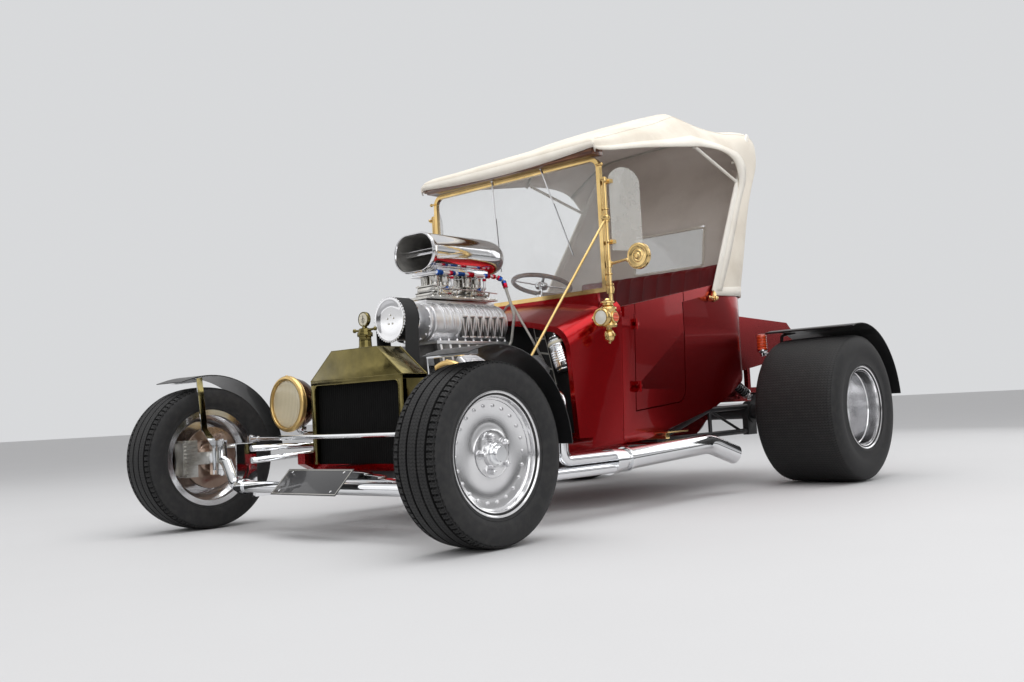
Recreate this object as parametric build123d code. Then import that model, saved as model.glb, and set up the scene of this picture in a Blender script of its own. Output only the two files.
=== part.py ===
from build123d import *
import os
from math import atan, atan2, cos, pi, radians, sin

# Street rod roadster on an open wheel chassis.
# Millimetres. +Z up, nose towards -Y, the car's left side is +X.
# Stations along the car are written from the front axle and every solid is moved back by
# MID_Y when it is saved, so that the origin lies under the middle of the car's length.

# Overall sizes and the gaps between pieces
WHEELBASE = 2540.0
TAIL_OVERHANG = 550.0      # rear axle to the trunk's end
GAP = 0.3                  # between parts that only touch
PIN_FIT = 0.05             # round pins and spindles, on the radius
SWING_GAP = 6.0            # round what opens or turns

# Wheels and tyres: radius, width, centre line from the middle of the car, rim width
FRONT_TYRE_R = 307.5
FRONT_TYRE_W = 200.0
FRONT_TRACK_X = 853.5
FRONT_RIM_W = 163.0
REAR_TYRE_R = 368.0
REAR_TYRE_W = 440.0
REAR_TRACK_X = 857.0
REAR_RIM_W = 416.0
TYRE_CROWN = 9.0
BEAD_R = 190.5             # 15 inch bead seat
FLANGE_R = 207.0
RIM_SHEET = 5.0
RIM_DROP = 22.0
DISC_PLATE = 14.0          # thickness of the wheel's centre
FRONT_DISH = 38.0          # from the outer lip to the wheel's centre disc
REAR_DISH = 200.0
HUB_R = 46.0
HUB_STEP = 8.0
NUT_CIRCLE_R = 60.0
NUT_R = 10.0
TRUNK_END_Y = WHEELBASE + TAIL_OVERHANG
MID_Y = (TRUNK_END_Y - FRONT_TYRE_R) / 2
FRONT_HUB = (FRONT_TRACK_X, 0.0, FRONT_TYRE_R)
REAR_HUB = (REAR_TRACK_X, WHEELBASE, REAR_TYRE_R)

# Chassis
RAIL_X = 330.0
RAIL_W = 50.0
RAIL_BOTTOM = 235.0
RAIL_H = 75.0
RAIL_FRONT_Y = 150.0
RAIL_KICK_Y = WHEELBASE - 510.0
RAIL_KICK_END_Y = WHEELBASE - 210.0
RAIL_KICK_H = 190.0
RAIL_END_Y = WHEELBASE + 220.0
JACK_PADS_Y = (450.0, WHEELBASE - 590.0)
RAIL_TOP = RAIL_BOTTOM + RAIL_H
RAIL_IN = RAIL_X - RAIL_W / 2
RAIL_OUT = RAIL_X + RAIL_W / 2
COIL_X = 396.0
COIL_TOP = (WHEELBASE - 162.0, 556.0)           # y, z of the upper stud
COIL_LOW = (WHEELBASE + 60.0, REAR_TYRE_R + 78.0)
COIL_STUD_R = 8.0
COIL_EYE_R = 15.0
COIL_SPRING_R = 28.0
AXLE_HOUSING_R = 38.0
LADDER_X = 426.0
LADDER_FRONT_Y = WHEELBASE - 900.0
LADDER_TUBE_R = 14.0

# Front end
KINGPIN_X = FRONT_TRACK_X - 163.5
KINGPIN_R = 11.0
KINGPIN_BOSS = 52.0        # half the height of the axle's boss
EAR_T = 20.0
EAR_R = 25.0
KNUCKLE_FACE = 52.0        # kingpin to the outer face of the knuckle's web
SPINDLE_R = 18.0
AXLE_Z = FRONT_TYRE_R
AXLE_DROP_Z = RAIL_BOTTOM - 51.0
AXLE_TUBE_R = 24.0
AXLE_RAKE = 0.638          # how far in the axle's bent ends run for each unit of drop
STEER_ARM_Y = 150.0
TIE_ROD_Z = AXLE_Z + 69.5
TIE_ROD_R = 10.0
BALL_R = 8.0
EYE_R = 17.0
EYE_HALF = 14.0            # half the height of the tie rod's eye
ARM_T = 16.0
ARM_TOP = TIE_ROD_Z - EYE_HALF - 2.0
DISC_X = FRONT_TRACK_X - 85.5
DISC_R = 132.0
DISC_T = 20.0
CALIPER_H = 156.0
CALIPER_FINS = 10
FENDER_GAP = 46.0          # tyre tread to the front fender's sheet
FENDER_T = 4.0
FENDER_W = FRONT_TYRE_W + 14.0
FRONT_FENDER_END = (2.0, 106.0)      # degrees round the wheel, rear end and front end of the arc
FENDER_TAIL = 48.0         # flat lip that runs on in front of the arc
STAY_LEAN_Y = -79.0        # the fender's stay leans forward to here
STAY_HALF = 14.0
ROD_AXLE_X = 528.0
ROD_R = 13.5
ROD_FRAME_X = 372.0
ROD_FRAME_Y = 600.0
LEAF_T = 7.0
LEAF_HALVES = (470.0, 400.0, 320.0, 240.0, 160.0)
LEAF_SAG = 46.0
SPRING_Y = (78.0, 122.0)
SPRING_Z = 208.0
PLATE_AT = (-50.0, 212.0)  # y and z of the number plate's middle
PLATE_LEAN = 46.0
PLATE_SIZE = (404.0, 3.0, 132.0)

# Body
WALL = 22.0
COWL_FRONT_Y = 985.0
COWL_REAR_Y = 1250.0
FIREWALL_Y = 1075.0
BODY_HALF_W = 550.0
BODY_FOOT_HALF_W = BODY_HALF_W - 28.0
BODY_BACK_Y = WHEELBASE - 88.0
BODY_CORNER_R = 250.0
BODY_RAIL_Z = 875.0        # top of the side at the cowl
BODY_RAIL_RISE = 0.178     # the side's top rises towards the tail
BODY_TOP_Z = 1026.0
BAND_H = 46.0
BAND_OUT = 7.0
FLOOR_T = 20.0
FLOOR_BOTTOM = RAIL_TOP + GAP
FLOOR_TOP = FLOOR_BOTTOM + FLOOR_T
TUNNEL_T = 6.0
TUNNEL_R = 128.0
TUNNEL_Z = 365.0
TUNNEL_MOUTH_R = 192.0
SHAFT_TUNNEL_R = 56.0

# Door in the left side
DOOR_FRONT_Y = COWL_REAR_Y + 95.0
DOOR_REAR_Y = DOOR_FRONT_Y + 403.0
DOOR_FRONT_Z = 412.0
DOOR_REAR_Z = 440.0
DOOR_CORNER_R = 62.0
DOOR_GAP = 6.0
HINGE_X = BODY_HALF_W + 12.0         # the door's hinge line stands just outside the skin
HINGES_Z = (520.0, 800.0)
HINGE_R = 7.0
HINGE_PIN_R = 4.0
HINGE_HALF = 24.0

# Windscreen
SCREEN_Y = 1185.0
SCREEN_HALF_W = BODY_HALF_W - 20.0
SCREEN_BASE_Z = 940.0
SCREEN_TOP_Z = 1548.0
SCREEN_TUBE = 20.0
SCREEN_CORNER_R = 55.0
GLASS_T = 6.0
POST_X = SCREEN_HALF_W + 16.0
POST_R = 9.0

# Hood of canvas
TOP_T = 6.0
TOP_HALF_W = BODY_HALF_W + BAND_OUT + GAP + TOP_T
TOP_CORNER_R = BODY_CORNER_R + BAND_OUT + GAP + TOP_T
TOP_BACK_Y = BODY_BACK_Y + BAND_OUT + GAP + TOP_T
TOP_FRONT_Y = SCREEN_Y - 67.0
HEADER_Z = SCREEN_TOP_Z + 64.0
MID_BOW_Y = BODY_BACK_Y - 502.0
MID_BOW_Z = HEADER_Z + 304.0
REAR_BOW_Y = BODY_BACK_Y + 68.0
REAR_BOW_Z = MID_BOW_Z + 10.0
TOP_FOOT_Z = BODY_TOP_Z - 64.0
BOW_R = 9.0
BOW_FOOT_X = TOP_HALF_W + BOW_R + 2.2
BOW_FOOT_Y = BODY_BACK_Y - 467.0
BOW_FOOT_DROP = 70.8       # below the side's top edge
BOW_HEAD = (TOP_HALF_W - 83.3, BODY_BACK_Y + 160.0, REAR_BOW_Z - 26.0)

# Radiator
RADIATOR_Y = 180.0
RADIATOR_D = 130.0
SHELL_HALF_W = 286.0
SHELL_BOTTOM_Z = 262.0
SHELL_SIDE_Z = 606.0
SHELL_PEAK_Z = 722.0
SHELL_PEAK_HALF_W = 140.0
SHELL_RIM = 24.0
SHELL_T = 3.0
MOUTH_TOP_Z = 587.0
HEADLAMP = (500.0, 262.0, FRONT_TYRE_R + 213.5)
HEADLAMP_R = 122.5

# Engine
CRANK_Z = 375.0
BLOCK_FRONT_Y = 470.0
BLOCK_REAR_Y = 1030.0
VALLEY_Z = CRANK_Z + 130.0
DECK_IN = (167.0, CRANK_Z + 219.0)
DECK_OUT = (263.0, CRANK_Z + 123.0)
BELL_R = 165.0
GEARBOX_Z = 352.0
GEARBOX_R = 84.0
GEARBOX_END_Y = 1580.0
SHAFT_R = 30.0
BLOWER_FRONT_Y = 500.0
BLOWER_REAR_Y = 972.0
BLOWER_HALF_W = 122.0
BLOWER_BOTTOM_Z = 738.0
BLOWER_TOP_Z = 930.0
PULLEY_Y = 382.0
PULLEY_Z = 845.0
PULLEY_R = 88.0
CRANK_PULLEY_R = 74.0
BELT_W = 76.0
BELT_T = 6.0
CARB_BASE_Z = BLOWER_TOP_Z + 6 + GAP
CARB_H = 103.0
CARBS_Y = (650.0, 850.0)
CARB_BODY_HALF = 74.0
MANIFOLD_TOP_HALF = 118.0
MANIFOLD_LOW_HALF = 148.0
NECK_HALF = 92.0
FUEL_R = 8.0
FUEL_X = NECK_HALF + FUEL_R + 6
FUEL_Z = CARB_BASE_Z + 106.7
FUEL_NUTS_Y = (577.0, 651.0, 765.0, 867.0)
HOSE_R = 7.0
HOSE_NUT_R = 9.5
CANISTER_R = 46.0
CANISTER = ((405.0, 600.0), (355.0, 760.0))     # x, z of its ends
LOOM = ((189.0, 829.0), (242.0, 824.0), (308.0, 546.0), (240.0, 561.0))
SCOOP_FRONT_Y = 530.0
SCOOP_REAR_Y = 1015.0
SCOOP_Z = CARB_BASE_Z + CARB_H + 96.7
SCOOP_HALF_W = 126.0
SCOOP_H = 172.0
SCOOP_T = 4.0

# Exhaust
PRIMARY_R = 22.5
COLLECTOR_Y = 940.0
PIPE_X = 650.0
PIPE_R = 45.0
PIPE_Z = 214.0
PIPE_END_Y = WHEELBASE - 800.0
PIPE_RISE = 28.0
HEADER_KNEE_Z = 495.0

# Rear fenders and trunk
REAR_FENDER_R = REAR_TYRE_R + 49.0
REAR_FENDER_INNER_X = REAR_TRACK_X - REAR_TYRE_W / 2 - 31.0
REAR_FENDER_OUTER_X = REAR_TRACK_X + REAR_TYRE_W / 2 + 7.0
REAR_FENDER_END = (8.0, 105.0)       # degrees round the wheel
FENDER_STAY_X = 562.0
TRUNK_HALF_W = BODY_HALF_W - 130.0
TRUNK_TOP_Z = 885.0
TRUNK_WALL = 16.0
TRUNK_LOW_Y = BODY_BACK_Y - 44.0
LID_FRONT_Y = BODY_BACK_Y + 78.0
LID_MARGIN = 34.0
LID_HINGE_X = 250.0
LID_HINGE_Z = TRUNK_TOP_Z + 5.0

# Seat and steering
SEAT_FRONT_Y = BODY_BACK_Y - 850.0
SEAT_HALF_W = BODY_HALF_W - 55.0
SEAT_DEPTH = 508.0
RISER_TOP_Z = 440.0
WHEEL_CENTRE = (-275.0, SEAT_FRONT_Y + 88.0, 1092.0)
COLUMN_TILT = 16.0
STEER_WHEEL_R = 152.0

saved = []


def save(name, *shapes):
    """Writes one node, moved so that the origin is under the car's middle."""
    solids = []
    for shape in shapes:
        solids.extend(shape.solids())
    moved = [Pos(0, -MID_Y, 0) * solid for solid in solids]
    whole = moved[0] if len(moved) == 1 else Compound(children=moved)
    export_step(whole, "parts/" + name + ".step")
    saved.append(name)


def both_sides(shape):
    """The left piece and its mirror image."""
    return [shape, mirror(shape, about=Plane.YZ)]


def block(x0, x1, y0, y1, z0, z1):
    """A box between two corners."""
    return Pos((x0 + x1) / 2, (y0 + y1) / 2, (z0 + z1) / 2) * Box(x1 - x0, y1 - y0, z1 - z0)


def rod(start, end, radius):
    """A straight round bar."""
    way = Vector(*end) - Vector(*start)
    return extrude(Plane(origin=start, z_dir=way) * Circle(radius), amount=way.length)


def cone_rod(start, end, radius_start, radius_end):
    """A straight bar that tapers."""
    way = Vector(*end) - Vector(*start)
    place = Plane(origin=start, z_dir=way)
    return place.location * Pos(0, 0, way.length / 2) * Cone(radius_start, radius_end, way.length)


def pipe(points, radius, bend):
    """A round tube along straight runs with bends of one radius."""
    route = FilletPolyline(*points, radius=bend)
    start = Plane(origin=route @ 0, z_dir=route % 0)
    return sweep(start * Circle(radius), path=route)


def side_prism(outline, x0, x1):
    """A closed YZ outline pushed across the car."""
    face = make_face(outline)
    return extrude(Pos(x0, 0, 0) * face, amount=x1 - x0, dir=(1, 0, 0))


def polygon_yz(points, x0, x1):
    return side_prism(Polyline(*[(0, y, z) for y, z in points], close=True), x0, x1)


def polygon_xy(points, z0, z1):
    face = make_face(Polyline(*[(x, y, z0) for x, y in points], close=True))
    return extrude(face, amount=z1 - z0, dir=(0, 0, 1))


def polygon_xz(points, y0, y1):
    face = make_face(Polyline(*[(x, y0, z) for x, z in points], close=True))
    return extrude(face, amount=y1 - y0, dir=(0, 1, 0))


def rounded_u(half, front, back, corner, z):
    """Level outline with a straight front and two round rear corners."""
    rest = corner * (1 - cos(pi / 4))
    return [
        Line((-half, front, z), (half, front, z)),
        Line((half, front, z), (half, back - corner, z)),
        ThreePointArc((half, back - corner, z), (half - rest, back - rest, z), (half - corner, back, z)),
        Line((half - corner, back, z), (-half + corner, back, z)),
        ThreePointArc((-half + corner, back, z), (-half + rest, back - rest, z), (-half, back - corner, z)),
        Line((-half, back - corner, z), (-half, front, z)),
    ]


def hoop(half, low, high, corner, y0, y1):
    """Upright plate with two round top corners."""
    rest = corner * (1 - cos(pi / 4))
    return extrude(make_face([
        Line((-half, y0, low), (half, y0, low)),
        Line((half, y0, low), (half, y0, high - corner)),
        ThreePointArc((half, y0, high - corner), (half - rest, y0, high - rest), (half - corner, y0, high)),
        Line((half - corner, y0, high), (-half + corner, y0, high)),
        ThreePointArc((-half + corner, y0, high), (-half + rest, y0, high - rest), (-half, y0, high - corner)),
        Line((-half, y0, high - corner), (-half, y0, low)),
    ]), amount=y1 - y0, dir=(0, 1, 0))


def on_wheel(radius, angle, hub):
    """A point on a circle round a wheel's axle, with the angle up from the rear."""
    return (0, hub[1] + radius * cos(radians(angle)), hub[2] + radius * sin(radians(angle)))


def wheel_turned(profile, centre):
    """Revolves a closed (offset, radius) outline about a wheel's axle through the centre."""
    x, y, z = centre
    face = make_face(Polyline(*[(x + offset, y, z + radius) for offset, radius in profile], close=True))
    return revolve(face, axis=Axis((x, y, z), (1, 0, 0)))


# Wheels, tyres and brakes
def tyre(centre, radius, width, rim_width):
    """Crown and sidewall arcs on a foot that seats on the rim."""
    half = width / 2
    seat = rim_width / 2 - 9.5
    foot = BEAD_R + GAP
    lip = FLANGE_R + 1.0
    shoulder = (half * 0.80, radius - TYRE_CROWN)
    bulge = (half, BEAD_R + (radius - BEAD_R) * 0.46)
    outline = [
        Line((-seat, foot), (seat, foot)),
        Line((seat, foot), (seat, lip)),
        ThreePointArc((seat, lip), bulge, shoulder),
        ThreePointArc(shoulder, (0, radius), (-shoulder[0], shoulder[1])),
        ThreePointArc((-shoulder[0], shoulder[1]), (-bulge[0], bulge[1]), (-seat, lip)),
        Line((-seat, lip), (-seat, foot)),
    ]
    place = Plane(origin=centre, x_dir=(1, 0, 0), z_dir=(0, -1, 0))
    return revolve(place * make_face(outline), axis=Axis(centre, (1, 0, 0)))


def rim(centre, rim_width, dish, hub_length):
    """One piece wheel: two beads, a dropped well and a centre disc with its nuts and cap."""
    half = rim_width / 2
    well = BEAD_R - RIM_DROP
    inside = BEAD_R - RIM_SHEET
    well_in = well - RIM_SHEET
    disc_out = half - dish
    disc_in = disc_out - DISC_PLATE
    hub_end = disc_out + hub_length
    bore = SPINDLE_R + PIN_FIT
    profile = [
        (half, FLANGE_R), (half - 7, FLANGE_R), (half - 9, BEAD_R), (half - 42, BEAD_R),
        (half - 52, well), (-half + 52, well), (-half + 42, BEAD_R), (-half + 9, BEAD_R),
        (-half + 7, FLANGE_R), (-half, FLANGE_R), (-half, FLANGE_R - 6), (-half + 4, inside),
        (-half + 40, inside), (-half + 50, well_in), (disc_in, well_in), (disc_in, HUB_R),
        (disc_in - HUB_STEP, HUB_R), (disc_in - HUB_STEP, bore), (hub_end, bore),
        (hub_end, HUB_R - 6), (hub_end - HUB_STEP, HUB_R), (disc_out, HUB_R),
        (disc_out, well_in - 4), (half - 50, well_in), (half - 40, inside), (half - 4, inside),
        (half, FLANGE_R - 6),
    ]
    x, y, z = centre
    cap = rod((x + hub_end, y, z), (x + hub_end + 13, y, z), HUB_R / 2 + 2)
    nuts = []
    for turn in range(5):
        angle = radians(90 + 72 * turn)
        nut_y = y + NUT_CIRCLE_R * cos(angle)
        nut_z = z + NUT_CIRCLE_R * sin(angle)
        nuts.append(rod((x + disc_out - 2, nut_y, nut_z), (x + disc_out + 22, nut_y, nut_z), NUT_R))
    return wheel_turned(profile, centre) + cap + nuts


def hub_face(centre_x, rim_width, dish):
    """Where a wheel's hub meets what it is bolted to."""
    return centre_x + rim_width / 2 - dish - DISC_PLATE - HUB_STEP - GAP


def brake_disc():
    """Left front disc with its hat, fixed to the inside of the wheel's hub."""
    outer = hub_face(FRONT_TRACK_X, FRONT_RIM_W, FRONT_DISH)
    bore = SPINDLE_R + PIN_FIT
    profile = [
        (DISC_X, bore), (outer, bore), (outer, 52.0), (DISC_X + DISC_T + 8, 60.0),
        (DISC_X + DISC_T, 62.0), (DISC_X + DISC_T, DISC_R), (DISC_X, DISC_R), (DISC_X, 70.0),
        (DISC_X + 4, 62.0), (DISC_X, 50.0),
    ]
    return wheel_turned(profile, (0.0, 0.0, AXLE_Z))


def fender_stay():
    """Flat bar that leans forward from the knuckle, and over the tyre to the fender's underside."""
    radius = FRONT_TYRE_R + FENDER_GAP
    inner_x = KINGPIN_X + 26
    reach = FRONT_TRACK_X + FENDER_W / 2 - 30
    foot_z = AXLE_Z + 40
    top_z = AXLE_Z + radius
    front = STAY_LEAN_Y - STAY_HALF
    back = STAY_LEAN_Y + STAY_HALF
    upright = polygon_yz([
        (-24, foot_z), (16, foot_z), (back + 17, foot_z + 83), (back, top_z - 22), (front, top_z - 22),
        (front + 17, foot_z + 83),
    ], inner_x, inner_x + 6)
    bar = block(inner_x, reach, front, back, top_z - 28, top_z)
    trim = rod((inner_x - 60, 0, AXLE_Z), (reach + 60, 0, AXLE_Z), radius - GAP)
    return upright + (bar & trim)


def knuckle():
    """Left knuckle: kingpin ears, spindle, steering arm with its stud and the fender's stay."""
    low_z = AXLE_Z - KINGPIN_BOSS - EAR_T
    high_z = AXLE_Z + KINGPIN_BOSS + EAR_T
    whole = rod((KINGPIN_X, 0, low_z - 6), (KINGPIN_X, 0, high_z + 6), KINGPIN_R)
    for z0, z1 in ((low_z, low_z + EAR_T - 1), (high_z - EAR_T + 1, high_z)):
        whole += rod((KINGPIN_X, 0, z0), (KINGPIN_X, 0, z1), EAR_R)
        whole += block(KINGPIN_X, KINGPIN_X + 40, -22, 22, z0, z1)
    whole += block(KINGPIN_X + 30, KINGPIN_X + KNUCKLE_FACE, -26, 26, low_z, high_z)
    spindle_end = FRONT_TRACK_X + FRONT_RIM_W / 2 - FRONT_DISH + 26
    whole += rod((KINGPIN_X + 40, 0, AXLE_Z), (spindle_end, 0, AXLE_Z), SPINDLE_R)
    whole += rod((KINGPIN_X + 40, 0, AXLE_Z), (DISC_X - 2, 0, AXLE_Z), 34.0)
    whole += polygon_xy([
        (KINGPIN_X + 32, -20), (KINGPIN_X + KNUCKLE_FACE, -20), (KINGPIN_X + KNUCKLE_FACE, 30),
        (KINGPIN_X + 14, STEER_ARM_Y), (KINGPIN_X - 14, STEER_ARM_Y), (KINGPIN_X + 32, 10),
    ], ARM_TOP - ARM_T, ARM_TOP)
    pivot = (KINGPIN_X, STEER_ARM_Y)
    whole += rod((*pivot, ARM_TOP - ARM_T), (*pivot, ARM_TOP), EYE_R)
    whole += rod((*pivot, ARM_TOP - ARM_T), (*pivot, TIE_ROD_Z + EYE_HALF + 4), BALL_R)
    return whole + fender_stay()


def caliper():
    """Left caliper ahead of the axle: finned body over the disc, on its bracket."""
    half = CALIPER_H / 2
    inner_x = DISC_X - 24
    outer_x = DISC_X + DISC_T + 24
    jaw = block(inner_x, outer_x, -142, -82, AXLE_Z - half, AXLE_Z + half)
    slot = block(DISC_X - 5, DISC_X + DISC_T + 5, -143, -60, AXLE_Z - half - 1, AXLE_Z + half + 1)
    body = (jaw - slot) + block(inner_x, outer_x, -152, -142, AXLE_Z - half + 10, AXLE_Z + half - 10)
    pitch = CALIPER_H / CALIPER_FINS
    for number in range(CALIPER_FINS):
        low = AXLE_Z - half + pitch * (number + 0.2)
        body += block(inner_x - 12, inner_x, -142, -92, low, low + pitch * 0.5)
    body += block(KINGPIN_X + KNUCKLE_FACE + GAP, inner_x + 8, -100, -20, AXLE_Z - 26, AXLE_Z + 26)
    return body - rod((KINGPIN_X, 0, AXLE_Z), (FRONT_TRACK_X, 0, AXLE_Z), 34.0 + GAP)


def front_fender():
    """Left front fender: an arc over the tyre and a flat lip in front, held by the stay."""
    inner = FRONT_TYRE_R + FENDER_GAP
    outer = inner + FENDER_T
    low, high = FRONT_FENDER_END
    middle = (low + high) / 2
    tip = radians(high)
    ends = []
    for radius in (inner, outer):
        end = on_wheel(radius, high, FRONT_HUB)
        tail = (0, end[1] - sin(tip) * FENDER_TAIL, end[2] + cos(tip) * FENDER_TAIL)
        ends.append((end, tail))
    (inner_end, inner_tail), (outer_end, outer_tail) = ends
    inner_start = on_wheel(inner, low, FRONT_HUB)
    outer_start = on_wheel(outer, low, FRONT_HUB)
    return side_prism([
        ThreePointArc(inner_start, on_wheel(inner, middle, FRONT_HUB), inner_end),
        Line(inner_end, inner_tail),
        Line(inner_tail, outer_tail),
        Line(outer_tail, outer_end),
        ThreePointArc(outer_end, on_wheel(outer, middle, FRONT_HUB), outer_start),
        Line(outer_start, inner_start),
    ], FRONT_TRACK_X - FENDER_W / 2, FRONT_TRACK_X + FENDER_W / 2)


def tie_rod():
    """Bar between the steering arms. Its right eye is bored loose, as the open pivot."""
    whole = rod((-KINGPIN_X + 20, STEER_ARM_Y, TIE_ROD_Z), (KINGPIN_X - 20, STEER_ARM_Y, TIE_ROD_Z), TIE_ROD_R)
    low = TIE_ROD_Z - EYE_HALF
    high = TIE_ROD_Z + EYE_HALF
    for x, reach in ((-KINGPIN_X, 60), (KINGPIN_X, -60)):
        whole += rod((x, STEER_ARM_Y, low), (x, STEER_ARM_Y, high), EYE_R)
        whole += rod((x, STEER_ARM_Y, TIE_ROD_Z), (x + reach, STEER_ARM_Y, TIE_ROD_Z), EYE_HALF - 2)
    for x, bore in ((KINGPIN_X, BALL_R + PIN_FIT), (-KINGPIN_X, BALL_R + 1.0)):
        whole -= rod((x, STEER_ARM_Y, low - 5), (x, STEER_ARM_Y, high + 5), bore)
    return whole


def front_axle():
    """Dropped tube axle with kingpin bosses and the spring's perches."""
    end_x = KINGPIN_X - 34
    end_z = AXLE_Z - 20
    knee_x = end_x - AXLE_RAKE * (end_z - AXLE_DROP_Z)
    whole = pipe([
        (-end_x, 0, end_z), (-knee_x, 0, AXLE_DROP_Z), (knee_x, 0, AXLE_DROP_Z), (end_x, 0, end_z),
    ], AXLE_TUBE_R, 55.0)
    perch_x = LEAF_HALVES[0] - 10
    perch_z = SPRING_Z - LEAF_SAG - GAP
    for side in (1, -1):
        x = side * KINGPIN_X
        whole += rod((x, 0, AXLE_Z - KINGPIN_BOSS + 0.5), (x, 0, AXLE_Z + KINGPIN_BOSS - 0.5), 24.0)
        whole += rod((x, 0, AXLE_Z - 10), (x - side * 44, 0, AXLE_Z - 28), 22.0)
        whole += Pos(side * perch_x, SPRING_Y[1] / 2, perch_z - 9) * Box(24, SPRING_Y[1], 18)
        whole += Pos(side * perch_x, 15, (perch_z - 18 + AXLE_DROP_Z) / 2) * Box(24, 30, AXLE_DROP_Z - perch_z + 18)
    for x in (-KINGPIN_X, KINGPIN_X):
        whole -= rod((x, 0, AXLE_Z - 60), (x, 0, AXLE_Z + 60), KINGPIN_R + PIN_FIT)
    return whole


def radius_rods():
    """Left pair of rods from the axle's bracket back to the rail."""
    low_z = AXLE_DROP_Z + 18
    whole = block(ROD_AXLE_X - 5, ROD_AXLE_X + 5, -34, 62, low_z, low_z + 160)
    whole += block(RAIL_OUT, ROD_FRAME_X + 14, ROD_FRAME_Y - 26, ROD_FRAME_Y + 20, RAIL_TOP - 40, RAIL_TOP + 36)
    for front_z, rear_z in ((low_z + 88, RAIL_TOP + 12), (low_z + 138, RAIL_TOP + 28)):
        whole += rod((ROD_AXLE_X - 4, 40, front_z), (ROD_FRAME_X, ROD_FRAME_Y, rear_z), ROD_R)
    whole += rod((ROD_AXLE_X - 20, 0, AXLE_DROP_Z), (ROD_AXLE_X + 20, 0, AXLE_DROP_Z), AXLE_TUBE_R + 8)
    return whole - rod((ROD_AXLE_X - 30, 0, AXLE_DROP_Z), (ROD_AXLE_X + 30, 0, AXLE_DROP_Z), AXLE_TUBE_R + GAP)


def front_spring():
    """Transverse leaf pack under the front crossmember."""
    y0, y1 = SPRING_Y
    pack = None
    for number, half in enumerate(LEAF_HALVES):
        drop = LEAF_SAG * (half / LEAF_HALVES[0]) ** 2
        low = SPRING_Z + LEAF_T * number
        high = low + LEAF_T
        leaf = extrude(make_face([
            ThreePointArc((-half, y0, low - drop), (0, y0, low), (half, y0, low - drop)),
            Line((half, y0, low - drop), (half, y0, high - drop)),
            ThreePointArc((half, y0, high - drop), (0, y0, high), (-half, y0, high - drop)),
            Line((-half, y0, high - drop), (-half, y0, low - drop)),
        ]), amount=y1 - y0, dir=(0, 1, 0))
        pack = leaf if pack is None else pack + leaf
    return pack


def by_plate(along, behind):
    """A point's y and z from its way up the number plate and behind it."""
    lean = radians(PLATE_LEAN)
    y, z = PLATE_AT
    return (y + along * sin(lean) + behind * cos(lean), z + along * cos(lean) - behind * sin(lean))


def front_brackets():
    """Black bar below the rails, and the number plate's bracket ahead of the axle."""
    y0 = RADIATOR_Y + 35
    bar = block(-RAIL_OUT + 10, RAIL_OUT - 10, y0, y0 + 40, RAIL_BOTTOM - 30, RAIL_BOTTOM - GAP)
    foot = -AXLE_TUBE_R - GAP
    behind = PLATE_SIZE[1] / 2 + GAP
    bracket = polygon_yz([
        by_plate(-30, behind), by_plate(10, behind), (foot, AXLE_DROP_Z + 8), (foot, AXLE_DROP_Z - 8),
    ], -20, 20)
    return bar, bracket


def number_plate():
    """Blank plate that leans back in front of the axle."""
    return Pos(0, *PLATE_AT) * Rot(-PLATE_LEAN, 0, 0) * Box(*PLATE_SIZE)


# Frame, rear axle and rear suspension
def frame_rails():
    """Two box section rails with a kick up behind, their crossmembers, mounts and towers."""
    kick_bottom = RAIL_BOTTOM + RAIL_KICK_H
    kick_top = RAIL_TOP + RAIL_KICK_H
    rail = polygon_yz([
        (RAIL_FRONT_Y, RAIL_BOTTOM + 30), (RAIL_FRONT_Y, RAIL_TOP), (RAIL_KICK_Y, RAIL_TOP),
        (RAIL_KICK_END_Y, kick_top), (RAIL_END_Y, kick_top), (RAIL_END_Y, kick_bottom),
        (RAIL_KICK_END_Y + 18, kick_bottom), (RAIL_KICK_Y + 18, RAIL_BOTTOM), (RAIL_FRONT_Y + 60, RAIL_BOTTOM),
    ], RAIL_IN, RAIL_OUT)
    whole = rail + mirror(rail, about=Plane.YZ)
    spring_top = SPRING_Z + LEAF_T * len(LEAF_HALVES) + GAP
    across = RAIL_IN + 1
    # Crossmembers: front y, rear y, bottom z, top z
    crossmembers = (
        (RADIATOR_Y + 20, RADIATOR_Y + RADIATOR_D - 10, RAIL_BOTTOM, SHELL_BOTTOM_Z - GAP),
        (GEARBOX_END_Y - 80, GEARBOX_END_Y - 20, RAIL_BOTTOM, GEARBOX_Z - GEARBOX_R - GAP),
        (RAIL_END_Y - 60, RAIL_END_Y, kick_bottom, kick_bottom + 50),
    )
    for y0, y1, z0, z1 in crossmembers:
        whole += block(-across, across, y0, y1, z0, z1)
    whole += block(-65, 65, SPRING_Y[0] - 8, RADIATOR_Y + 30, spring_top, SHELL_BOTTOM_Z - GAP)
    coil_y, coil_z = COIL_TOP
    whole += rod((-RAIL_X, coil_y, coil_z), (RAIL_X, coil_y, coil_z), 18.0)
    post_y = RAIL_END_Y - 60
    for side in (1, -1):
        whole += rod((side * RAIL_X, coil_y, coil_z), (side * (COIL_X + 18), coil_y, coil_z), COIL_STUD_R)
        whole += Pos(side * RAIL_X, coil_y, (kick_top - 10 + coil_z + 18) / 2) * Box(24, 52, coil_z + 28 - kick_top)
        whole += Pos(side * RAIL_X, post_y, (kick_top - 10 + trunk_floor(post_y - 15) - GAP) / 2) * Box(
            24, 30, trunk_floor(post_y - 15) - GAP - kick_top + 10)
        whole += Pos(side * 212.3, BLOCK_FRONT_Y + 130, RAIL_BOTTOM + 55) * Box(188, 80, 34)
        for pad_y in JACK_PADS_Y:
            whole += Pos(side * RAIL_X, pad_y, RAIL_BOTTOM - 2) * Box(RAIL_W - 2, 60, 8)
    return whole


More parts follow.
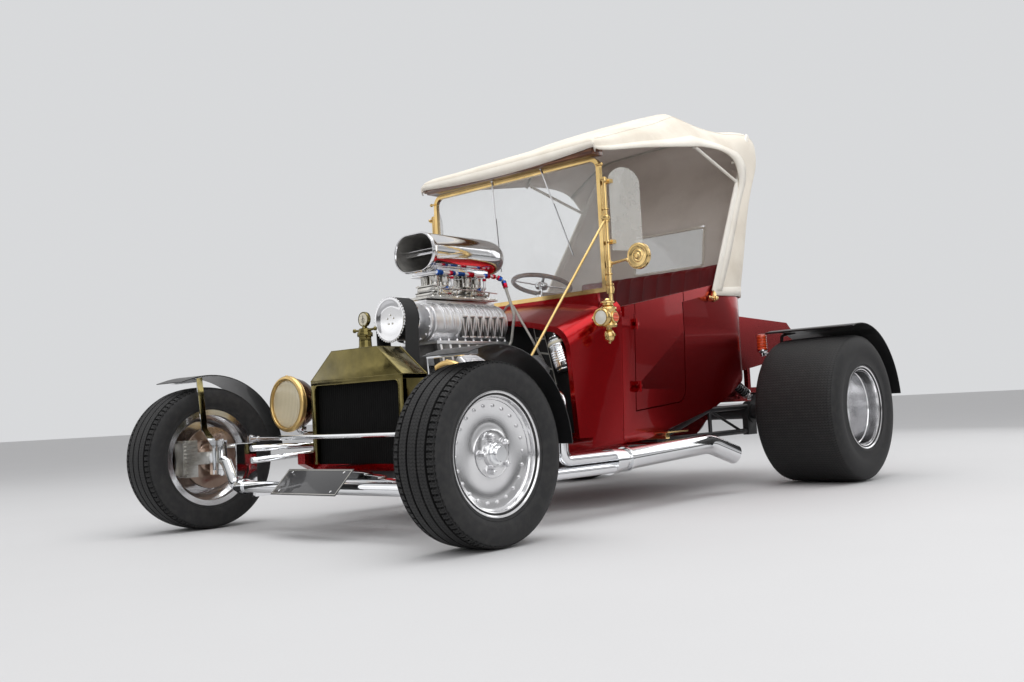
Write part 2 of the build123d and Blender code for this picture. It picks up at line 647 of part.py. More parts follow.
def rear_axle():
    """Tube axle with a round centre case, its nose and the two hub flanges."""
    face = hub_face(REAR_TRACK_X, REAR_RIM_W, REAR_DISH)
    y = WHEELBASE
    z = REAR_TYRE_R
    whole = rod((-face + 30, y, z), (face - 30, y, z), AXLE_HOUSING_R)
    whole += (Pos(0, y, z) * Sphere(130.0)) & block(-115, 115, y - 120, y + 120, z - 125, z + 125)
    whole += cone_rod((0, y - 90, z), (0, y - 250, z), 85.0, 45.0)
    for side in (1, -1):
        whole += rod((side * (face - 34), y, z), (side * face, y, z), 78.0)
        whole += rod((side * face, y, z), (side * (face + 40), y, z), SPINDLE_R)
    return whole


def ladder_bars():
    """Left ladder bar from the rail's pivot back to the axle's clamp and damper horn."""
    back = WHEELBASE
    knee_y = WHEELBASE - 418
    low_z = RAIL_BOTTOM + 29
    top_z = REAR_TYRE_R + 30
    coil_y, coil_z = COIL_LOW
    whole = rod((LADDER_X, LADDER_FRONT_Y, low_z), (LADDER_X, back - 20, low_z + 4), LADDER_TUBE_R)
    whole += rod((LADDER_X, LADDER_FRONT_Y, low_z), (LADDER_X, knee_y, top_z - 6), LADDER_TUBE_R - 1)
    whole += rod((LADDER_X, knee_y, top_z - 6), (LADDER_X, back - 10, top_z), LADDER_TUBE_R)
    whole += rod((LADDER_X, knee_y + 4, low_z), (LADDER_X, knee_y + 4, top_z - 6), 10.0)
    whole += rod((LADDER_X, knee_y, top_z - 8), (LADDER_X, back - 100, low_z + 3), 7.0)
    whole += rod((RAIL_OUT, LADDER_FRONT_Y, low_z), (LADDER_X + 18, LADDER_FRONT_Y, low_z), 20.0)
    whole += rod((LADDER_X - 22, back, REAR_TYRE_R), (LADDER_X + 22, back, REAR_TYRE_R), 58.0)
    whole += block(LADDER_X - 16, LADDER_X + 16, back - 60, back + 30, low_z - 16, REAR_TYRE_R)
    whole += polygon_yz([
        (back + 10, REAR_TYRE_R + 40), (back + 56, REAR_TYRE_R + 10), (coil_y + 14, coil_z + 12), (coil_y - 14, coil_z + 12),
    ], LADDER_X - 6, LADDER_X + 6)
    whole += rod((COIL_X - 18, coil_y, coil_z), (LADDER_X, coil_y, coil_z), COIL_STUD_R)
    return whole - rod((LADDER_X - 40, back, REAR_TYRE_R), (LADDER_X + 40, back, REAR_TYRE_R), AXLE_HOUSING_R + GAP)


def coilover():
    """Left coil over damper that leans back from the frame's stud to the axle's horn."""
    top = Vector(COIL_X, *COIL_TOP)
    low = Vector(COIL_X, *COIL_LOW)
    reach = (low - top).length
    unit = (low - top).normalized()

    def at(share, extra=0.0):
        return tuple(top + unit * (reach * share + extra))

    whole = rod(at(0), at(1), 11.0) + rod(at(0.40), at(0.86), 18.0)
    for share, radius in ((0.10, COIL_SPRING_R), (0.80, COIL_SPRING_R)):
        whole += rod(at(share), at(share, 6), radius)
    for turn in range(5):
        share = 0.20 + 0.12 * turn
        whole += rod(at(share), at(share, 7), COIL_SPRING_R - 2)
    for y, z in (COIL_TOP, COIL_LOW):
        whole += rod((COIL_X - 12, y, z), (COIL_X + 12, y, z), COIL_EYE_R)
    for y, z in (COIL_TOP, COIL_LOW):
        whole -= rod((COIL_X - 20, y, z), (COIL_X + 20, y, z), COIL_STUD_R + PIN_FIT)
    return whole


# Body: side outline, plan outline and cross section of the tub, each pushed through and
# crossed with the others, and a ruled loft for the cowl.
def rail_height(y):
    """Height of the side's top edge."""
    return min(BODY_RAIL_Z + BODY_RAIL_RISE * (y - COWL_REAR_Y), BODY_TOP_Z)


TUB_FRONT_Y = COWL_REAR_Y - 1.0
SILL_Z = 281.0
SILL_END_Y = BODY_BACK_Y - 1032.0     # where the tub's underside starts to rise
FLAT_END_Y = SEAT_FRONT_Y - 62.0      # where the floor starts to rise
RAIL_KNEE_Y = COWL_REAR_Y + (BODY_TOP_Z - BODY_RAIL_Z) / BODY_RAIL_RISE
BELLY_Y = BODY_BACK_Y - 532.0        # where the tub's floor turns up to the tail
BELLY_Z = 387.0
TAIL_Y = BODY_BACK_Y - 212.0
TAIL_Z = 511.0
HIP_Z = 725.0
HIP_IN = 52.0


def tub_outer_side():
    """Side outline of the tub's outer faces."""
    back = BODY_BACK_Y
    belly = (0, BELLY_Y, BELLY_Z)
    tail = (0, TAIL_Y, TAIL_Z)
    hip = (0, back - HIP_IN, HIP_Z)
    crest = (0, back, BODY_TOP_Z)
    return [
        Line((0, TUB_FRONT_Y, 274), (0, SILL_END_Y, SILL_Z)),
        Line((0, SILL_END_Y, SILL_Z), belly),
        ThreePointArc(belly, (0, (BELLY_Y + TAIL_Y) / 2 + 12, BELLY_Z + 50), tail),
        ThreePointArc(tail, (0, (TAIL_Y + back - HIP_IN) / 2 + 28, (TAIL_Z + HIP_Z) / 2 - 24), hip),
        Line(hip, (0, back - 8, 957)),
        Line((0, back - 8, 957), crest),
        Line(crest, (0, RAIL_KNEE_Y, BODY_TOP_Z)),
        Line((0, RAIL_KNEE_Y, BODY_TOP_Z), (0, TUB_FRONT_Y, rail_height(TUB_FRONT_Y))),
        Line((0, TUB_FRONT_Y, rail_height(TUB_FRONT_Y)), (0, TUB_FRONT_Y, 274)),
    ]


def tub_inner_side():
    """Side outline of the cabin's hollow, open at the top."""
    back = BODY_BACK_Y - WALL
    above = BODY_TOP_Z + 200
    tail = (0, TAIL_Y - 11, TAIL_Z + 17.6)
    hip = (0, back - HIP_IN, HIP_Z)
    return [
        Line((0, TUB_FRONT_Y, FLOOR_TOP), (0, FLAT_END_Y, FLOOR_TOP)),
        Line((0, FLAT_END_Y, FLOOR_TOP), (0, BELLY_Y, BELLY_Z + 24)),
        Line((0, BELLY_Y, BELLY_Z + 24), tail),
        ThreePointArc(tail, (0, (TAIL_Y + back - HIP_IN) / 2 + 28, (TAIL_Z + HIP_Z) / 2 - 15), hip),
        Line(hip, (0, back - 8, 957)),
        Line((0, back - 8, 957), (0, back, above)),
        Line((0, back, above), (0, TUB_FRONT_Y, above)),
        Line((0, TUB_FRONT_Y, above), (0, TUB_FRONT_Y, FLOOR_TOP)),
    ]


def tub_plan(inset):
    outline = rounded_u(BODY_HALF_W - inset, TUB_FRONT_Y - 1, BODY_BACK_Y - inset, BODY_CORNER_R - inset, 150)
    return extrude(make_face(outline), amount=1150, dir=(0, 0, 1))


def tub_section(inset):
    foot = BODY_FOOT_HALF_W - inset
    head = BODY_HALF_W + 4 - inset
    outline = [(-foot, 200), (foot, 200), (head, 860), (head, 1300), (-head, 1300), (-head, 860)]
    return polygon_xz(outline, TUB_FRONT_Y - 50, BODY_BACK_Y + 150)


def tub(side_outline, inset):
    side = side_prism(side_outline, -BODY_HALF_W - 150, BODY_HALF_W + 150)
    return side & tub_plan(inset) & tub_section(inset)


# Cowl stations: y, foot z, foot x, side x, side z, corner x, corner z, crown z
COWL_STATIONS = (
    (COWL_FRONT_Y, 262.0, BODY_HALF_W - 58, BODY_HALF_W - 88, 700.0, BODY_HALF_W - 190, 800.0, 850.0),
    (COWL_REAR_Y, 274.0, BODY_HALF_W - 26, BODY_HALF_W + 2, 838.0, BODY_HALF_W - 50, 918.0, 958.0),
)


def cowl_section(station, inset, foot_lift):
    """Closed outline of the cowl at a station: foot, side, round corner and crown."""
    y, foot_z, foot_x, side_x, side_z, corner_x, corner_z, crown_z = station
    foot = (foot_x - inset, y, foot_z + foot_lift)
    side = (side_x - inset, y, side_z - inset * 0.4)
    corner = (corner_x - inset, y, corner_z - inset)
    crown = (0, y, crown_z - inset)
    swell = 0.18
    bulge = (
        (side[0] + corner[0]) / 2 + (side[0] - corner[0]) * swell, y,
        (side[2] + corner[2]) / 2 + (corner[2] - side[2]) * swell,
    )

    def flip(point):
        return (-point[0], point[1], point[2])

    return make_face([
        Line(flip(foot), foot),
        Line(foot, side),
        ThreePointArc(side, bulge, corner),
        ThreePointArc(corner, crown, flip(corner)),
        ThreePointArc(flip(corner), flip(bulge), flip(side)),
        Line(flip(side), flip(foot)),
    ])


def cowl(inset, foot_lift=0.0):
    return loft([cowl_section(station, inset, foot_lift) for station in COWL_STATIONS], ruled=True)


def tunnel(thickness):
    """Cover over the gearbox and shaft: outer solid for 0, its hollow for the cover's thickness."""
    mouth = TUNNEL_MOUTH_R - thickness
    case = TUNNEL_R - thickness
    shaft = SHAFT_TUNNEL_R - thickness
    front = FIREWALL_Y + 8 + GAP - 2 * thickness
    end = GEARBOX_END_Y + 10 - thickness
    low = FLOOR_BOTTOM - 50
    shape = cone_rod((0, front, TUNNEL_Z), (0, COWL_REAR_Y + 50, TUNNEL_Z), mouth, case)
    shape += rod((0, COWL_REAR_Y + 49, TUNNEL_Z), (0, end, TUNNEL_Z), case)
    shape += block(-case, case, front, end, low, TUNNEL_Z)
    shape += rod((0, end - 1, 358), (0, BELLY_Y + 140, 358), shaft)
    shape += block(-shaft, shaft, end - 1, BELLY_Y + 140, low, 358)
    return shape


def seat_riser():
    """Box that the seat stands on."""
    y0 = SEAT_FRONT_Y - 2
    half = SEAT_HALF_W + 5
    front = block(-half, half, y0, y0 + 12, FLOOR_TOP - 2, RISER_TOP_Z)
    return front + block(-half, half, y0, BELLY_Y + 75, RISER_TOP_Z - 12, RISER_TOP_Z)


def body_shell():
    """Whole body with its door still in place."""
    knee = RAIL_KNEE_Y
    front = COWL_REAR_Y + 12
    far = BODY_BACK_Y + 150
    strip = polygon_yz([
        (front, rail_height(front) - BAND_H), (knee, BODY_TOP_Z - BAND_H), (far, BODY_TOP_Z - BAND_H),
        (far, BODY_TOP_Z), (knee, BODY_TOP_Z), (front, rail_height(front)),
    ], -BODY_HALF_W - 150, BODY_HALF_W + 150)
    inside = BODY_HALF_W - WALL - 2
    shell = tub(tub_outer_side(), 0.0) + (tub_plan(-BAND_OUT) & strip) + cowl(0.0)
    shell -= tub(tub_inner_side(), WALL)
    shell -= block(-inside, inside, COWL_REAR_Y - 10, COWL_REAR_Y + 60, FLOOR_TOP, 1100)
    shell -= cowl(WALL, -60.0) - block(-BODY_HALF_W, BODY_HALF_W, FIREWALL_Y, COWL_REAR_Y + 50, 150, FLOOR_TOP)
    under = BODY_FOOT_HALF_W - WALL
    shell -= block(-under, under, COWL_FRONT_Y - 85, BELLY_Y - 20, 150, FLOOR_BOTTOM)
    keep_above = block(-TUNNEL_MOUTH_R - 10, TUNNEL_MOUTH_R + 10, FIREWALL_Y, BELLY_Y + 135, FLOOR_BOTTOM, 700)
    shell += (tunnel(0.0) & keep_above) + seat_riser()
    return shell - tunnel(TUNNEL_T)


def door_prism(gap):
    """The door's outline seen from the side, pushed out through the left wall."""
    y0 = DOOR_FRONT_Y + gap
    y1 = DOOR_REAR_Y - gap
    z0 = DOOR_FRONT_Z + gap
    z1 = DOOR_REAR_Z + gap
    r = DOOR_CORNER_R - gap
    rest = r * (1 - cos(pi / 4))
    return side_prism([
        Line((0, y0, z0), (0, y1 - r, z1)),
        ThreePointArc((0, y1 - r, z1), (0, y1 - rest, z1 + rest), (0, y1, z1 + r)),
        Line((0, y1, z1 + r), (0, y1, 1200)),
        Line((0, y1, 1200), (0, y0, 1200)),
        Line((0, y0, 1200), (0, y0, z0)),
    ], SEAT_HALF_W + 6, BODY_HALF_W + 150)


def body_hinges():
    """Body's halves of the door's hinges: pins with a barrel at each end, on short leaves."""
    y = DOOR_FRONT_Y
    whole = None
    for middle in HINGES_Z:
        low = middle - HINGE_HALF
        high = middle + HINGE_HALF
        pin = rod((HINGE_X, y, low), (HINGE_X, y, high), HINGE_PIN_R)
        whole = pin if whole is None else whole + pin
        for z0, z1 in ((low, middle - 8 - GAP), (middle + 8 + GAP, high)):
            whole += rod((HINGE_X, y, z0), (HINGE_X, y, z1), HINGE_R)
            whole += block(BODY_HALF_W - 18, HINGE_X, y - 14, y - 2, z0, z1)
    return whole


def door_hinges(door):
    """The door with its barrels round the pins."""
    y = DOOR_FRONT_Y
    for middle in HINGES_Z:
        door += rod((HINGE_X, y, middle - 8), (HINGE_X, y, middle + 8), HINGE_R)
        door += block(BODY_HALF_W - 18, HINGE_X, y + DOOR_GAP / 2 + 1, y + 15, middle - 8, middle + 8)
        door += block(HINGE_X - 5, HINGE_X + 2, y, y + 15, middle - 8, middle + 8)
    for middle in HINGES_Z:
        door -= rod((HINGE_X, y, middle - 20), (HINGE_X, y, middle + 20), HINGE_PIN_R + PIN_FIT)
    return door


def firewall():
    """Black panel set back inside the cowl, arched over the bell housing, with a canister and a flat loom."""
    plate = cowl(WALL + GAP, -60.0) & block(-700, 700, FIREWALL_Y, FIREWALL_Y + 8, FLOOR_TOP + GAP, 1000)
    plate -= rod((0, FIREWALL_Y - 1, TUNNEL_Z), (0, FIREWALL_Y + 9, TUNNEL_Z), TUNNEL_MOUTH_R)
    plate += polygon_xz(LOOM, FIREWALL_Y - 6, FIREWALL_Y + 2)
    y = FIREWALL_Y - CANISTER_R - 3
    (low_x, low_z), (top_x, top_z) = CANISTER
    canister = rod((low_x, y, low_z), (top_x, y, top_z), CANISTER_R)
    canister = fillet(canister.edges(), CANISTER_R * 0.6)
    x = (low_x + top_x) / 2
    z = (low_z + top_z) / 2
    return plate + canister + block(x - 20, x + 20, y, FIREWALL_Y + 2, z - 30, z + 30)


def dash():
    return cowl(WALL + GAP, -60.0) & block(-700, 700, COWL_REAR_Y - 26, COWL_REAR_Y - 8, 690, 1000)


# Windscreen, lamps and mirror on the cowl
def wing_plate():
    """Left wind wing: a slender pane with a round top."""
    outline = make_face([
        Line((0, 0, 0), (150, 0, 0)),
        Line((150, 0, 0), (150, 0, 300)),
        ThreePointArc((150, 0, 300), (80, 0, 372), (0, 0, 330)),
        Line((0, 0, 330), (0, 0, 0)),
    ])
    return Pos(POST_X + 16, SCREEN_Y + 12, 1120) * Rot(0, 0, 62) * extrude(outline, amount=5, dir=(0, 1, 0))


def mirror_head():
    """Round mirror on an arm from the left post."""
    x = SCREEN_HALF_W + 170
    head = rod((x, SCREEN_Y + 1, 1077), (x, SCREEN_Y + 19, 1077), 56.0)
    arm = rod((POST_X, SCREEN_Y, 1060), (x, SCREEN_Y + 10, 1077), 6.0)
    return head + arm + rod((POST_X, SCREEN_Y, 1046), (POST_X, SCREEN_Y, 1074), 15.0)


def windscreen_frame():
    """Brass frame with its posts, struts down to the rails, wing clamps and the mirror."""
    y0 = SCREEN_Y - SCREEN_TUBE / 2
    y1 = SCREEN_Y + SCREEN_TUBE / 2
    bar = SCREEN_TUBE
    whole = hoop(SCREEN_HALF_W, SCREEN_BASE_Z, SCREEN_TOP_Z, SCREEN_CORNER_R, y0, y1)
    whole -= hoop(SCREEN_HALF_W - bar, SCREEN_BASE_Z + bar, SCREEN_TOP_Z - bar, SCREEN_CORNER_R - bar, y0, y1)
    whole += block(-SCREEN_HALF_W + 50, SCREEN_HALF_W - 50, y0, y1, 860, SCREEN_BASE_Z + 1)
    half = one_post() + one_strut()
    whole += half + mirror(half, about=Plane.YZ) + mirror_head()
    wings = both_sides(wing_plate())
    return whole - cowl(-GAP) - wings[0] - wings[1]


def one_post():
    """Left post with its foot, two clamps to the frame and two clamps for the wind wing."""
    y = SCREEN_Y
    post = rod((POST_X, y, 800), (POST_X, y, SCREEN_TOP_Z - 100), POST_R)
    post += block(POST_X - 60, POST_X + 12, y - 14, y + 14, 785, 826)
    post += rod((POST_X, y, 930), (POST_X, y, 962), 17.0)
    for z in (990.0, 1255.0):
        post += block(SCREEN_HALF_W - 1, POST_X, y - 7, y + 7, z, z + 20)
    post += Pos(POST_X, y, 1266) * Sphere(17.0)
    for z in (1150.0, 1420.0):
        post += block(POST_X - 8, POST_X + 28, y, y + 26, z, z + 16)
    return post


def one_strut():
    """Left brass strut from the post forward and down to the top of the frame's rail."""
    top = Vector(POST_X, SCREEN_Y - 10, 1258)
    foot = Vector(RAIL_X - 8, 573, RAIL_TOP + 8)
    strut = rod(tuple(top), tuple(foot), 6.0)
    return strut + block(foot.X - 14, foot.X + 14, foot.Y - 20, foot.Y + 20, RAIL_TOP + GAP, RAIL_TOP + 16)


def windscreen_glass():
    half = SCREEN_HALF_W - SCREEN_TUBE - GAP
    low = SCREEN_BASE_Z + SCREEN_TUBE + GAP
    high = SCREEN_TOP_Z - SCREEN_TUBE - GAP
    return hoop(half, low, high, SCREEN_CORNER_R - SCREEN_TUBE, SCREEN_Y - GLASS_T / 2, SCREEN_Y + GLASS_T / 2)


def cowl_lamp():
    """Left side lamp: round body with a chimney, a front bezel, an oil fount and its arm."""
    x, y, z = BODY_HALF_W + 42, 1096.0, 817.0
    whole = rod((x, y, z - 42), (x, y, z + 46), 38.0)
    # Turned pieces above and below the body: low z, high z, radius
    for low, high, radius in ((46, 62, 22.0), (62, 70, 30.0), (68, 84, 10.0), (-70, -42, 14.0)):
        whole += rod((x, y, z + low), (x, y, z + high), radius)
    whole += rod((x, y - 58, z), (x, y, z), 42.0)
    whole += Pos(x, y, z - 84) * Sphere(24.0)
    whole += rod((x - 30, y, z), (x - 150, y, z + 8), 9.0)
    return whole - cowl(-GAP)


# Canvas hood
ROOF_SLOPE = (MID_BOW_Z - HEADER_Z) / (MID_BOW_Y - TOP_FRONT_Y)
# Rear face of the hood: height, how far it stands behind the body's back
HOOD_BACK = (
    (TOP_FOOT_Z, 0.0), (1100.0, 0.0), (1440.0, 55.0), (1575.0, 115.0), (1770.0, 225.0), (1850.0, 247.0),
)


def hood_solid(inset, foot_z):
    """Outer solid of the hood for inset 0, or its hollow."""
    half = TOP_HALF_W - inset
    front = TOP_FRONT_Y + inset
    stations = [(foot_z, 0.0)] + list(HOOD_BACK[1:]) + [(2050.0, HOOD_BACK[-1][1])]
    sections = []
    for z, out in stations:
        outline = rounded_u(half, front, TOP_BACK_Y + out - inset, TOP_CORNER_R - inset, z)
        sections.append(make_face(outline))
    roof = polygon_yz([
        (front, foot_z - 5), (front, HEADER_Z - inset + ROOF_SLOPE * inset), (MID_BOW_Y, MID_BOW_Z - inset),
        (REAR_BOW_Y, REAR_BOW_Z - inset), (REAR_BOW_Y + 120, REAR_BOW_Z - 11 - inset),
        (TOP_BACK_Y + 247 - inset, 1850 - inset), (TOP_BACK_Y + 247 - inset, foot_z - 5),
    ], -TOP_HALF_W - 50, TOP_HALF_W + 50)
    return loft(sections, ruled=True) & roof


def hood_window(half, low, high, corner):
    return hoop(half, low, high, corner, TOP_BACK_Y - 60, TOP_BACK_Y + 200)


def soft_top():
    """Canvas hood as a thin closed sheet: roof, back and rear quarters, with side openings."""
    shell = hood_solid(0.0, TOP_FOOT_Z) - hood_solid(TOP_T, TOP_FOOT_Z - 50)
    foot_y = BOW_FOOT_Y + 15
    back = BODY_BACK_Y
    # Side opening from the curtain's foot round its rear corner and forward to the header
    opening = polygon_yz([
        (TOP_FRONT_Y - 100, 880), (foot_y - 36, 880), (foot_y, 935), (back - 52, 1555), (back - 78, 1628),
        (back - 130, 1680), (back - 205, 1706), (back - 310, 1715), (back - 456, 1706), (1471, 1621),
        (SCREEN_Y + 29, SCREEN_TOP_Z + 24), (TOP_FRONT_Y - 100, SCREEN_TOP_Z + 8),
    ], -TOP_HALF_W - 50, TOP_HALF_W + 50)
    return shell - opening - hood_window(230, 1180, 1400, 40)


def rear_window():
    """Clear pane in the hood's back."""
    pane = hood_solid(1.5, TOP_FOOT_Z) - hood_solid(4.5, TOP_FOOT_Z - 50)
    return pane & hood_window(230 - GAP, 1180 + GAP, 1400 - GAP, 40 - GAP)


def top_bows():
    """Rear bow with its legs outside the body, middle bow on it, and the header's board."""
    foot = (BOW_FOOT_X, BOW_FOOT_Y, rail_height(BOW_FOOT_Y) - BOW_FOOT_DROP)
    foot_x, foot_y, foot_z = foot
    head_x, head_y, head_z = BOW_HEAD
    rear = pipe([
        (-foot_x, foot_y, foot_z), (-head_x, head_y, head_z), (head_x, head_y, head_z), (foot_x, foot_y, foot_z),
    ], BOW_R, 60.0)
    share = 0.82
    branch = [low + (high - low) * share for low, high in zip(foot, BOW_HEAD)]
    mid_z = MID_BOW_Z - TOP_T - (BOW_R - 1 + GAP) / cos(atan(ROOF_SLOPE))
    mid_x = TOP_HALF_W - TOP_T - BOW_R - 2
    middle = pipe([
        (-branch[0], branch[1], branch[2]), (-mid_x, MID_BOW_Y + 60, mid_z - 36), (-mid_x + 50, MID_BOW_Y, mid_z),
        (mid_x - 50, MID_BOW_Y, mid_z), (mid_x, MID_BOW_Y + 60, mid_z - 36), (branch[0], branch[1], branch[2]),
    ], BOW_R - 1, 30.0)
    whole = rear + middle
    for side in (1, -1):
        inner = side * (BODY_HALF_W + GAP)
        whole += rod((inner, foot_y, foot_z + 8), (side * (foot_x + 10), foot_y, foot_z + 8), 13.0)
    front = TOP_FRONT_Y + TOP_T + 1

    def under(y):
        return HEADER_Z - TOP_T + ROOF_SLOPE * (y - TOP_FRONT_Y) - GAP

    header = polygon_yz([
        (front, SCREEN_TOP_Z + GAP), (SCREEN_Y + 18, SCREEN_TOP_Z + GAP), (SCREEN_Y + 30, SCREEN_TOP_Z + 50),
        (SCREEN_Y + 30, under(SCREEN_Y + 30)), (front, under(front)),
    ], -SCREEN_HALF_W, SCREEN_HALF_W)
    return whole, header


# Cabin
def seat_cushion():
    y0 = SEAT_FRONT_Y
    low = RISER_TOP_Z + GAP
    cushion = polygon_yz([
        (y0, low), (y0 + 348, low), (y0 + SEAT_DEPTH, low + 65), (y0 + SEAT_DEPTH, low + 120), (y0, low + 145),
    ], -SEAT_HALF_W, SEAT_HALF_W)
    return fillet(cushion.edges().filter_by(Axis.X), 20)


def seat_back():
    y0 = SEAT_FRONT_Y + SEAT_DEPTH + GAP
    back = polygon_yz([
        (y0, 510), (y0 + 100, 549), (y0 + 214, 1150), (y0 + 200, 1178), (y0 + 134, 1168), (y0, 590),
    ], -SEAT_HALF_W + 25, SEAT_HALF_W - 25)
    return fillet(back.edges().filter_by(Axis.X), 12)


def steering():
    """Wheel and column on the right side of the cabin."""
    tilt = radians(COLUMN_TILT)
    centre = Vector(*WHEEL_CENTRE)
    up = Vector(0, sin(tilt), cos(tilt))
    length = (WHEEL_CENTRE[2] - FLOOR_TOP - 20) / cos(tilt)

    def along(distance):
        return tuple(centre + up * distance)

    column = rod(along(-length), along(-60), 19.0) + rod(along(-62), along(-8), 10.0)
    foot = along(-length)
    column += block(foot[0] - 40, foot[0] + 40, foot[1] - 40, foot[1] + 40, FLOOR_TOP + GAP, FLOOR_TOP + 30)
    place = Plane(origin=along(0), z_dir=up)
    wheel = place.location * Torus(STEER_WHEEL_R, 12.0) + rod(along(-20), along(8), 34.0)
    for number in range(4):
        angle = radians(45 + 90 * number)
        tip = place.location * Pos((STEER_WHEEL_R - 4) * cos(angle), (STEER_WHEEL_R - 4) * sin(angle), 0)
        wheel += rod(along(-6), tuple(tip.position), 7.0)
    return column, wheel - rod(along(-40), along(-7.9), 10.0 + PIN_FIT)


# Radiator and lamps
def radiator_shell():
    """Brass shell with a pointed top tank, its open mouth, and the cap with dial and wings."""
    y0 = RADIATOR_Y
    y1 = RADIATOR_Y + RADIATOR_D
    half = SHELL_HALF_W
    shell = polygon_xz([
        (-half, SHELL_BOTTOM_Z), (half, SHELL_BOTTOM_Z), (half, SHELL_SIDE_Z), (SHELL_PEAK_HALF_W, SHELL_PEAK_Z),
        (-SHELL_PEAK_HALF_W, SHELL_PEAK_Z), (-half, SHELL_SIDE_Z),
    ], y0, y1)
    inner = half - SHELL_T
    shell -= block(-inner, inner, y0 + SHELL_T, y1 + 5, SHELL_BOTTOM_Z - 5, MOUTH_TOP_Z + 12)
    mouth = half - SHELL_RIM
    shell -= hoop(mouth, SHELL_BOTTOM_Z - 10, MOUTH_TOP_Z, 15, y0 - 5, y0 + 30)
    y = (y0 + y1) / 2
    z = SHELL_PEAK_Z
    # Turned pieces of the filler: low z, high z, lower radius, upper radius
    for low, high, wide, narrow in ((-2, 20, 30, 22), (20, 26, 32, 32), (26, 40, 30, 26), (40, 90, 9, 7)):
        shell += cone_rod((0, y, z + low), (0, y, z + high), wide, narrow + 0.01)
    shell += rod((0, y - 10, z + 116), (0, y + 10, z + 116), 31.0)
    shell += rod((-74, y, z + 72), (74, y, z + 72), 6.0)
    for x in (-76, 76):
        shell += Pos(x, y, z + 72) * Sphere(9.0)
    return shell


def radiator_core():
    half = SHELL_HALF_W - SHELL_T - GAP
    y0 = RADIATOR_Y + SHELL_T + 18
    return block(-half, half, y0, y0 + 70, SHELL_BOTTOM_Z, MOUTH_TOP_Z + 12 - GAP)


def headlamp():
    """Left lamp's shell with its rim, curved stalk and foot on the rail, and the lens."""
    x, y, z = HEADLAMP
    face = make_face([
        Line((x, y - 62, z), (x, y - 62, z + HEADLAMP_R - 12)),
        ThreePointArc((x, y - 62, z + HEADLAMP_R - 12), (x, y - 50, z + HEADLAMP_R), (x, y - 30, z + HEADLAMP_R - 4)),
        ThreePointArc((x, y - 30, z + HEADLAMP_R - 4), (x, y + 40, z + 78), (x, y + 68, z)),
        Line((x, y + 68, z), (x, y - 62, z)),
    ])
    shell = revolve(face, axis=Axis((x, y, z), (0, 1, 0)))
    shell -= rod((x, y - 63, z), (x, y - 40, z), HEADLAMP_R - 15)
    foot_y = y + 38
    stalk = pipe([
        (x, y + 18, z - 85), (x, y + 30, z - 131), (RAIL_X, foot_y, z - 136), (RAIL_X, foot_y, RAIL_TOP + 2),
    ], 11.0, 20.0)
    foot = block(RAIL_X - 18, RAIL_X + 18, foot_y - 20, foot_y + 20, RAIL_TOP + GAP, RAIL_TOP + 8)
    lens = rod((x, y - 58, z), (x, y - 40 - GAP, z), HEADLAMP_R - 15 - GAP)
    return shell + stalk + foot, lens


# Engine
def on_head(side, across, up):
    """A point in a bank's own axes: across the deck outwards and up from it."""
    lean = radians(45)
    x = side * (215 + across * cos(lean) + up * sin(lean))
    return (x, CRANK_Z + 171 - across * sin(lean) + up * cos(lean))


def engine_and_gearbox():
    """V8 block with its heads and sump, the bell housing, gearbox and driveshaft."""
    y0 = BLOCK_FRONT_Y
    y1 = BLOCK_REAR_Y
    whole = block(-118, 118, y0, y1, CRANK_Z - 96, CRANK_Z + 60)
    whole += block(-96, 96, y0 + 30, y1 - 20, CRANK_Z - 190, CRANK_Z - 90)
    for side in (1, -1):
        whole += polygon_xz([
            (0, CRANK_Z - 60), (side * 120, CRANK_Z - 40), (side * DECK_OUT[0], DECK_OUT[1]),
            (side * DECK_IN[0], DECK_IN[1]), (0, VALLEY_Z),
        ], y0, y1)
        corners = ((-76, -2), (72, -2), (60, 72), (-70, 72))
        whole += polygon_xz([on_head(side, across, up) for across, up in corners], y0 + 10, y1 - 10)
    whole += rod((0, y1 - 4, CRANK_Z), (0, y1 + 34, CRANK_Z), BELL_R + 13)
    whole += cone_rod((0, y1 + 33, CRANK_Z), (0, y1 + 170, GEARBOX_Z + 8), BELL_R, 100.0)
    whole += rod((0, y1 + 160, GEARBOX_Z), (0, GEARBOX_END_Y, GEARBOX_Z), GEARBOX_R)
    whole += rod((0, GEARBOX_END_Y - 2, GEARBOX_Z), (0, GEARBOX_END_Y + 120, GEARBOX_Z), 44.0)
    shaft_end = WHEELBASE - 251
    whole += rod((0, GEARBOX_END_Y + 110, GEARBOX_Z + 2), (0, shaft_end, REAR_TYRE_R), SHAFT_R)
    return whole


def valve_cover(side):
    """Cover on one bank's head, with bevelled top edges."""
    corners = ((-62, 72.3), (52, 72.3), (50, 128), (36, 142), (-46, 142), (-60, 128))
    outline = [on_head(side, across, up) for across, up in corners]
    return polygon_xz(outline, BLOCK_FRONT_Y + 26, BLOCK_REAR_Y - 26)


def manifold_flank_z():
    """Height of the manifold's lower edge on the heads."""
    slope = (DECK_IN[1] - VALLEY_Z) / DECK_IN[0]
    return VALLEY_Z + slope * MANIFOLD_LOW_HALF + GAP * 2


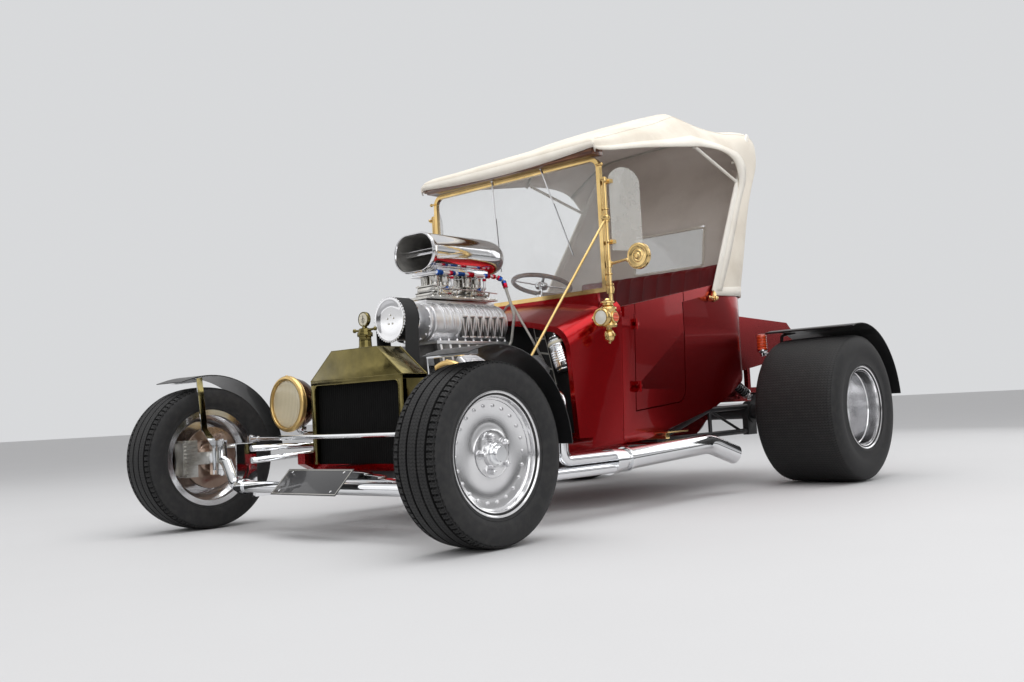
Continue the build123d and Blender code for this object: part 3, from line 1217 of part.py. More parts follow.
def blower():
    """Roots blower: round sided case with ribs, its manifold in the valley, cover and snout."""
    y0 = BLOWER_FRONT_Y
    y1 = BLOWER_REAR_Y
    mid = (BLOWER_BOTTOM_Z + BLOWER_TOP_Z) / 2
    lobe_r = min((BLOWER_TOP_Z - BLOWER_BOTTOM_Z) * 0.43, BLOWER_HALF_W * 0.68)
    lobe = BLOWER_HALF_W - lobe_r
    case = block(-lobe, lobe, y0 + 40, y1, BLOWER_BOTTOM_Z, BLOWER_TOP_Z)
    for x in (-lobe, lobe):
        case += rod((x, y0 + 40, mid), (x, y1, mid), lobe_r)
    cover = BLOWER_HALF_W - 6
    case += block(-cover, cover, y0, y0 + 44, BLOWER_BOTTOM_Z + 12, BLOWER_TOP_Z - 14)
    round_cap = rod((0, y0, mid), (0, y1, mid), BLOWER_HALF_W)
    for number in range(9):
        y = y0 + 78 + number * 46
        case += block(-lobe - 40, lobe + 40, y, y + 9, mid, BLOWER_TOP_Z + 6) & round_cap
    low_half = MANIFOLD_LOW_HALF
    top_half = MANIFOLD_TOP_HALF
    flank_z = manifold_flank_z()
    case += polygon_xz([
        (0, VALLEY_Z + GAP * 2), (low_half, flank_z), (low_half, flank_z + 16), (top_half, BLOWER_BOTTOM_Z + 1),
        (-top_half, BLOWER_BOTTOM_Z + 1), (-low_half, flank_z + 16), (-low_half, flank_z),
    ], y0 + 30, y1 - 10)
    case += rod((0, PULLEY_Y + BELT_W + 12, PULLEY_Z), (0, y0 + 4, PULLEY_Z), 58.0)
    return case + rod((0, PULLEY_Y + 18, PULLEY_Z), (0, PULLEY_Y + BELT_W + 14, PULLEY_Z), 26.0)


def pulley(z, radius):
    y0 = PULLEY_Y
    y1 = PULLEY_Y + BELT_W
    drum = rod((0, y0, z), (0, y1, z), radius)
    return drum + rod((0, y0 - 5, z), (0, y0, z), radius + 10) + rod((0, y1, z), (0, y1 + 4, z), radius + 10)


def blower_pulleys():
    """Upper pulley on the blower's snout and lower pulley on the crank's nose."""
    y = PULLEY_Y
    top = pulley(PULLEY_Z, PULLEY_R)
    top -= rod((0, y - 6, PULLEY_Z), (0, y + 14, PULLEY_Z), PULLEY_R - 22)
    top += rod((0, y + 2, PULLEY_Z), (0, y + 16, PULLEY_Z), 34.0)
    top -= rod((0, y + 18 - GAP, PULLEY_Z), (0, y + BELT_W + 10, PULLEY_Z), 26.0 + GAP)
    low = pulley(CRANK_Z, CRANK_PULLEY_R)
    return top, low + rod((0, y + BELT_W, CRANK_Z), (0, BLOCK_FRONT_Y - GAP, CRANK_Z), 30.0)


def blower_belt():
    """Belt round the blower's pulley and the crank's pulley."""
    def loop(extra):
        big = PULLEY_R + extra
        small = CRANK_PULLEY_R + extra
        y = PULLEY_Y + 1
        lean = atan2(big - small, PULLEY_Z - CRANK_Z)
        high = (big * cos(lean), y, PULLEY_Z - big * sin(lean))
        low = (small * cos(lean), y, CRANK_Z - small * sin(lean))
        high_flip = (-high[0], y, high[2])
        low_flip = (-low[0], y, low[2])
        return extrude(make_face([
            Line(low, high),
            ThreePointArc(high, (0, y, PULLEY_Z + big), high_flip),
            Line(high_flip, low_flip),
            ThreePointArc(low_flip, (0, y, CRANK_Z - small), low),
        ]), amount=BELT_W - 2, dir=(0, 1, 0))

    return loop(GAP + BELT_T) - loop(GAP)


def carburettors():
    """Two four barrel carburettors on their plate."""
    base = CARB_BASE_Z
    whole = block(-86, 86, SCOOP_FRONT_Y + 20, SCOOP_REAR_Y - 60, base, base + 12)
    for y in CARBS_Y:
        whole += block(-58, 58, y - 72, y + 72, base + 12, base + 62)
        whole += block(-CARB_BODY_HALF, CARB_BODY_HALF, y - 44, y + 44, base + 20, base + 56)
        for across in (-26, 26):
            for along in (-26, 26):
                barrel = (across, y + along)
                whole += rod((*barrel, base + 60), (*barrel, base + CARB_H), 23.0)
    return whole


def fuel_pipe():
    """Fuel pipe beside the carburettors, its feeds, and the hose that turns down to the manifold."""
    log = rod((FUEL_X, SCOOP_FRONT_Y + 30, FUEL_Z), (FUEL_X, BLOWER_REAR_Y - 40, FUEL_Z), FUEL_R)
    for y in FUEL_NUTS_Y:
        log += rod((FUEL_X, y - 16, FUEL_Z), (FUEL_X, y + 16, FUEL_Z), FUEL_R + 4)
    feed_z = CARB_BASE_Z + 48
    for y in CARBS_Y:
        log += pipe([(FUEL_X, y, FUEL_Z), (FUEL_X, y, feed_z), (CARB_BODY_HALF + GAP, y, feed_z)], 6.0, 11.0)
    y = BLOWER_REAR_Y - 17
    port_z = BLOWER_BOTTOM_Z - 32
    low_z = manifold_flank_z() + 16
    rise = BLOWER_BOTTOM_Z + 1 - low_z
    share = (port_z - HOSE_NUT_R - low_z) / rise
    port_x = MANIFOLD_LOW_HALF + share * (MANIFOLD_TOP_HALF - MANIFOLD_LOW_HALF) + GAP
    log += pipe([
        (FUEL_X, y - 25, FUEL_Z), (FUEL_X + 18, y, FUEL_Z - 15), (BLOWER_HALF_W + 58, y, BLOWER_TOP_Z - 64),
        (BLOWER_HALF_W + 30, y, BLOWER_BOTTOM_Z - 3), (BLOWER_HALF_W + 12, y - 50, port_z),
    ], HOSE_R, 40.0)
    return log + rod((port_x, y - 50, port_z), (BLOWER_HALF_W + 24, y - 50, port_z), HOSE_NUT_R)


def blower_hose():
    """Hose from the blower's rear face over to the left head's rear face."""
    start = (85.0, (BLOWER_BOTTOM_Z + BLOWER_TOP_Z) / 2 + 46)
    radius = HOSE_R - 1
    front = BLOWER_REAR_Y + radius + 2 * GAP
    back = BLOCK_REAR_Y + 2
    port = ((DECK_IN[0] + DECK_OUT[0]) / 2 + 57, (DECK_IN[1] + DECK_OUT[1]) / 2 + 24)
    hose = pipe([
        (start[0], front, start[1]), (start[0] + 55, front, start[1] + 50), (port[0] - 17, front, BLOWER_BOTTOM_Z + 14),
        (port[0], back, port[1] + 80), (port[0], back, port[1]),
    ], radius, 30.0)
    hose += rod((start[0], BLOWER_REAR_Y + GAP, start[1]), (start[0], BLOWER_REAR_Y + 12, start[1]), HOSE_NUT_R)
    head_y = BLOCK_REAR_Y - 10 + GAP
    return hose + rod((port[0], head_y, port[1]), (port[0], back + 9, port[1]), HOSE_NUT_R)


def scoop_oval(y, inset, shrink):
    """Oval outline of the scoop, with the wall's inset and the taper towards the tail."""
    r = SCOOP_H / 2 - inset - shrink
    f = SCOOP_HALF_W - SCOOP_H / 2 - shrink * 0.3
    z = SCOOP_Z
    return make_face([
        Line((-f, y, z - r), (f, y, z - r)),
        ThreePointArc((f, y, z - r), (f + r, y, z), (f, y, z + r)),
        Line((f, y, z + r), (-f, y, z + r)),
        ThreePointArc((-f, y, z + r), (-f - r, y, z), (-f, y, z - r)),
    ])


def air_scoop():
    """Oval scoop open at the front and closed round behind, on its neck over the barrels."""
    waist = SCOOP_REAR_Y - 110
    hip = SCOOP_REAR_Y - 40
    # Spans from front to tail: front y, rear y, inset of the wall, taper at the front and rear
    spans = (
        (SCOOP_FRONT_Y, waist, 0, 0, 3), (waist, hip, 0, 3, 14), (hip, SCOOP_REAR_Y, 0, 14, 46),
        (SCOOP_FRONT_Y - 1, waist, SCOOP_T, 0, 3), (waist - 0.5, hip - 6, SCOOP_T, 3, 16),
    )
    lofts = [
        loft([scoop_oval(y0, inset, taper0), scoop_oval(y1, inset, taper1)], ruled=True)
        for y0, y1, inset, taper0, taper1 in spans
    ]
    neck_z = CARB_BASE_Z + CARB_H + GAP
    neck = block(-NECK_HALF, NECK_HALF, CARBS_Y[0] - 60, CARBS_Y[1] + 55, neck_z, SCOOP_Z - SCOOP_H / 2 + 12)
    return (lofts[0] + lofts[1] + lofts[2] + neck) - lofts[3] - lofts[4]


# Header tubes: port y, y of the leg that goes down, its offsets across and up in the collector
PRIMARIES = (
    (520.0, 500.0, 24.0, -24.0),
    (640.0, 568.0, -24.0, -24.0),
    (760.0, 636.0, 24.0, 24.0),
    (880.0, 704.0, -24.0, 24.0),
)


def header():
    """Left header: flange on the head, four tubes out and down, and back into the collector."""
    out_x, out_z = sin(radians(54.7)), -cos(radians(54.7))
    inner_x, inner_z = on_head(1, 72, 6)
    outer_x, outer_z = on_head(1, 61.5, 66)
    lift = GAP + 0.5
    flange = polygon_xz([
        (inner_x + out_x * lift, inner_z + out_z * lift), (outer_x + out_x * lift, outer_z + out_z * lift),
        (outer_x + out_x * 11, outer_z + out_z * 11), (inner_x + out_x * 11, inner_z + out_z * 11),
    ], PRIMARIES[0][0] - 40, PRIMARIES[-1][0] + 40)
    port_x = (inner_x + outer_x) / 2 + out_x * 9.5
    port_z = (inner_z + outer_z) / 2 + out_z * 9.5
    whole = flange
    for port_y, leg_y, across, up in PRIMARIES:
        x = PIPE_X + across
        z = PIPE_Z + up
        whole += pipe([
            (port_x, port_y, port_z), (port_x + out_x * 60, port_y, port_z + out_z * 60),
            (x, leg_y, HEADER_KNEE_Z), (x, leg_y, z), (x, COLLECTOR_Y + 20, z),
        ], PRIMARY_R, 44.0)
    return whole


def side_pipe():
    """Left pipe: collector cone, long tube turned out at its hollow tip, clamp and hanger."""
    y0 = COLLECTOR_Y + 20 + GAP
    y1 = COLLECTOR_Y + 110
    end_z = PIPE_Z + PIPE_RISE
    tip = (PIPE_X + 46, PIPE_END_Y + 150, end_z - 62)
    whole = cone_rod((PIPE_X, y0, PIPE_Z), (PIPE_X, y1, PIPE_Z), 56.0, PIPE_R + 2)
    whole += pipe([(PIPE_X, y1 - 1, PIPE_Z), (PIPE_X, PIPE_END_Y, end_z), tip], PIPE_R, 150.0)
    whole += rod((PIPE_X, y1 + 18, PIPE_Z + 1), (PIPE_X, y1 + 32, PIPE_Z + 1.5), PIPE_R + 7)
    whole += rod((PIPE_X - 35, 1500, RAIL_BOTTOM + 20), (RAIL_OUT + GAP, 1500, RAIL_BOTTOM + 20), 9.0)
    start = (PIPE_X + 31, PIPE_END_Y + 100, end_z - 41)
    beyond = (PIPE_X + 61, PIPE_END_Y + 200, end_z - 83)
    return whole - rod(start, beyond, PIPE_R - 3)


# Steps, rear fenders, lamps and trunk
def step_plate():
    """Left step plate on an arm from the rail, passing under the body's edge."""
    y = SEAT_FRONT_Y - 62
    plate = block(BODY_HALF_W - 2, BODY_HALF_W + 68, y - 85, y + 85, 305, 311)
    arm = block(RAIL_OUT + GAP, BODY_HALF_W + 10, y - 15, y + 15, 276, 296)
    return plate + arm + block(BODY_HALF_W - 2, BODY_HALF_W + 10, y - 15, y + 15, 276, 306)


def rear_fender():
    """Left rear fender with a rolled front edge, on a stay from the rail."""
    low, high = REAR_FENDER_END
    middle = (low + high) / 2
    inner = REAR_FENDER_R
    outer = REAR_FENDER_R + FENDER_T
    whole = side_prism([
        ThreePointArc(*[on_wheel(inner, angle, REAR_HUB) for angle in (low, middle, high)]),
        Line(on_wheel(inner, high, REAR_HUB), on_wheel(outer, high, REAR_HUB)),
        ThreePointArc(*[on_wheel(outer, angle, REAR_HUB) for angle in (high, middle, low)]),
        Line(on_wheel(outer, low, REAR_HUB), on_wheel(inner, low, REAR_HUB)),
    ], REAR_FENDER_INNER_X, REAR_FENDER_OUTER_X)
    _, edge_y, edge_z = on_wheel(inner + 2, high, REAR_HUB)
    whole += rod((REAR_FENDER_INNER_X, edge_y, edge_z), (REAR_FENDER_OUTER_X, edge_y, edge_z), 5.0)
    y = WHEELBASE + 100
    top = REAR_TYRE_R + REAR_FENDER_R - 7
    inner_x = REAR_FENDER_INNER_X
    whole += pipe([
        (inner_x + 60, y, top), (inner_x - 16, y, top - 10), (FENDER_STAY_X, y, 600),
        (RAIL_OUT + 85, y, 462), (RAIL_OUT + GAP, y, 462),
    ], 9.0, 20.0)
    return whole


def tail_lamp():
    """Left tail lamp: ribbed lens on its socket, with an arm back to the fender's stay."""
    x = REAR_FENDER_INNER_X - 29
    y = BODY_BACK_Y - 12
    whole = rod((x, y, 690), (x, y, 772), 21.0)
    for z in (700, 724, 748):
        whole += rod((x, y, z), (x, y, z + 10), 27.0)
    whole += rod((x, y, 658), (x, y, 690), 12.0)
    stay_y = WHEELBASE + 100 - 9 - GAP
    return whole + rod((x, y, 668), (x, stay_y, 668), 7.0)


def trunk_floor(y):
    """Height of the trunk's underside."""
    share = (y - TRUNK_LOW_Y) / (TRUNK_END_Y - 180 - TRUNK_LOW_Y)
    return 578.0 + (650.0 - 578.0) * share


def trunk_outline(t):
    """Side outline of the trunk, or of its hollow for a wall thickness."""
    end = TRUNK_END_Y
    return [
        (TRUNK_LOW_Y + t, 578.0 + t), (end - 180 - t * 0.2, 650.0 + t), (end - 20 - t, 716.0 + t * 0.7),
        (end - t, 750.0 + t * 0.1), (end - 6 - t, 822.0 - t * 0.4), (end - 60 - t * 0.4, 862.0 - t),
        (TRUNK_LOW_Y + 30 + t, TRUNK_TOP_Z - t), (TRUNK_LOW_Y + t, 727.0),
    ]


def trunk_pieces():
    """Trunk behind the tub, with its lid cut from the top."""
    inside = TRUNK_HALF_W - TRUNK_WALL
    shell = polygon_yz(trunk_outline(0.0), -TRUNK_HALF_W, TRUNK_HALF_W)
    shell -= polygon_yz(trunk_outline(TRUNK_WALL), -inside, inside)
    half = TRUNK_HALF_W - LID_MARGIN
    y0 = LID_FRONT_Y
    y1 = TRUNK_END_Y - 40
    gap = SWING_GAP
    lid = shell & block(-half + gap, half - gap, y0 + gap, y1 - gap, 800, 1000)
    shell -= block(-half, half, y0, y1, 800, 1000)
    y = y0 + gap / 2
    z = LID_HINGE_Z
    # Hinge barrels along the front edge: inner and outer ends on the trunk, middle on the lid
    for side in (1, -1):
        inner, outer = (side * (LID_HINGE_X - 30), side * (LID_HINGE_X + 30))
        shell += rod((inner, y, z), (outer, y, z), 3.5)
        for start, end in ((-30, -10 - GAP), (10 + GAP, 30)):
            x0, x1 = sorted((side * (LID_HINGE_X + start), side * (LID_HINGE_X + end)))
            shell += rod((x0, y, z), (x1, y, z), 6.0) + block(x0, x1, y - 20, y, z - 11, z - 2)
        x0, x1 = sorted((side * (LID_HINGE_X - 10), side * (LID_HINGE_X + 10)))
        lid += rod((x0, y, z), (x1, y, z), 6.0) + block(x0, x1, y, y + 20, z - 11, z - 2)
        lid -= rod((x0 - 5, y, z), (x1 + 5, y, z), 3.5 + PIN_FIT)
    return shell, lid


def save_pair(name, left):
    """Writes a left piece and its mirror image as two nodes."""
    save(name + "_left", left)
    save(name + "_right", mirror(left, about=Plane.YZ))


def main():
    os.makedirs("parts", exist_ok=True)
    save_pair("front_tyre", tyre(FRONT_HUB, FRONT_TYRE_R, FRONT_TYRE_W, FRONT_RIM_W))
    save_pair("front_wheel", rim(FRONT_HUB, FRONT_RIM_W, FRONT_DISH, 30.0))
    save_pair("brake_disc", brake_disc())
    save_pair("rear_tyre", tyre(REAR_HUB, REAR_TYRE_R, REAR_TYRE_W, REAR_RIM_W))
    save_pair("rear_wheel", rim(REAR_HUB, REAR_RIM_W, REAR_DISH, 34.0))
    save_pair("knuckle", knuckle())
    save_pair("caliper", caliper())
    save_pair("front_fender", front_fender())
    save("tie_rod", tie_rod())
    save("front_axle", front_axle())
    save("radius_rods", *both_sides(radius_rods()))
    save("front_spring", front_spring())
    save("front_brackets", *front_brackets())
    save("number_plate", number_plate())
    save("frame_rails", frame_rails())
    save("rear_axle", rear_axle())
    save("ladder_bars", *both_sides(ladder_bars()))
    save("coilovers", *both_sides(coilover()))
    body = body_shell()
    save("body_tub", (body - door_prism(-DOOR_GAP / 2)) + body_hinges())
    save("passenger_door", door_hinges(body & door_prism(DOOR_GAP / 2)))
    save("firewall", firewall())
    save("dash", dash())
    save("windscreen_frame", windscreen_frame())
    save("windscreen_glass", windscreen_glass())
    save("wind_wings", *both_sides(wing_plate()))
    save("cowl_lamps", *both_sides(cowl_lamp()))
    save("soft_top", soft_top())
    save("rear_window", rear_window())
    save("top_bows", *top_bows())
    save("seat_cushion", seat_cushion())
    save("seat_back", seat_back())
    column, steering_wheel = steering()
    save("steering_column", column)
    save("steering_wheel", steering_wheel)
    save("radiator_shell", radiator_shell())
    save("radiator_core", radiator_core())
    lamp, lens = headlamp()
    save("headlamps", *both_sides(lamp))
    save("headlamp_lenses", *both_sides(lens))
    save("engine_and_gearbox", engine_and_gearbox())
    save("valve_covers", valve_cover(1), valve_cover(-1))
    save("blower", blower())
    save("blower_pulleys", *blower_pulleys())
    save("blower_belt", blower_belt())
    save("carburettors", carburettors())
    save("fuel_lines", fuel_pipe(), blower_hose())
    save("air_scoop", air_scoop())
    save("exhaust_headers", *both_sides(header()))
    save("side_pipes", *both_sides(side_pipe()))
    save("step_plates", *both_sides(step_plate()))
    save("rear_fenders", *both_sides(rear_fender()))
    save("tail_lamps", *both_sides(tail_lamp()))
    trunk, lid = trunk_pieces()
    save("trunk", trunk)
    save("trunk_lid", lid)
    print(len(saved), "nodes")


main()
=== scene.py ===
"""Looks of a street rod roadster: its finishes, its fine pieces, a plain studio and the camera."""

import logging
import math
from dataclasses import dataclass
from enum import Enum
from typing import Callable, Optional, Sequence, Union

import bmesh
import bpy
from mathutils import Matrix, Vector

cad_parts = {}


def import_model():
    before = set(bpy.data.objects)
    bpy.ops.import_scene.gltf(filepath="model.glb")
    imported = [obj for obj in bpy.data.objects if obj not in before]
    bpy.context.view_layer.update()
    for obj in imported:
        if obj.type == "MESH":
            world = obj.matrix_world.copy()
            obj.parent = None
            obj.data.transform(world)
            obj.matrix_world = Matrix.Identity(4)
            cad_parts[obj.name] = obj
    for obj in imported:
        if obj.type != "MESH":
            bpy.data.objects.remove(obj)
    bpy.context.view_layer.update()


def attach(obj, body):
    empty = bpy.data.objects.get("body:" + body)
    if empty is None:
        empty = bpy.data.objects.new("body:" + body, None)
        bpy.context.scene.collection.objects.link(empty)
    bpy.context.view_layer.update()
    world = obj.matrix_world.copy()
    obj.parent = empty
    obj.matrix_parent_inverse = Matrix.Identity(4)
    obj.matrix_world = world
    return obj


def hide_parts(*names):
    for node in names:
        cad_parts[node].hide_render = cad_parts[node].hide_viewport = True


logging.basicConfig(level=logging.INFO, format="%(message)s")
LOG = logging.getLogger("roadster")

# Directions: to the car's left, to its rear, ahead and up
ACROSS = (1, 0, 0)
BACK = (0, 1, 0)
AHEAD = (0, -1, 0)
UP = (0, 0, 1)

WHEELBASE = 2.54

# Distance at which points count as one
MERGE = 0.00001

# The model's origin lies under the middle of the car's length, this far behind the front axle
MID_Y = 1.39125

Point = tuple[float, float, float]
Number = Union[float, "Value"]
Row = tuple[int, list[float]]
Place = Sequence[float]


def at(x: float, y: float, z: float) -> Vector:
    """Turns a place measured from the front axle into the model's frame.

    Args:
        x: Metres to the car's left.
        y: Metres behind the front axle.
        z: Metres above the ground.

    Returns:
        The point in the model's frame.
    """
    return Vector((x, y - MID_Y, z))


class Side(Enum):
    """Side of the car."""

    LEFT = 1
    RIGHT = -1

    @property
    def word(self) -> str:
        """The side's word, as node names end."""
        return self.name.lower()


# Shader tools


class Value:
    """A number socket that takes Python operators, each of which adds a Math node."""

    def __init__(self, owner: "Nodes", socket: bpy.types.NodeSocket) -> None:
        """Wraps one output socket."""
        self.owner, self.socket = owner, socket

    def math(self, operation: str, *others: Number) -> "Value":
        """Adds a Math node with this value first."""
        return self.owner.node("ShaderNodeMath", {"operation": operation}, dict(enumerate((self, *others))))

    def __add__(self, other: Number) -> "Value":
        """Sum."""
        return self.math("ADD", other)

    __radd__ = __add__

    def __mul__(self, other: Number) -> "Value":
        """Product."""
        return self.math("MULTIPLY", other)

    __rmul__ = __mul__

    def __sub__(self, other: Number) -> "Value":
        """Difference."""
        return self.math("SUBTRACT", other)

    def __rsub__(self, other: Number) -> "Value":
        """Difference with this value second."""
        return self * -1.0 + other

    def __gt__(self, other: Number) -> "Value":
        """1 where this value is greater."""
        return self.math("GREATER_THAN", other)


class Nodes:
    """The node tree of a material or the world."""

    def __init__(self, owner: Union[bpy.types.Material, bpy.types.World], place: str = "Object") -> None:
        """Empties the owner's tree and adds its coordinates.

        Args:
            owner: The material or world.
            place: The kind of coordinates.
        """
        owner.use_nodes = True
        self.tree = owner.node_tree
        self.tree.nodes.clear()
        self.place = self.node("ShaderNodeTexCoord", {}, {}, place)

    def node(self, kind: str, settings: dict, inputs: dict, output: Union[int, str, None] = 0) -> Optional[Value]:
        """Adds one node.

        Args:
            kind: The node's type.
            settings: Its settings, where stops is a ramp's list of place and grey or colour.
            inputs: The values or links of its sockets, by name or number.
            output: The output to hand back, if any.

        Returns:
            The chosen output, wrapped.
        """
        made = self.tree.nodes.new(kind)
        for key, value in settings.items():
            if key == "stops":
                while len(made.color_ramp.elements) < len(value):
                    made.color_ramp.elements.new(0.5)
                for element, (where, colour) in zip(made.color_ramp.elements, value):
                    element.position = where
                    element.color = (colour,) * 3 + (1.0,) if isinstance(colour, float) else (*colour, 1.0)
            else:
                setattr(made, key, value)
        for key, value in inputs.items():
            if isinstance(value, Value):
                self.tree.links.new(value.socket, made.inputs[key])
            else:
                made.inputs[key].default_value = (*value, 1.0) if made.inputs[key].type == "RGBA" else value
        return None if output is None else Value(self, made.outputs[output])

    def end(self, kind: str, surface: Value) -> None:
        """Sends a surface to the tree's output."""
        self.node(kind, {}, {"Surface": surface}, None)

    def moved(self, centre: Sequence[float], scale: Sequence[float] = (1.0, 1.0, 1.0)) -> Value:
        """Object coordinates measured from a centre and stretched."""
        offset = [-c * s for c, s in zip(centre, scale)]
        return self.node("ShaderNodeMapping", {}, {0: self.place, "Location": offset, "Scale": scale})

    def noise(self, scale: float, detail: float = 3.0, where: Optional[Value] = None, rough: float = 0.55) -> Value:
        """Soft random grey from 0 to 1.

        Args:
            scale: How many blotches a metre holds.
            detail: How many finer layers lie on it.
            where: The coordinates, or Object coordinates.
            rough: Weight of the finer layers.

        Returns:
            The noise.
        """
        inputs = {"Vector": where or self.place, "Scale": scale, "Detail": detail, "Roughness": rough}
        return self.node("ShaderNodeTexNoise", {}, inputs)

    def ramp(self, factor: Value, stops: Sequence) -> Value:
        """A colour or grey that follows a factor."""
        return self.node("ShaderNodeValToRGB", {"stops": stops}, {0: factor})

    def mix(self, factor: Number, one: object, two: object, blend: str = "MIX") -> Value:
        """Two colours mixed."""
        return self.node(
            "ShaderNodeMix", {"data_type": "RGBA", "blend_type": blend}, {0: factor, 6: one, 7: two}, 2
        )

    def bump(self, height: Value, depth: float, strength: float = 1.0, under: Optional[Value] = None) -> Value:
        """A normal tilted by a height that runs from 0 to 1 over a depth in metres."""
        inputs = {"Height": height, "Distance": depth, "Strength": strength}
        if under:
            inputs["Normal"] = under
        return self.node("ShaderNodeBump", {}, inputs)

    def axes(self, where: Value) -> tuple[Value, Value, Value]:
        """X, Y and Z of a vector as three values."""
        outputs = self.node("ShaderNodeSeparateXYZ", {}, {0: where}).socket.node.outputs
        return tuple(Value(self, output) for output in outputs)


class Shader(Nodes):
    """One material and the nodes that make it."""

    def __init__(self, name: str) -> None:
        """Starts an empty material of this name."""
        self.material = bpy.data.materials.new(name)
        super().__init__(self.material)

    def finish(self, **sockets: object) -> bpy.types.Material:
        """Ends the material in one Principled shader.

        Args:
            sockets: Its sockets, with the spaces in their names as underscores.

        Returns:
            The material.
        """
        names = {key.replace("_", " "): value for key, value in sockets.items()}
        self.end("ShaderNodeOutputMaterial", self.node("ShaderNodeBsdfPrincipled", {}, names))
        return self.material


# Finishes


@dataclass(frozen=True)
class Finish:
    """A finish with its name and the record's slot that it belongs to."""

    name: str
    slot: str

    def build(self, shader: Shader) -> bpy.types.Material:
        """Makes the material."""
        raise NotImplementedError

    def material(self) -> bpy.types.Material:
        """The material, made once."""
        return bpy.data.materials.get(self.name) or self.build(Shader(self.name))


@dataclass(frozen=True)
class Bright(Finish):
    """Polished metal or plate with faint smears and a little waviness."""

    colour: Point = (0.8, 0.8, 0.82)
    shade: Point = (0.7, 0.7, 0.72)
    rough: tuple[float, float] = (0.04, 0.12)
    wave: float = 0.0002
    grain: float = 0.0

    def build(self, shader: Shader) -> bpy.types.Material:
        """Makes the metal."""
        smear = shader.noise(9.0, 5.0)
        fine = shader.noise(140.0, 2.0)
        tint = shader.mix(shader.ramp(smear, [(0.35, 0.0), (0.7, 1.0)]), self.colour, self.shade)
        rough = smear * (self.rough[1] - self.rough[0]) + self.rough[0] + fine * 0.03
        height = shader.noise(22.0, 1.0) + fine * self.grain
        return shader.finish(
            Base_Color=tint, Metallic=1.0, Roughness=rough, Normal=shader.bump(height, self.wave, 0.6)
        )


@dataclass(frozen=True)
class Turned(Finish):
    """Polished alloy with the fine rings a lathe leaves round one axle line."""

    colour: Point = (0.82, 0.82, 0.83)
    centre: Point = (0.0, 0.0, 0.0)
    rings: float = 900.0

    def build(self, shader: Shader) -> bpy.types.Material:
        """Makes the alloy."""
        x, y, z = shader.axes(shader.moved(self.centre))
        radius = (y * y + z * z).math("SQRT")
        rings = (radius * self.rings).math("SINE")
        smear = shader.noise(14.0, 4.0)
        tint = shader.mix(smear, self.colour, tuple(c * 0.86 for c in self.colour))
        return shader.finish(
            Base_Color=tint,
            Metallic=1.0,
            Roughness=smear * 0.14 + rings * 0.02 + 0.1,
            Normal=shader.bump(rings * 0.5 + shader.noise(30.0, 1.0), 0.00004, 0.5),
        )


@dataclass(frozen=True)
class Lacquer(Finish):
    """Paint under clear coat, with flake and a little orange peel."""

    colour: Point = (0.02, 0.02, 0.02)
    deep: Point = (0.01, 0.01, 0.01)
    metallic: float = 0.0
    rough: float = 0.3
    coat: float = 1.0
    peel: float = 0.00004

    def build(self, shader: Shader) -> bpy.types.Material:
        """Makes the paint."""
        flake = shader.node("ShaderNodeTexVoronoi", {}, {"Vector": shader.place, "Scale": 1400.0}, "Color")
        sparkle = shader.ramp(flake, [(0.25, 0.0), (0.9, 1.0)])
        cloud = shader.noise(3.0, 2.0)
        tint = shader.mix(cloud * 0.3 + sparkle * 0.35, self.colour, self.deep)
        dust = shader.noise(60.0, 4.0)
        return shader.finish(
            Base_Color=tint,
            Metallic=self.metallic,
            Roughness=dust * 0.08 + self.rough,
            Coat_Weight=self.coat,
            Coat_Roughness=0.03,
            Normal=shader.bump(shader.noise(260.0, 1.0), self.peel, 0.35),
        )


@dataclass(frozen=True)
class Casting(Finish):
    """Cast metal with a sandy skin and darker stains at random."""

    colour: Point = (0.5, 0.5, 0.5)
    dark: Point = (0.2, 0.2, 0.2)
    metallic: float = 1.0
    rough: float = 0.35
    sand: float = 0.0004

    def build(self, shader: Shader) -> bpy.types.Material:
        """Makes the casting."""
        stain = shader.noise(16.0, 5.0)
        sand = shader.noise(420.0, 3.0)
        tint = shader.mix(shader.ramp(stain, [(0.42, 0.0), (0.75, 1.0)]), self.colour, self.dark)
        return shader.finish(
            Base_Color=tint,
            Metallic=self.metallic,
            Roughness=stain * 0.2 + self.rough,
            Normal=shader.bump(sand, self.sand, 0.7),
        )


@dataclass(frozen=True)
class Rubber(Finish):
    """Tyre or belt rubber, greyer where it is scuffed, with tread drawn across a wheel's face and painted shade in
    the tread's grooves.
    """

    colour: Point = (0.016, 0.016, 0.017)
    centre: Point = (0.0, 0.0, 0.0)
    tread_from: float = 9.0
    blocks: float = 0.0
    ribs: float = 0.0

    def build(self, shader: Shader) -> bpy.types.Material:
        """Makes the rubber."""
        x, y, z = shader.axes(shader.moved(self.centre))
        radius = (y * y + z * z).math("SQRT")
        scuff = shader.noise(38.0, 6.0)
        tint = shader.mix(shader.ramp(scuff, [(0.4, 0.0), (0.8, 1.0)]), self.colour, (0.034, 0.033, 0.032))
        height = shader.noise(320.0, 2.0) * 0.25
        if self.blocks:
            turn = y.math("ARCTAN2", z)
            ribs = x * self.ribs
            zig = (ribs - ribs.math("FLOOR") - 0.5).math("ABSOLUTE")
            wave = (turn * self.blocks + zig * 6.283).math("SINE")
            cut = shader.ramp(wave * 0.5 + 0.5, [(0.16, 0.0), (0.3, 1.0)])
            groove = shader.ramp(zig, [(0.035, 0.0), (0.075, 1.0)])
            tread = radius > self.tread_from
            land = shader.mix(tread, (1.0, 1.0, 1.0), shader.mix(1.0, cut, groove, "MULTIPLY"))
            height = height + land * 1.0
            # The tread's grooves and cuts are painted near black as shade
            tint = shader.mix(land, (0.004, 0.004, 0.004), tint)
        return shader.finish(
            Base_Color=tint,
            Roughness=scuff * 0.25 + 0.5,
            Specular_IOR_Level=0.35,
            Normal=shader.bump(height, 0.0022 if self.blocks else 0.0006, 0.8),
        )


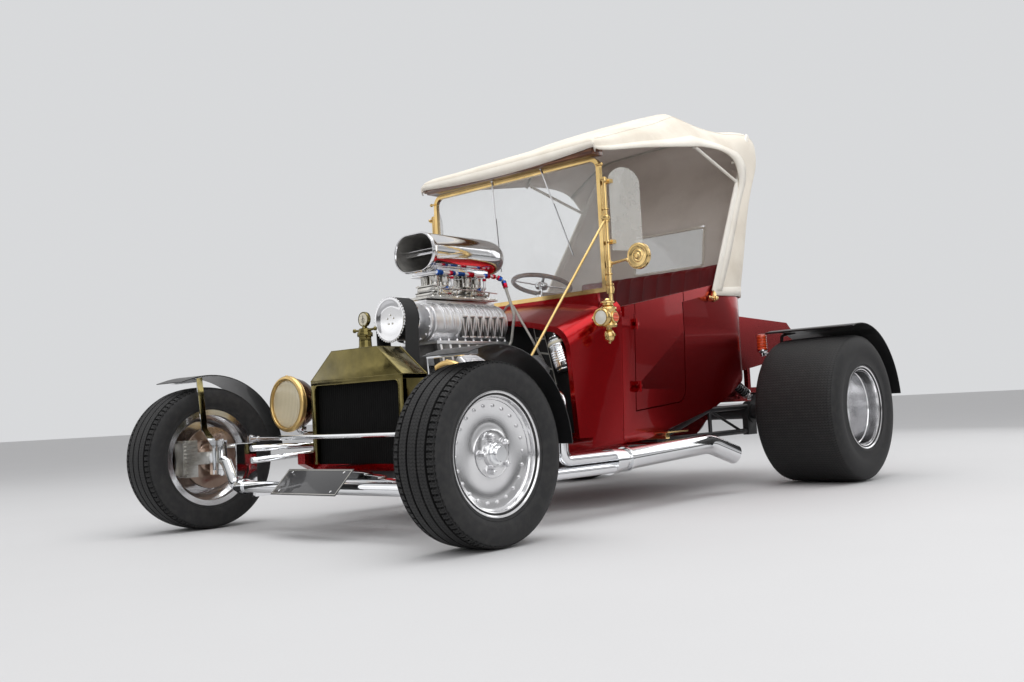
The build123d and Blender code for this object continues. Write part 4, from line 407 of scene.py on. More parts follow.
@dataclass(frozen=True)
class Canvas(Finish):
    """Woven cloth, with the threads of a plain weave and a little soiling."""

    colour: Point = (0.8, 0.74, 0.64)
    soil: Point = (0.62, 0.55, 0.45)
    threads: float = 900.0

    def build(self, shader: Shader) -> bpy.types.Material:
        """Makes the cloth."""
        x, y, z = shader.axes(shader.place)
        warp = ((x + z * 0.37) * self.threads).math("SINE")
        weft = ((y + z) * self.threads).math("SINE")
        weave = (warp * weft) * 0.5 + 0.5
        stain = shader.noise(5.0, 6.0)
        slub = shader.noise(60.0, 4.0)
        tint = shader.mix(shader.ramp(stain, [(0.45, 0.0), (0.85, 1.0)]), self.colour, self.soil)
        tint = shader.mix(slub * 0.18, tint, self.soil)
        height = weave + slub * 1.5
        return shader.finish(
            Base_Color=tint,
            Roughness=slub * 0.1 + 0.82,
            Sheen_Weight=0.15,
            Sheen_Roughness=0.5,
            Normal=shader.bump(height, 0.0005, 0.6, shader.bump(shader.noise(11.0, 3.0), 0.004, 0.5)),
        )


@dataclass(frozen=True)
class Hide(Finish):
    """Upholstery leather with pebbled grain and wear."""

    colour: Point = (0.13, 0.003, 0.005)
    worn: Point = (0.19, 0.01, 0.012)

    def build(self, shader: Shader) -> bpy.types.Material:
        """Makes the leather."""
        grain = shader.node(
            "ShaderNodeTexVoronoi", {"feature": "DISTANCE_TO_EDGE"}, {"Vector": shader.place, "Scale": 420.0}
        )
        pebble = shader.ramp(grain, [(0.0, 0.0), (0.18, 1.0)])
        wear = shader.noise(7.0, 5.0)
        tint = shader.mix(shader.ramp(wear, [(0.45, 0.0), (0.8, 1.0)]), self.colour, self.worn)
        return shader.finish(
            Base_Color=tint,
            Roughness=wear * 0.2 + 0.36,
            Specular_IOR_Level=0.3,
            Normal=shader.bump(pebble, 0.0005, 0.5, shader.bump(shader.noise(24.0, 3.0), 0.002, 0.4)),
        )


@dataclass(frozen=True)
class Timber(Finish):
    """Varnished wood with long grain."""

    colour: Point = (0.2, 0.075, 0.03)
    dark: Point = (0.07, 0.022, 0.01)

    def build(self, shader: Shader) -> bpy.types.Material:
        """Makes the wood."""
        grain = shader.noise(9.0, 8.0, shader.moved((0, 0, 0), (1.0, 9.0, 9.0)))
        tint = shader.mix(shader.ramp(grain, [(0.4, 0.0), (0.6, 1.0)]), self.colour, self.dark)
        return shader.finish(
            Base_Color=tint, Roughness=grain * 0.2 + 0.25, Coat_Weight=0.8, Coat_Roughness=0.05,
            Normal=shader.bump(grain, 0.0003, 0.3),
        )


@dataclass(frozen=True)
class Pane(Finish):
    """Clear glass or clear sheet, seen through, with faint dust."""

    tint: Point = (0.9, 0.95, 0.94)
    clear: float = 0.9
    rough: float = 0.03
    ripple: float = 0.0001
    flutes: float = 0.0
    centre: Point = (0.0, 0.0, 0.0)

    def build(self, shader: Shader) -> bpy.types.Material:
        """Makes the pane as a part-clear gloss."""
        dust = shader.noise(13.0, 5.0)
        height = shader.noise(26.0, 2.0)
        if self.flutes:
            x, _, _ = shader.axes(shader.moved(self.centre))
            height = (x * self.flutes).math("SINE") * 0.5 + 0.5 + height * 0.1
        solid = dust * 0.08 + (1.0 - self.clear)
        return shader.finish(
            Base_Color=shader.mix(dust * 0.2, self.tint, (0.95, 0.95, 0.93)),
            Roughness=dust * 0.05 + self.rough,
            Alpha=solid,
            Coat_Weight=1.0,
            Coat_Roughness=0.02,
            Normal=shader.bump(height, self.ripple, 0.8),
        )


@dataclass(frozen=True)
class Glowing(Finish):
    """Moulded coloured lens with ribs."""

    colour: Point = (0.75, 0.08, 0.02)
    ribs: float = 420.0

    def build(self, shader: Shader) -> bpy.types.Material:
        """Makes the lens."""
        x, y, z = shader.axes(shader.place)
        rib = (z * self.ribs).math("SINE") * 0.5 + 0.5
        return shader.finish(
            Base_Color=shader.mix(rib * 0.5, self.colour, tuple(c * 0.4 for c in self.colour)),
            Roughness=shader.noise(50.0) * 0.1 + 0.1,
            Coat_Weight=1.0,
            Normal=shader.bump(rib, 0.002, 0.8),
        )


@dataclass(frozen=True)
class Core(Finish):
    """Radiator core: upright tubes behind fine level fins, with painted shade between them."""

    centre: Point = (0.0, 0.0, 0.0)

    def build(self, shader: Shader) -> bpy.types.Material:
        """Makes the core."""
        x, y, z = shader.axes(shader.place)
        fins = (z * 1570.0).math("SINE") * 0.5 + 0.5
        tubes = (x * 480.0).math("SINE") * 0.5 + 0.5
        height = fins * 0.6 + tubes
        # Darker between the fins and tubes than on them: painted shade
        tint = shader.mix(height * 0.5, (0.001, 0.001, 0.001), (0.006, 0.006, 0.006))
        return shader.finish(
            Base_Color=tint, Roughness=shader.noise(20.0) * 0.2 + 0.7, Specular_IOR_Level=0.12,
            Normal=shader.bump(height, 0.0015, 0.6),
        )


@dataclass(frozen=True)
class Heated(Finish):
    """Chrome that heat has turned gold near the engine's ports."""

    hot: float = 0.30
    cool: float = 0.50

    def build(self, shader: Shader) -> bpy.types.Material:
        """Makes the chrome."""
        x, _, _ = shader.axes(shader.place)
        smear = shader.noise(18.0, 4.0)
        far = (x.math("ABSOLUTE") + smear * 0.06 - self.hot) * (1.0 / (self.cool - self.hot))
        tint = shader.ramp(far, [
            (0.0, (0.55, 0.34, 0.16)), (0.25, (0.78, 0.6, 0.34)), (0.55, (0.84, 0.76, 0.6)),
            (0.9, (0.84, 0.85, 0.87)),
        ])
        return shader.finish(
            Base_Color=tint, Metallic=1.0, Roughness=smear * 0.08 + 0.05,
            Normal=shader.bump(shader.noise(26.0, 2.0), 0.0003, 0.5),
        )


@dataclass(frozen=True)
class Braid(Finish):
    """Steel wire braided round a hose."""

    colour: Point = (0.62, 0.6, 0.56)
    wires: float = 2300.0

    def build(self, shader: Shader) -> bpy.types.Material:
        """Makes the braid."""
        x, y, z = shader.axes(shader.place)
        left = ((z + x + y * 0.6) * self.wires).math("SINE")
        right = ((z - x - y * 0.6) * self.wires).math("SINE")
        weave = left * right * 0.5 + 0.5
        return shader.finish(
            Base_Color=shader.mix(weave, tuple(c * 0.35 for c in self.colour), self.colour),
            Metallic=1.0,
            Roughness=shader.noise(60.0) * 0.1 + 0.28,
            Normal=shader.bump(weave, 0.0008, 0.8),
        )


CHROME = Bright("chrome_plate", "chrome", (0.86, 0.87, 0.88), (0.8, 0.81, 0.83), (0.02, 0.07))
POLISHED = Bright(
    "polished_aluminium", "polished_aluminium", (0.83, 0.83, 0.84), (0.7, 0.7, 0.72), (0.04, 0.13), 0.0004,
)
BRUSHED = Bright("turned_steel", "disc_steel", (0.5, 0.39, 0.32), (0.36, 0.25, 0.19), (0.2, 0.35), 0.0002, 0.5)
BRASS = Bright("polished_brass", "brass", (0.78, 0.56, 0.25), (0.6, 0.42, 0.17), (0.08, 0.2), 0.0003)
OLD_BRASS = Bright("radiator_brass", "brass", (0.2, 0.165, 0.06), (0.11, 0.092, 0.036), (0.07, 0.2), 0.0022)
LAMP_BRASS = Bright("lamp_brass", "lamp_brass", (0.85, 0.66, 0.32), (0.7, 0.5, 0.22), (0.08, 0.2), 0.0003)
SCOOP = Bright("scoop_polish", "scoop_aluminium", (0.85, 0.85, 0.86), (0.78, 0.78, 0.8), (0.03, 0.08), 0.0003)
RED = Lacquer("candy_lacquer", "candy_red", (0.34, 0.0, 0.003), (0.2, 0.0, 0.001), 0.9, 0.2, 0.3)
BLACK = Lacquer("black_lacquer", "gloss_black", (0.01, 0.01, 0.011), (0.004, 0.004, 0.004), 0.0, 0.34, 0.22)
SATIN = Lacquer("satin_black", "frame_black", (0.022, 0.022, 0.024), (0.01, 0.01, 0.01), 0.0, 0.45, 0.2)
DASH = Lacquer("dash_black", "dash_black", (0.03, 0.028, 0.028), (0.015, 0.014, 0.014), 0.0, 0.5, 0.1)
PLATE = Lacquer("plate_paint", "plate_blank", (0.03, 0.03, 0.032), (0.02, 0.02, 0.022), 0.0, 0.35, 0.5)
IRON = Casting("painted_castings", "engine_paint", (0.045, 0.045, 0.048), (0.02, 0.02, 0.02), 0.2, 0.4)
CAST = Casting("cast_metal", "carb_metal", (0.6, 0.59, 0.56), (0.3, 0.28, 0.24), 1.0, 0.25)
BELT = Rubber("belt_rubber", "belt_rubber")
CLOTH = Canvas("cream_canvas", "canvas")
LINING = Canvas("hood_lining", "canvas", (0.8, 0.74, 0.68), (0.66, 0.6, 0.54))
BINDING = Canvas("canvas_binding", "canvas", (0.84, 0.8, 0.72), (0.7, 0.64, 0.55), 1300.0)
SLEEVE = Canvas("bow_sleeve", "bow_canvas", (0.86, 0.83, 0.76), (0.72, 0.67, 0.58))
LEATHER = Hide("red_leather", "upholstery")
WOOD = Timber("varnished_wood", "wood_rim")
GLASS = Pane("screen_glass", "clear_glass", (0.75, 0.8, 0.8), 0.94)
ETCHED = Pane("wing_glass", "clear_glass", (0.66, 0.66, 0.62), 0.68, 0.2)
VINYL = Pane("window_vinyl", "clear_vinyl", (0.6, 0.6, 0.56), 0.6, 0.08, 0.0015)
LENS = Pane("fluted_lens", "lens_glass", (0.86, 0.76, 0.52), 0.35, 0.06, 0.002, 640.0)
TAIL = Glowing("tail_lamp_lens", "tail_lens")
CORE = Core("radiator_core", "core_black")
CARB = Bright("carburettor_plate", "carb_metal", (0.7, 0.69, 0.66), (0.5, 0.48, 0.44), (0.08, 0.26), 0.0005, 0.4)
CAST_DARK = Casting("dark_casting", "polished_aluminium", (0.16, 0.155, 0.15), (0.05, 0.05, 0.05), 1.0, 0.35)
SCOOP_IN = Casting("scoop_inside", "scoop_aluminium", (0.34, 0.33, 0.31), (0.16, 0.155, 0.15), 0.6, 0.5)
RED_NUT = Bright("red_anodised", "polished_aluminium", (0.62, 0.02, 0.05), (0.42, 0.01, 0.03), (0.12, 0.25))
BLUE_NUT = Bright("blue_anodised", "polished_aluminium", (0.03, 0.13, 0.5), (0.02, 0.08, 0.34), (0.12, 0.25))
BRAIDED = Braid("steel_braid", "polished_aluminium")
LEADS = Lacquer("orange_leads", "engine_paint", (0.75, 0.28, 0.03), (0.5, 0.16, 0.02), 0.0, 0.4, 0.2)
HEADER = Heated("header_chrome", "chrome")
CARD = Lacquer("dial_card", "brass", (0.7, 0.66, 0.52), (0.58, 0.52, 0.38), 0.0, 0.5, 0.6)
BUCKET = Bright("lamp_bucket", "lamp_brass", (0.16, 0.08, 0.045), (0.07, 0.035, 0.02), (0.06, 0.18), 0.0004)
REFLECTOR = Bright("lamp_reflector", "lamp_brass", (0.95, 0.86, 0.66), (0.9, 0.78, 0.55), (0.05, 0.12), 0.0002)
LAMP_GLASS = Pane("lamp_glass", "brass", (0.85, 0.83, 0.75), 0.25, 0.06, 0.0004)
BORDER = Lacquer("plate_border", "plate_blank", (0.45, 0.44, 0.4), (0.32, 0.31, 0.28), 0.2, 0.35)


# Mesh tools


class Form:
    """A growing mesh: each call adds one closed shape, made by bmesh's operators."""

    def __init__(self) -> None:
        """Starts with nothing."""
        self.bm = bmesh.new()
        self.index = 0

    def paint(self, index: int) -> "Form":
        """Gives what comes next this finish, by its place in the piece's list."""
        self.index = index
        return self

    def take(self, part: bmesh.types.BMesh, merge: float = 0.00002, out: bool = True) -> "Form":
        """Adds a finished shape and frees it.

        Args:
            part: The shape.
            merge: Distance at which its doubles are merged.
            out: Whether its normals are turned outwards.

        Returns:
            This form.
        """
        if merge:
            bmesh.ops.remove_doubles(part, verts=part.verts, dist=merge)
        if out:
            bmesh.ops.recalc_face_normals(part, faces=part.faces)
        for face in part.faces:
            face.material_index = self.index
        mesh = bpy.data.meshes.new("part")
        part.to_mesh(mesh)
        part.free()
        self.bm.from_mesh(mesh)
        bpy.data.meshes.remove(mesh)
        return self

    def box(self, low: Place, high: Place, bevel: float = 0.0, turn: Optional[Matrix] = None) -> "Form":
        """A box between two corners.

        Args:
            low: One corner.
            high: The corner across from it.
            bevel: Width of its rounded edges.
            turn: A matrix that turns it about its own centre.

        Returns:
            This form.
        """
        low, high = Vector(map(min, low, high)), Vector(map(max, low, high))
        part = bmesh.new()
        bmesh.ops.create_cube(part, size=1.0)
        bmesh.ops.scale(part, vec=high - low, verts=part.verts)
        if bevel:
            bmesh.ops.bevel(
                part, geom=part.edges[:], offset=bevel, affect="EDGES", segments=2, profile=0.5, material=-1
            )
        if turn:
            bmesh.ops.transform(part, matrix=turn.to_4x4(), verts=part.verts)
        bmesh.ops.translate(part, vec=(low + high) / 2, verts=part.verts)
        return self.take(part)

    def turned(self, outline: Sequence[Place], start: Place, along: Place, steps: int = 32) -> "Form":
        """A shape turned about a line, as on a lathe.

        Args:
            outline: Radius and distance along the line, for each point.
            start: Where the line starts.
            along: The line's direction.
            steps: Faces round it.

        Returns:
            This form.
        """
        part = bmesh.new()
        line = [part.verts.new((radius, 0.0, height)) for radius, height in outline]
        edges = [part.edges.new(pair) for pair in zip(line, line[1:])]
        bmesh.ops.spin(
            part, geom=line + edges, cent=(0, 0, 0), axis=(0, 0, 1), angle=math.tau, steps=steps, use_merge=True
        )
        turn = Vector((0, 0, 1)).rotation_difference(Vector(along).normalized()).to_matrix().to_4x4()
        bmesh.ops.transform(part, matrix=Matrix.Translation(Vector(start)) @ turn, verts=part.verts)
        return self.take(part)

    def rod(
        self, start: Place, end: Place, radius: float, far: Optional[float] = None,
        sides: int = 20, bevel: float = 0.0,
    ) -> "Form":
        """A round rod or cone between two points.

        Args:
            start: One end's centre.
            end: The other end's centre.
            radius: Radius at the start.
            far: Radius at the end, the same if left out.
            sides: Faces round it.
            bevel: Width of its chamfered ends.

        Returns:
            This form.
        """
        start, end = Vector(start), Vector(end)
        far = radius if far is None else far
        length = (end - start).length
        edge = min(bevel, radius * 0.45, far * 0.45, length * 0.45)
        outline = [(0.0, 0.0), (radius, 0.0), (far, length), (0.0, length)]
        if edge:
            outline = [
                (0.0, 0.0), (radius - edge, 0.0), (radius, edge), (far, length - edge), (far - edge, length),
                (0.0, length),
            ]
        return self.turned(outline, start, end - start, sides)

    def ball(self, centre: Place, radius: float, squash: Place = (1, 1, 1), rings: int = 16) -> "Form":
        """A ball, or an egg if it is squashed."""
        part = bmesh.new()
        bmesh.ops.create_uvsphere(part, u_segments=rings * 2, v_segments=rings, radius=radius)
        bmesh.ops.scale(part, vec=squash, verts=part.verts)
        bmesh.ops.translate(part, vec=centre, verts=part.verts)
        return self.take(part)

    def torus(
        self, centre: Place, axis: Place, big: float, small: float, steps: int = 48, sides: int = 12
    ) -> "Form":
        """A ring of round section about an axis."""
        outline = [
            (big + small * math.cos(math.tau * i / sides), small * math.sin(math.tau * i / sides))
            for i in range(sides + 1)
        ]
        return self.turned(outline, centre, axis, steps)

    def nut(self, centre: Place, along: Place, radius: float, height: float, sides: int = 6) -> "Form":
        """A hexagon nut or bolt head with a chamfered top."""
        outline = [(0.0, 0.0), (radius, 0.0), (radius, height * 0.8), (radius * 0.82, height), (0.0, height)]
        return self.turned(outline, centre, along, sides)

    def nuts(self, centre: Vector, spread: float, count: int, radius: float, height: float) -> "Form":
        """A circle of nuts that look ahead."""
        for turn in (math.tau * step / count for step in range(count)):
            self.nut(centre + Vector((math.sin(turn), 0, math.cos(turn))) * spread, AHEAD, radius, height)
        return self

    def tube(
        self, points: Sequence[Place], radius: float, smooth: bool = True, sides: int = 6, closed: bool = False
    ) -> "Form":
        """A round tube along points, bent in smooth curves or straight between them.

        Args:
            points: The points that it follows.
            radius: Its radius.
            smooth: Whether it runs as a smooth curve near the points.
            sides: Fineness of its round section.
            closed: Whether it runs back to its first point.

        Returns:
            This form.
        """
        curve = bpy.data.curves.new("route", "CURVE")
        curve.dimensions = "3D"
        curve.bevel_depth = radius
        curve.bevel_resolution = sides
        curve.resolution_u = 6
        curve.use_fill_caps = True
        spline = curve.splines.new("NURBS" if smooth else "POLY")
        spline.points.add(len(points) - 1)
        for spot, point in zip(spline.points, points):
            spot.co = (*point, 1.0)
        spline.use_cyclic_u = closed
        if smooth:
            spline.order_u = 3
            spline.use_endpoint_u = not closed
        holder = bpy.data.objects.new("route", curve)
        bpy.context.scene.collection.objects.link(holder)
        bpy.context.view_layer.update()
        mesh = bpy.data.meshes.new_from_object(holder.evaluated_get(bpy.context.evaluated_depsgraph_get()))
        part = bmesh.new()
        part.from_mesh(mesh)
        bpy.data.objects.remove(holder)
        bpy.data.curves.remove(curve)
        bpy.data.meshes.remove(mesh)
        return self.take(part, 0.000001)

    def plate(
        self, outline: Sequence[Place], depth: Place, bevel: float = 0.0, segments: int = 2
    ) -> "Form":
        """A flat outline pushed to a thickness.

        Args:
            outline: Its corners, all in one plane.
            depth: The push, as a vector.
            bevel: Width of its rounded edges.
            segments: Steps in each rounded edge.

        Returns:
            This form.
        """
        part = bmesh.new()
        face = part.faces.new([part.verts.new(point) for point in outline])
        pushed = bmesh.ops.extrude_face_region(part, geom=[face])
        moved = [item for item in pushed["geom"] if isinstance(item, bmesh.types.BMVert)]
        bmesh.ops.translate(part, vec=depth, verts=moved)
        bmesh.ops.recalc_face_normals(part, faces=part.faces)
        if bevel:
            bmesh.ops.bevel(
                part, geom=part.edges[:], offset=bevel, affect="EDGES", segments=segments, profile=0.5,
                material=-1, clamp_overlap=True,
            )
        return self.take(part)

    def beam(
        self, start: Place, end: Place, wide: float, thick: float, across: Place,
        bevel: float = 0.0,
    ) -> "Form":
        """A flat bar between two points.

        Args:
            start: One end's centre.
            end: The other end's centre.
            wide: Its width.
            thick: Its thickness, measured along across.
            across: Roughly the direction that its flat face looks in.
            bevel: Width of its rounded edges.

        Returns:
            This form.
        """
        start, end = Vector(start), Vector(end)
        way = (end - start).normalized()
        side = way.cross(Vector(across)).normalized()
        turn = Matrix((side, side.cross(way), way)).transposed()
        middle = (start + end) / 2
        size = Vector((wide, thick, (end - start).length)) / 2
        return self.box(middle - size, middle + size, bevel, turn)

    def pipe(
        self, points: Sequence[Place], radius: float, bend: float, sides: int = 6
    ) -> "Form":
        """A tube along straight runs with round bends.

        Args:
            points: The corners of its route.
            radius: Its radius.
            bend: The bends' radius.
            sides: Fineness of its round section.

        Returns:
            This form.
        """
        points = [Vector(point) for point in points]
        route = [points[0]]
        for before, corner, after in zip(points, points[1:], points[2:]):
            one, two = (before - corner).normalized(), (after - corner).normalized()
            half = one.angle(two) / 2
            reach = min(bend / math.tan(half), (before - corner).length * 0.49, (after - corner).length * 0.49)
            size = reach * math.tan(half)
            centre = corner + (one + two).normalized() * (size / math.sin(half))
            start, end = corner + one * reach - centre, corner + two * reach - centre
            sweep = start.angle(end)
            route += [
                centre + (start * math.sin(sweep * (1 - i / 8)) + end * math.sin(sweep * i / 8)) / math.sin(sweep)
                for i in range(9)
            ]
        return self.tube([*route, points[-1]], radius, False, sides)

    def copied(self, turns: Sequence[Matrix]) -> "Form":
        """Adds a copy of everything so far under each matrix."""
        mesh = bpy.data.meshes.new("copy")
        self.bm.to_mesh(mesh)
        for turn in turns:
            part = bmesh.new()
            part.from_mesh(mesh)
            bmesh.ops.transform(part, matrix=turn, verts=part.verts)
            if turn.determinant() < 0:
                bmesh.ops.reverse_faces(part, faces=part.faces)
            again = bpy.data.meshes.new("again")
            part.to_mesh(again)
            part.free()
            self.bm.from_mesh(again)
            bpy.data.meshes.remove(again)
        bpy.data.meshes.remove(mesh)
        return self

    def mirrored(self) -> "Form":
        """Adds the other side's copy of everything so far."""
        return self.copied([Matrix.Scale(-1, 4, ACROSS)])

    def piece(
        self, name: str, finishes: Union[Finish, Sequence[Finish]], body: str, replaces: Sequence[str] = (),
        angle: float = 35.0,
    ) -> bpy.types.Object:
        """Ends the form as a piece that rides on a body.

        Args:
            name: The piece's name.
            finishes: Its finish, or finishes in the order that paint numbers them.
            body: The body that it rides on.
            replaces: The model's nodes that it stands for.
            angle: Edges sharper than this many degrees stay sharp.

        Returns:
            The piece.
        """
        finishes = [finishes] if isinstance(finishes, Finish) else list(finishes)
        mesh = bpy.data.meshes.new(name)
        self.bm.to_mesh(mesh)
        self.bm.free()
        return publish(mesh, name, finishes, body, replaces, angle)


def publish(
    mesh: bpy.types.Mesh, name: str, finishes: Sequence[Finish], body: str, replaces: Sequence[str], angle: float
) -> bpy.types.Object:
    """Puts a mesh in the scene as a finished piece.

    Args:
        mesh: Its mesh, in place.
        name: Its name.
        finishes: Its finishes.
        body: The body that it rides on.
        replaces: The model's nodes that it stands for.
        angle: Edges sharper than this many degrees stay sharp.

    Returns:
        The piece.
    """
    mesh.shade_smooth()
    mesh.set_sharp_from_angle(angle=math.radians(angle))
    piece = bpy.data.objects.new(name, mesh)
    bpy.context.scene.collection.objects.link(piece)
    for finish in finishes:
        mesh.materials.append(finish.material())
    if replaces:
        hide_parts(*replaces)
    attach(piece, body)
    LOG.info("%s: %d faces on %s", name, len(mesh.polygons), body)
    return piece


@dataclass
class Carried:
    """A model node shown by a merged and smoothed copy of its own mesh."""

    node: str
    finish: Finish
    body: str = "chassis"
    bevel: float = 0.0015
    angle: float = 28.0
    other: Optional[Finish] = None
    where: Optional[Callable[[Vector], bool]] = None
    level: float = 0.0

    def build(self) -> bpy.types.Object:
        """Makes the copy, with its edges slightly rounded.

        Returns:
            The piece.
        """
        part = bmesh.new()
        part.from_mesh(bpy.data.objects[self.node].data)
        bmesh.ops.remove_doubles(part, verts=part.verts, dist=MERGE)
        bmesh.ops.dissolve_limit(
            part, angle_limit=math.radians(0.5), verts=part.verts, edges=part.edges, delimit=set()
        )
        if self.level:
            everything = [*part.verts, *part.edges, *part.faces]
            bmesh.ops.bisect_plane(
                part, geom=everything, dist=MERGE, plane_co=(0, 0, self.level), plane_no=(0, 0, 1)
            )
        finishes = [self.finish]
        if self.other and self.where:
            finishes.append(self.other)
            for face in part.faces:
                face.material_index = int(self.where(face.calc_center_median()))
        mesh = bpy.data.meshes.new(self.node + "_skin")
        part.to_mesh(mesh)
        part.free()
        piece = publish(mesh, self.node + "_skin", finishes, self.body, [self.node], self.angle)
        if self.bevel:
            edge = piece.modifiers.new("edges", "BEVEL")
            edge.width = self.bevel
            edge.segments = 2
            edge.limit_method = "ANGLE"
            edge.angle_limit = math.radians(40)
            edge.use_clamp_overlap = True
            edge.harden_normals = True
        return piece


# Wheels


@dataclass
class Wheel:
    """One road wheel: its tyre with tread, its rim, its centre and what holds it."""

    side: Side
    end: str
    x: float
    y: float
    radius: float
    width: float
    rim: float
    dish: float
    bolts: int = 22
    nuts: int = 5
    grooves: tuple[float, ...] = ()
    blocks: int = 84
    bead: float = 0.1905
    flange: float = 0.207

    @property
    def hub(self) -> Vector:
        """The wheel's middle."""
        return at(self.x * self.side.value, self.y, self.radius)

    @property
    def out(self) -> Vector:
        """The axle's direction, outwards."""
        return Vector((self.side.value, 0, 0))

    @property
    def body(self) -> str:
        """The body that the wheel rides on."""
        return f"{self.end}_wheel_{self.side.word}"

    def tyre_outline(self) -> list[tuple[float, float]]:
        """The tyre's section, from the inner bead over the tread to the outer bead.

        Returns:
            Radius and distance along the axle for each point.
        """
        half, rim = self.width / 2, self.rim / 2
        wall = self.radius - self.flange
        flank = [
            (self.bead + 0.001, rim - 0.016), (self.bead + 0.001, rim - 0.004), (self.flange + 0.002, rim + 0.0005),
            (self.flange + 0.008, rim + 0.004), (self.flange + 0.0085, rim + 0.0062),
            (self.flange + 0.012, rim + 0.0055), (self.flange + wall * 0.28, half * 0.965),
            (self.flange + wall * 0.33, half * 0.972), (self.flange + wall * 0.42, half * 0.988),
            (self.flange + wall * 0.52, half), (self.flange + wall * 0.62, half * 0.997),
            (self.flange + wall * 0.72, half * 0.985), (self.flange + wall * 0.8, half * 0.965),
            (self.flange + wall * 0.87, half * 0.935), (self.radius - wall * 0.07, half * 0.895),
            (self.radius - 0.0085, half * 0.86),
        ]
        deep, gap, keep = 0.007, 0.0045, 0.004
        grooves = [middle * half for middle in self.grooves]
        crown = []
        for place in grooves:
            crown += [
                (0.0, place - gap), (deep, place - gap + 0.001), (deep, place + gap - 0.001), (0.0, place + gap),
            ]
        for share in (-0.93, -0.72, -0.45, -0.2, 0.0, 0.2, 0.45, 0.72, 0.93):
            place = half * 0.86 * share
            if not any(abs(place - groove) < gap + keep for groove in grooves):
                crown.append((0.0, place))
        tread = [
            (self.radius - depth - 0.008 * abs(place / half) ** 2.5, place)
            for depth, place in sorted(crown, key=lambda item: item[1])
        ]
        back = [(radius, -place) for radius, place in flank]
        return back + tread + flank[::-1]

    def tyre(self) -> None:
        """Builds the tyre, with its shoulder blocks cut in."""
        part = bmesh.new()
        line = [part.verts.new((place, 0.0, radius)) for radius, place in self.tyre_outline()]
        edges = [part.edges.new(pair) for pair in zip(line, line[1:])]
        steps = self.blocks * 3
        bmesh.ops.spin(
            part, geom=line + edges, cent=(0, 0, 0), axis=(1, 0, 0), angle=math.tau, steps=steps, use_merge=True
        )
        bmesh.ops.recalc_face_normals(part, faces=part.faces)
        half = self.width / 2
        slots = []
        for face in part.faces:
            middle = face.calc_center_median()
            turn = math.atan2(middle.y, middle.z) / math.tau * steps
            across = abs(middle.x) / half
            shoulder = 0.66 < across < 0.93 and math.hypot(middle.y, middle.z) > self.radius - 0.02
            if shoulder and int(turn % steps) % 3 == 0:
                slots.append(face)
        if slots and self.grooves:
            bmesh.ops.inset_individual(part, faces=slots, thickness=0.0004, depth=-0.0045)
        bmesh.ops.translate(part, vec=self.hub, verts=part.verts)
        rubber = Rubber(
            f"{self.end}_tyre_rubber_{self.side.word}", "tyre", centre=tuple(self.hub),
            tread_from=self.radius - 0.014, blocks=float(self.blocks * 2),
            ribs=60.0 if self.grooves else 64.0,
        )
        name = f"{self.end}_tyre_{self.side.word}"
        Form().take(part).piece(name + "_tread", rubber, self.body, [name], 40)

    def disc(self) -> None:
        """Builds the rim's barrel, its centre with a ring of bolts, the nuts and the cap."""
        half = self.rim / 2
        face = half - self.dish
        start = self.hub
        form = Form()
        barrel = [
            (self.bead - 0.006, -half), (self.flange, -half), (self.flange, -half + 0.004),
            (self.bead, -half + 0.006), (self.bead, -half + 0.03), (self.bead - 0.022, -half + 0.045),
            (self.bead - 0.022, face - 0.03), (self.bead - 0.012, face - 0.02), (self.bead - 0.012, face + 0.012),
            (self.bead, half - 0.006) if self.dish > 0.05 else (self.bead, face + 0.02),
            (self.bead, half - 0.006), (self.flange, half - 0.004), (self.flange + 0.0008, half - 0.0015),
            (self.flange - 0.001, half + 0.001), (self.flange - 0.004, half + 0.0012),
            (self.flange - 0.008, half - 0.002), (self.bead - 0.003, half - 0.008), (self.bead - 0.005, half - 0.016),
        ]
        if self.dish > 0.05:
            barrel += [
                (self.bead - 0.006, half - 0.03), (self.bead - 0.009, half - 0.045),
                (self.bead - 0.0095, half - 0.06),
                (self.bead - 0.013, half - 0.064), (self.bead - 0.015, face + 0.03),
                (self.bead - 0.017, face + 0.014),
            ]
        else:
            steps = ((0.0065, 0.014), (0.011, 0.012), (0.013, 0.007))
            barrel += [(self.bead - deep, face + along) for deep, along in steps]
        barrel += [
            (self.bead - 0.022, face + 0.004), (self.bead - 0.03, face + 0.002), (self.bead - 0.034, face + 0.0005),
            (0.105, face), (0.086, face + 0.002), (0.078, face + 0.006), (0.0765, face + 0.011),
            (0.048, face + 0.012),
            (0.046, face + 0.013), (0.0455, face + 0.03), (0.043, face + 0.033), (0.0, face + 0.033),
        ]
        inner = [
            (0.0, face - 0.014), (0.11, face - 0.014), (self.bead - 0.034, face - 0.016),
            (self.bead - 0.028, face - 0.03), (self.bead - 0.028, -half + 0.042), (self.bead - 0.006, -half + 0.028),
            (self.bead - 0.006, -half),
        ]
        form.turned(inner + barrel, start, self.out, 128)
        for step in range(self.bolts):
            spin = Matrix.Rotation(math.tau * (step + 0.5) / self.bolts, 3, "X")
            spot = start + spin @ Vector((0, 0, self.bead - 0.0315)) + self.out * (face + 0.0012)
            form.rod(spot, spot + self.out * 0.0012, 0.0065, sides=12, bevel=0.0003)
            form.nut(spot + self.out * 0.001, self.out, 0.0052, 0.0045, 10)
        for step in range(self.nuts):
            spin = Matrix.Rotation(math.tau * (step + 0.25) / self.nuts, 3, "X")
            spot = start + spin @ Vector((0, 0, 0.06)) + self.out * (face + 0.011)
            form.rod(spot, spot + self.out * 0.003, 0.0155, sides=20, bevel=0.0008)
            form.nut(spot + self.out * 0.002, self.out, 0.0108, 0.024)
            form.ball(spot + self.out * 0.026, 0.0082, (0.7, 1, 1), 6)
        cap = start + self.out * (face + 0.033)
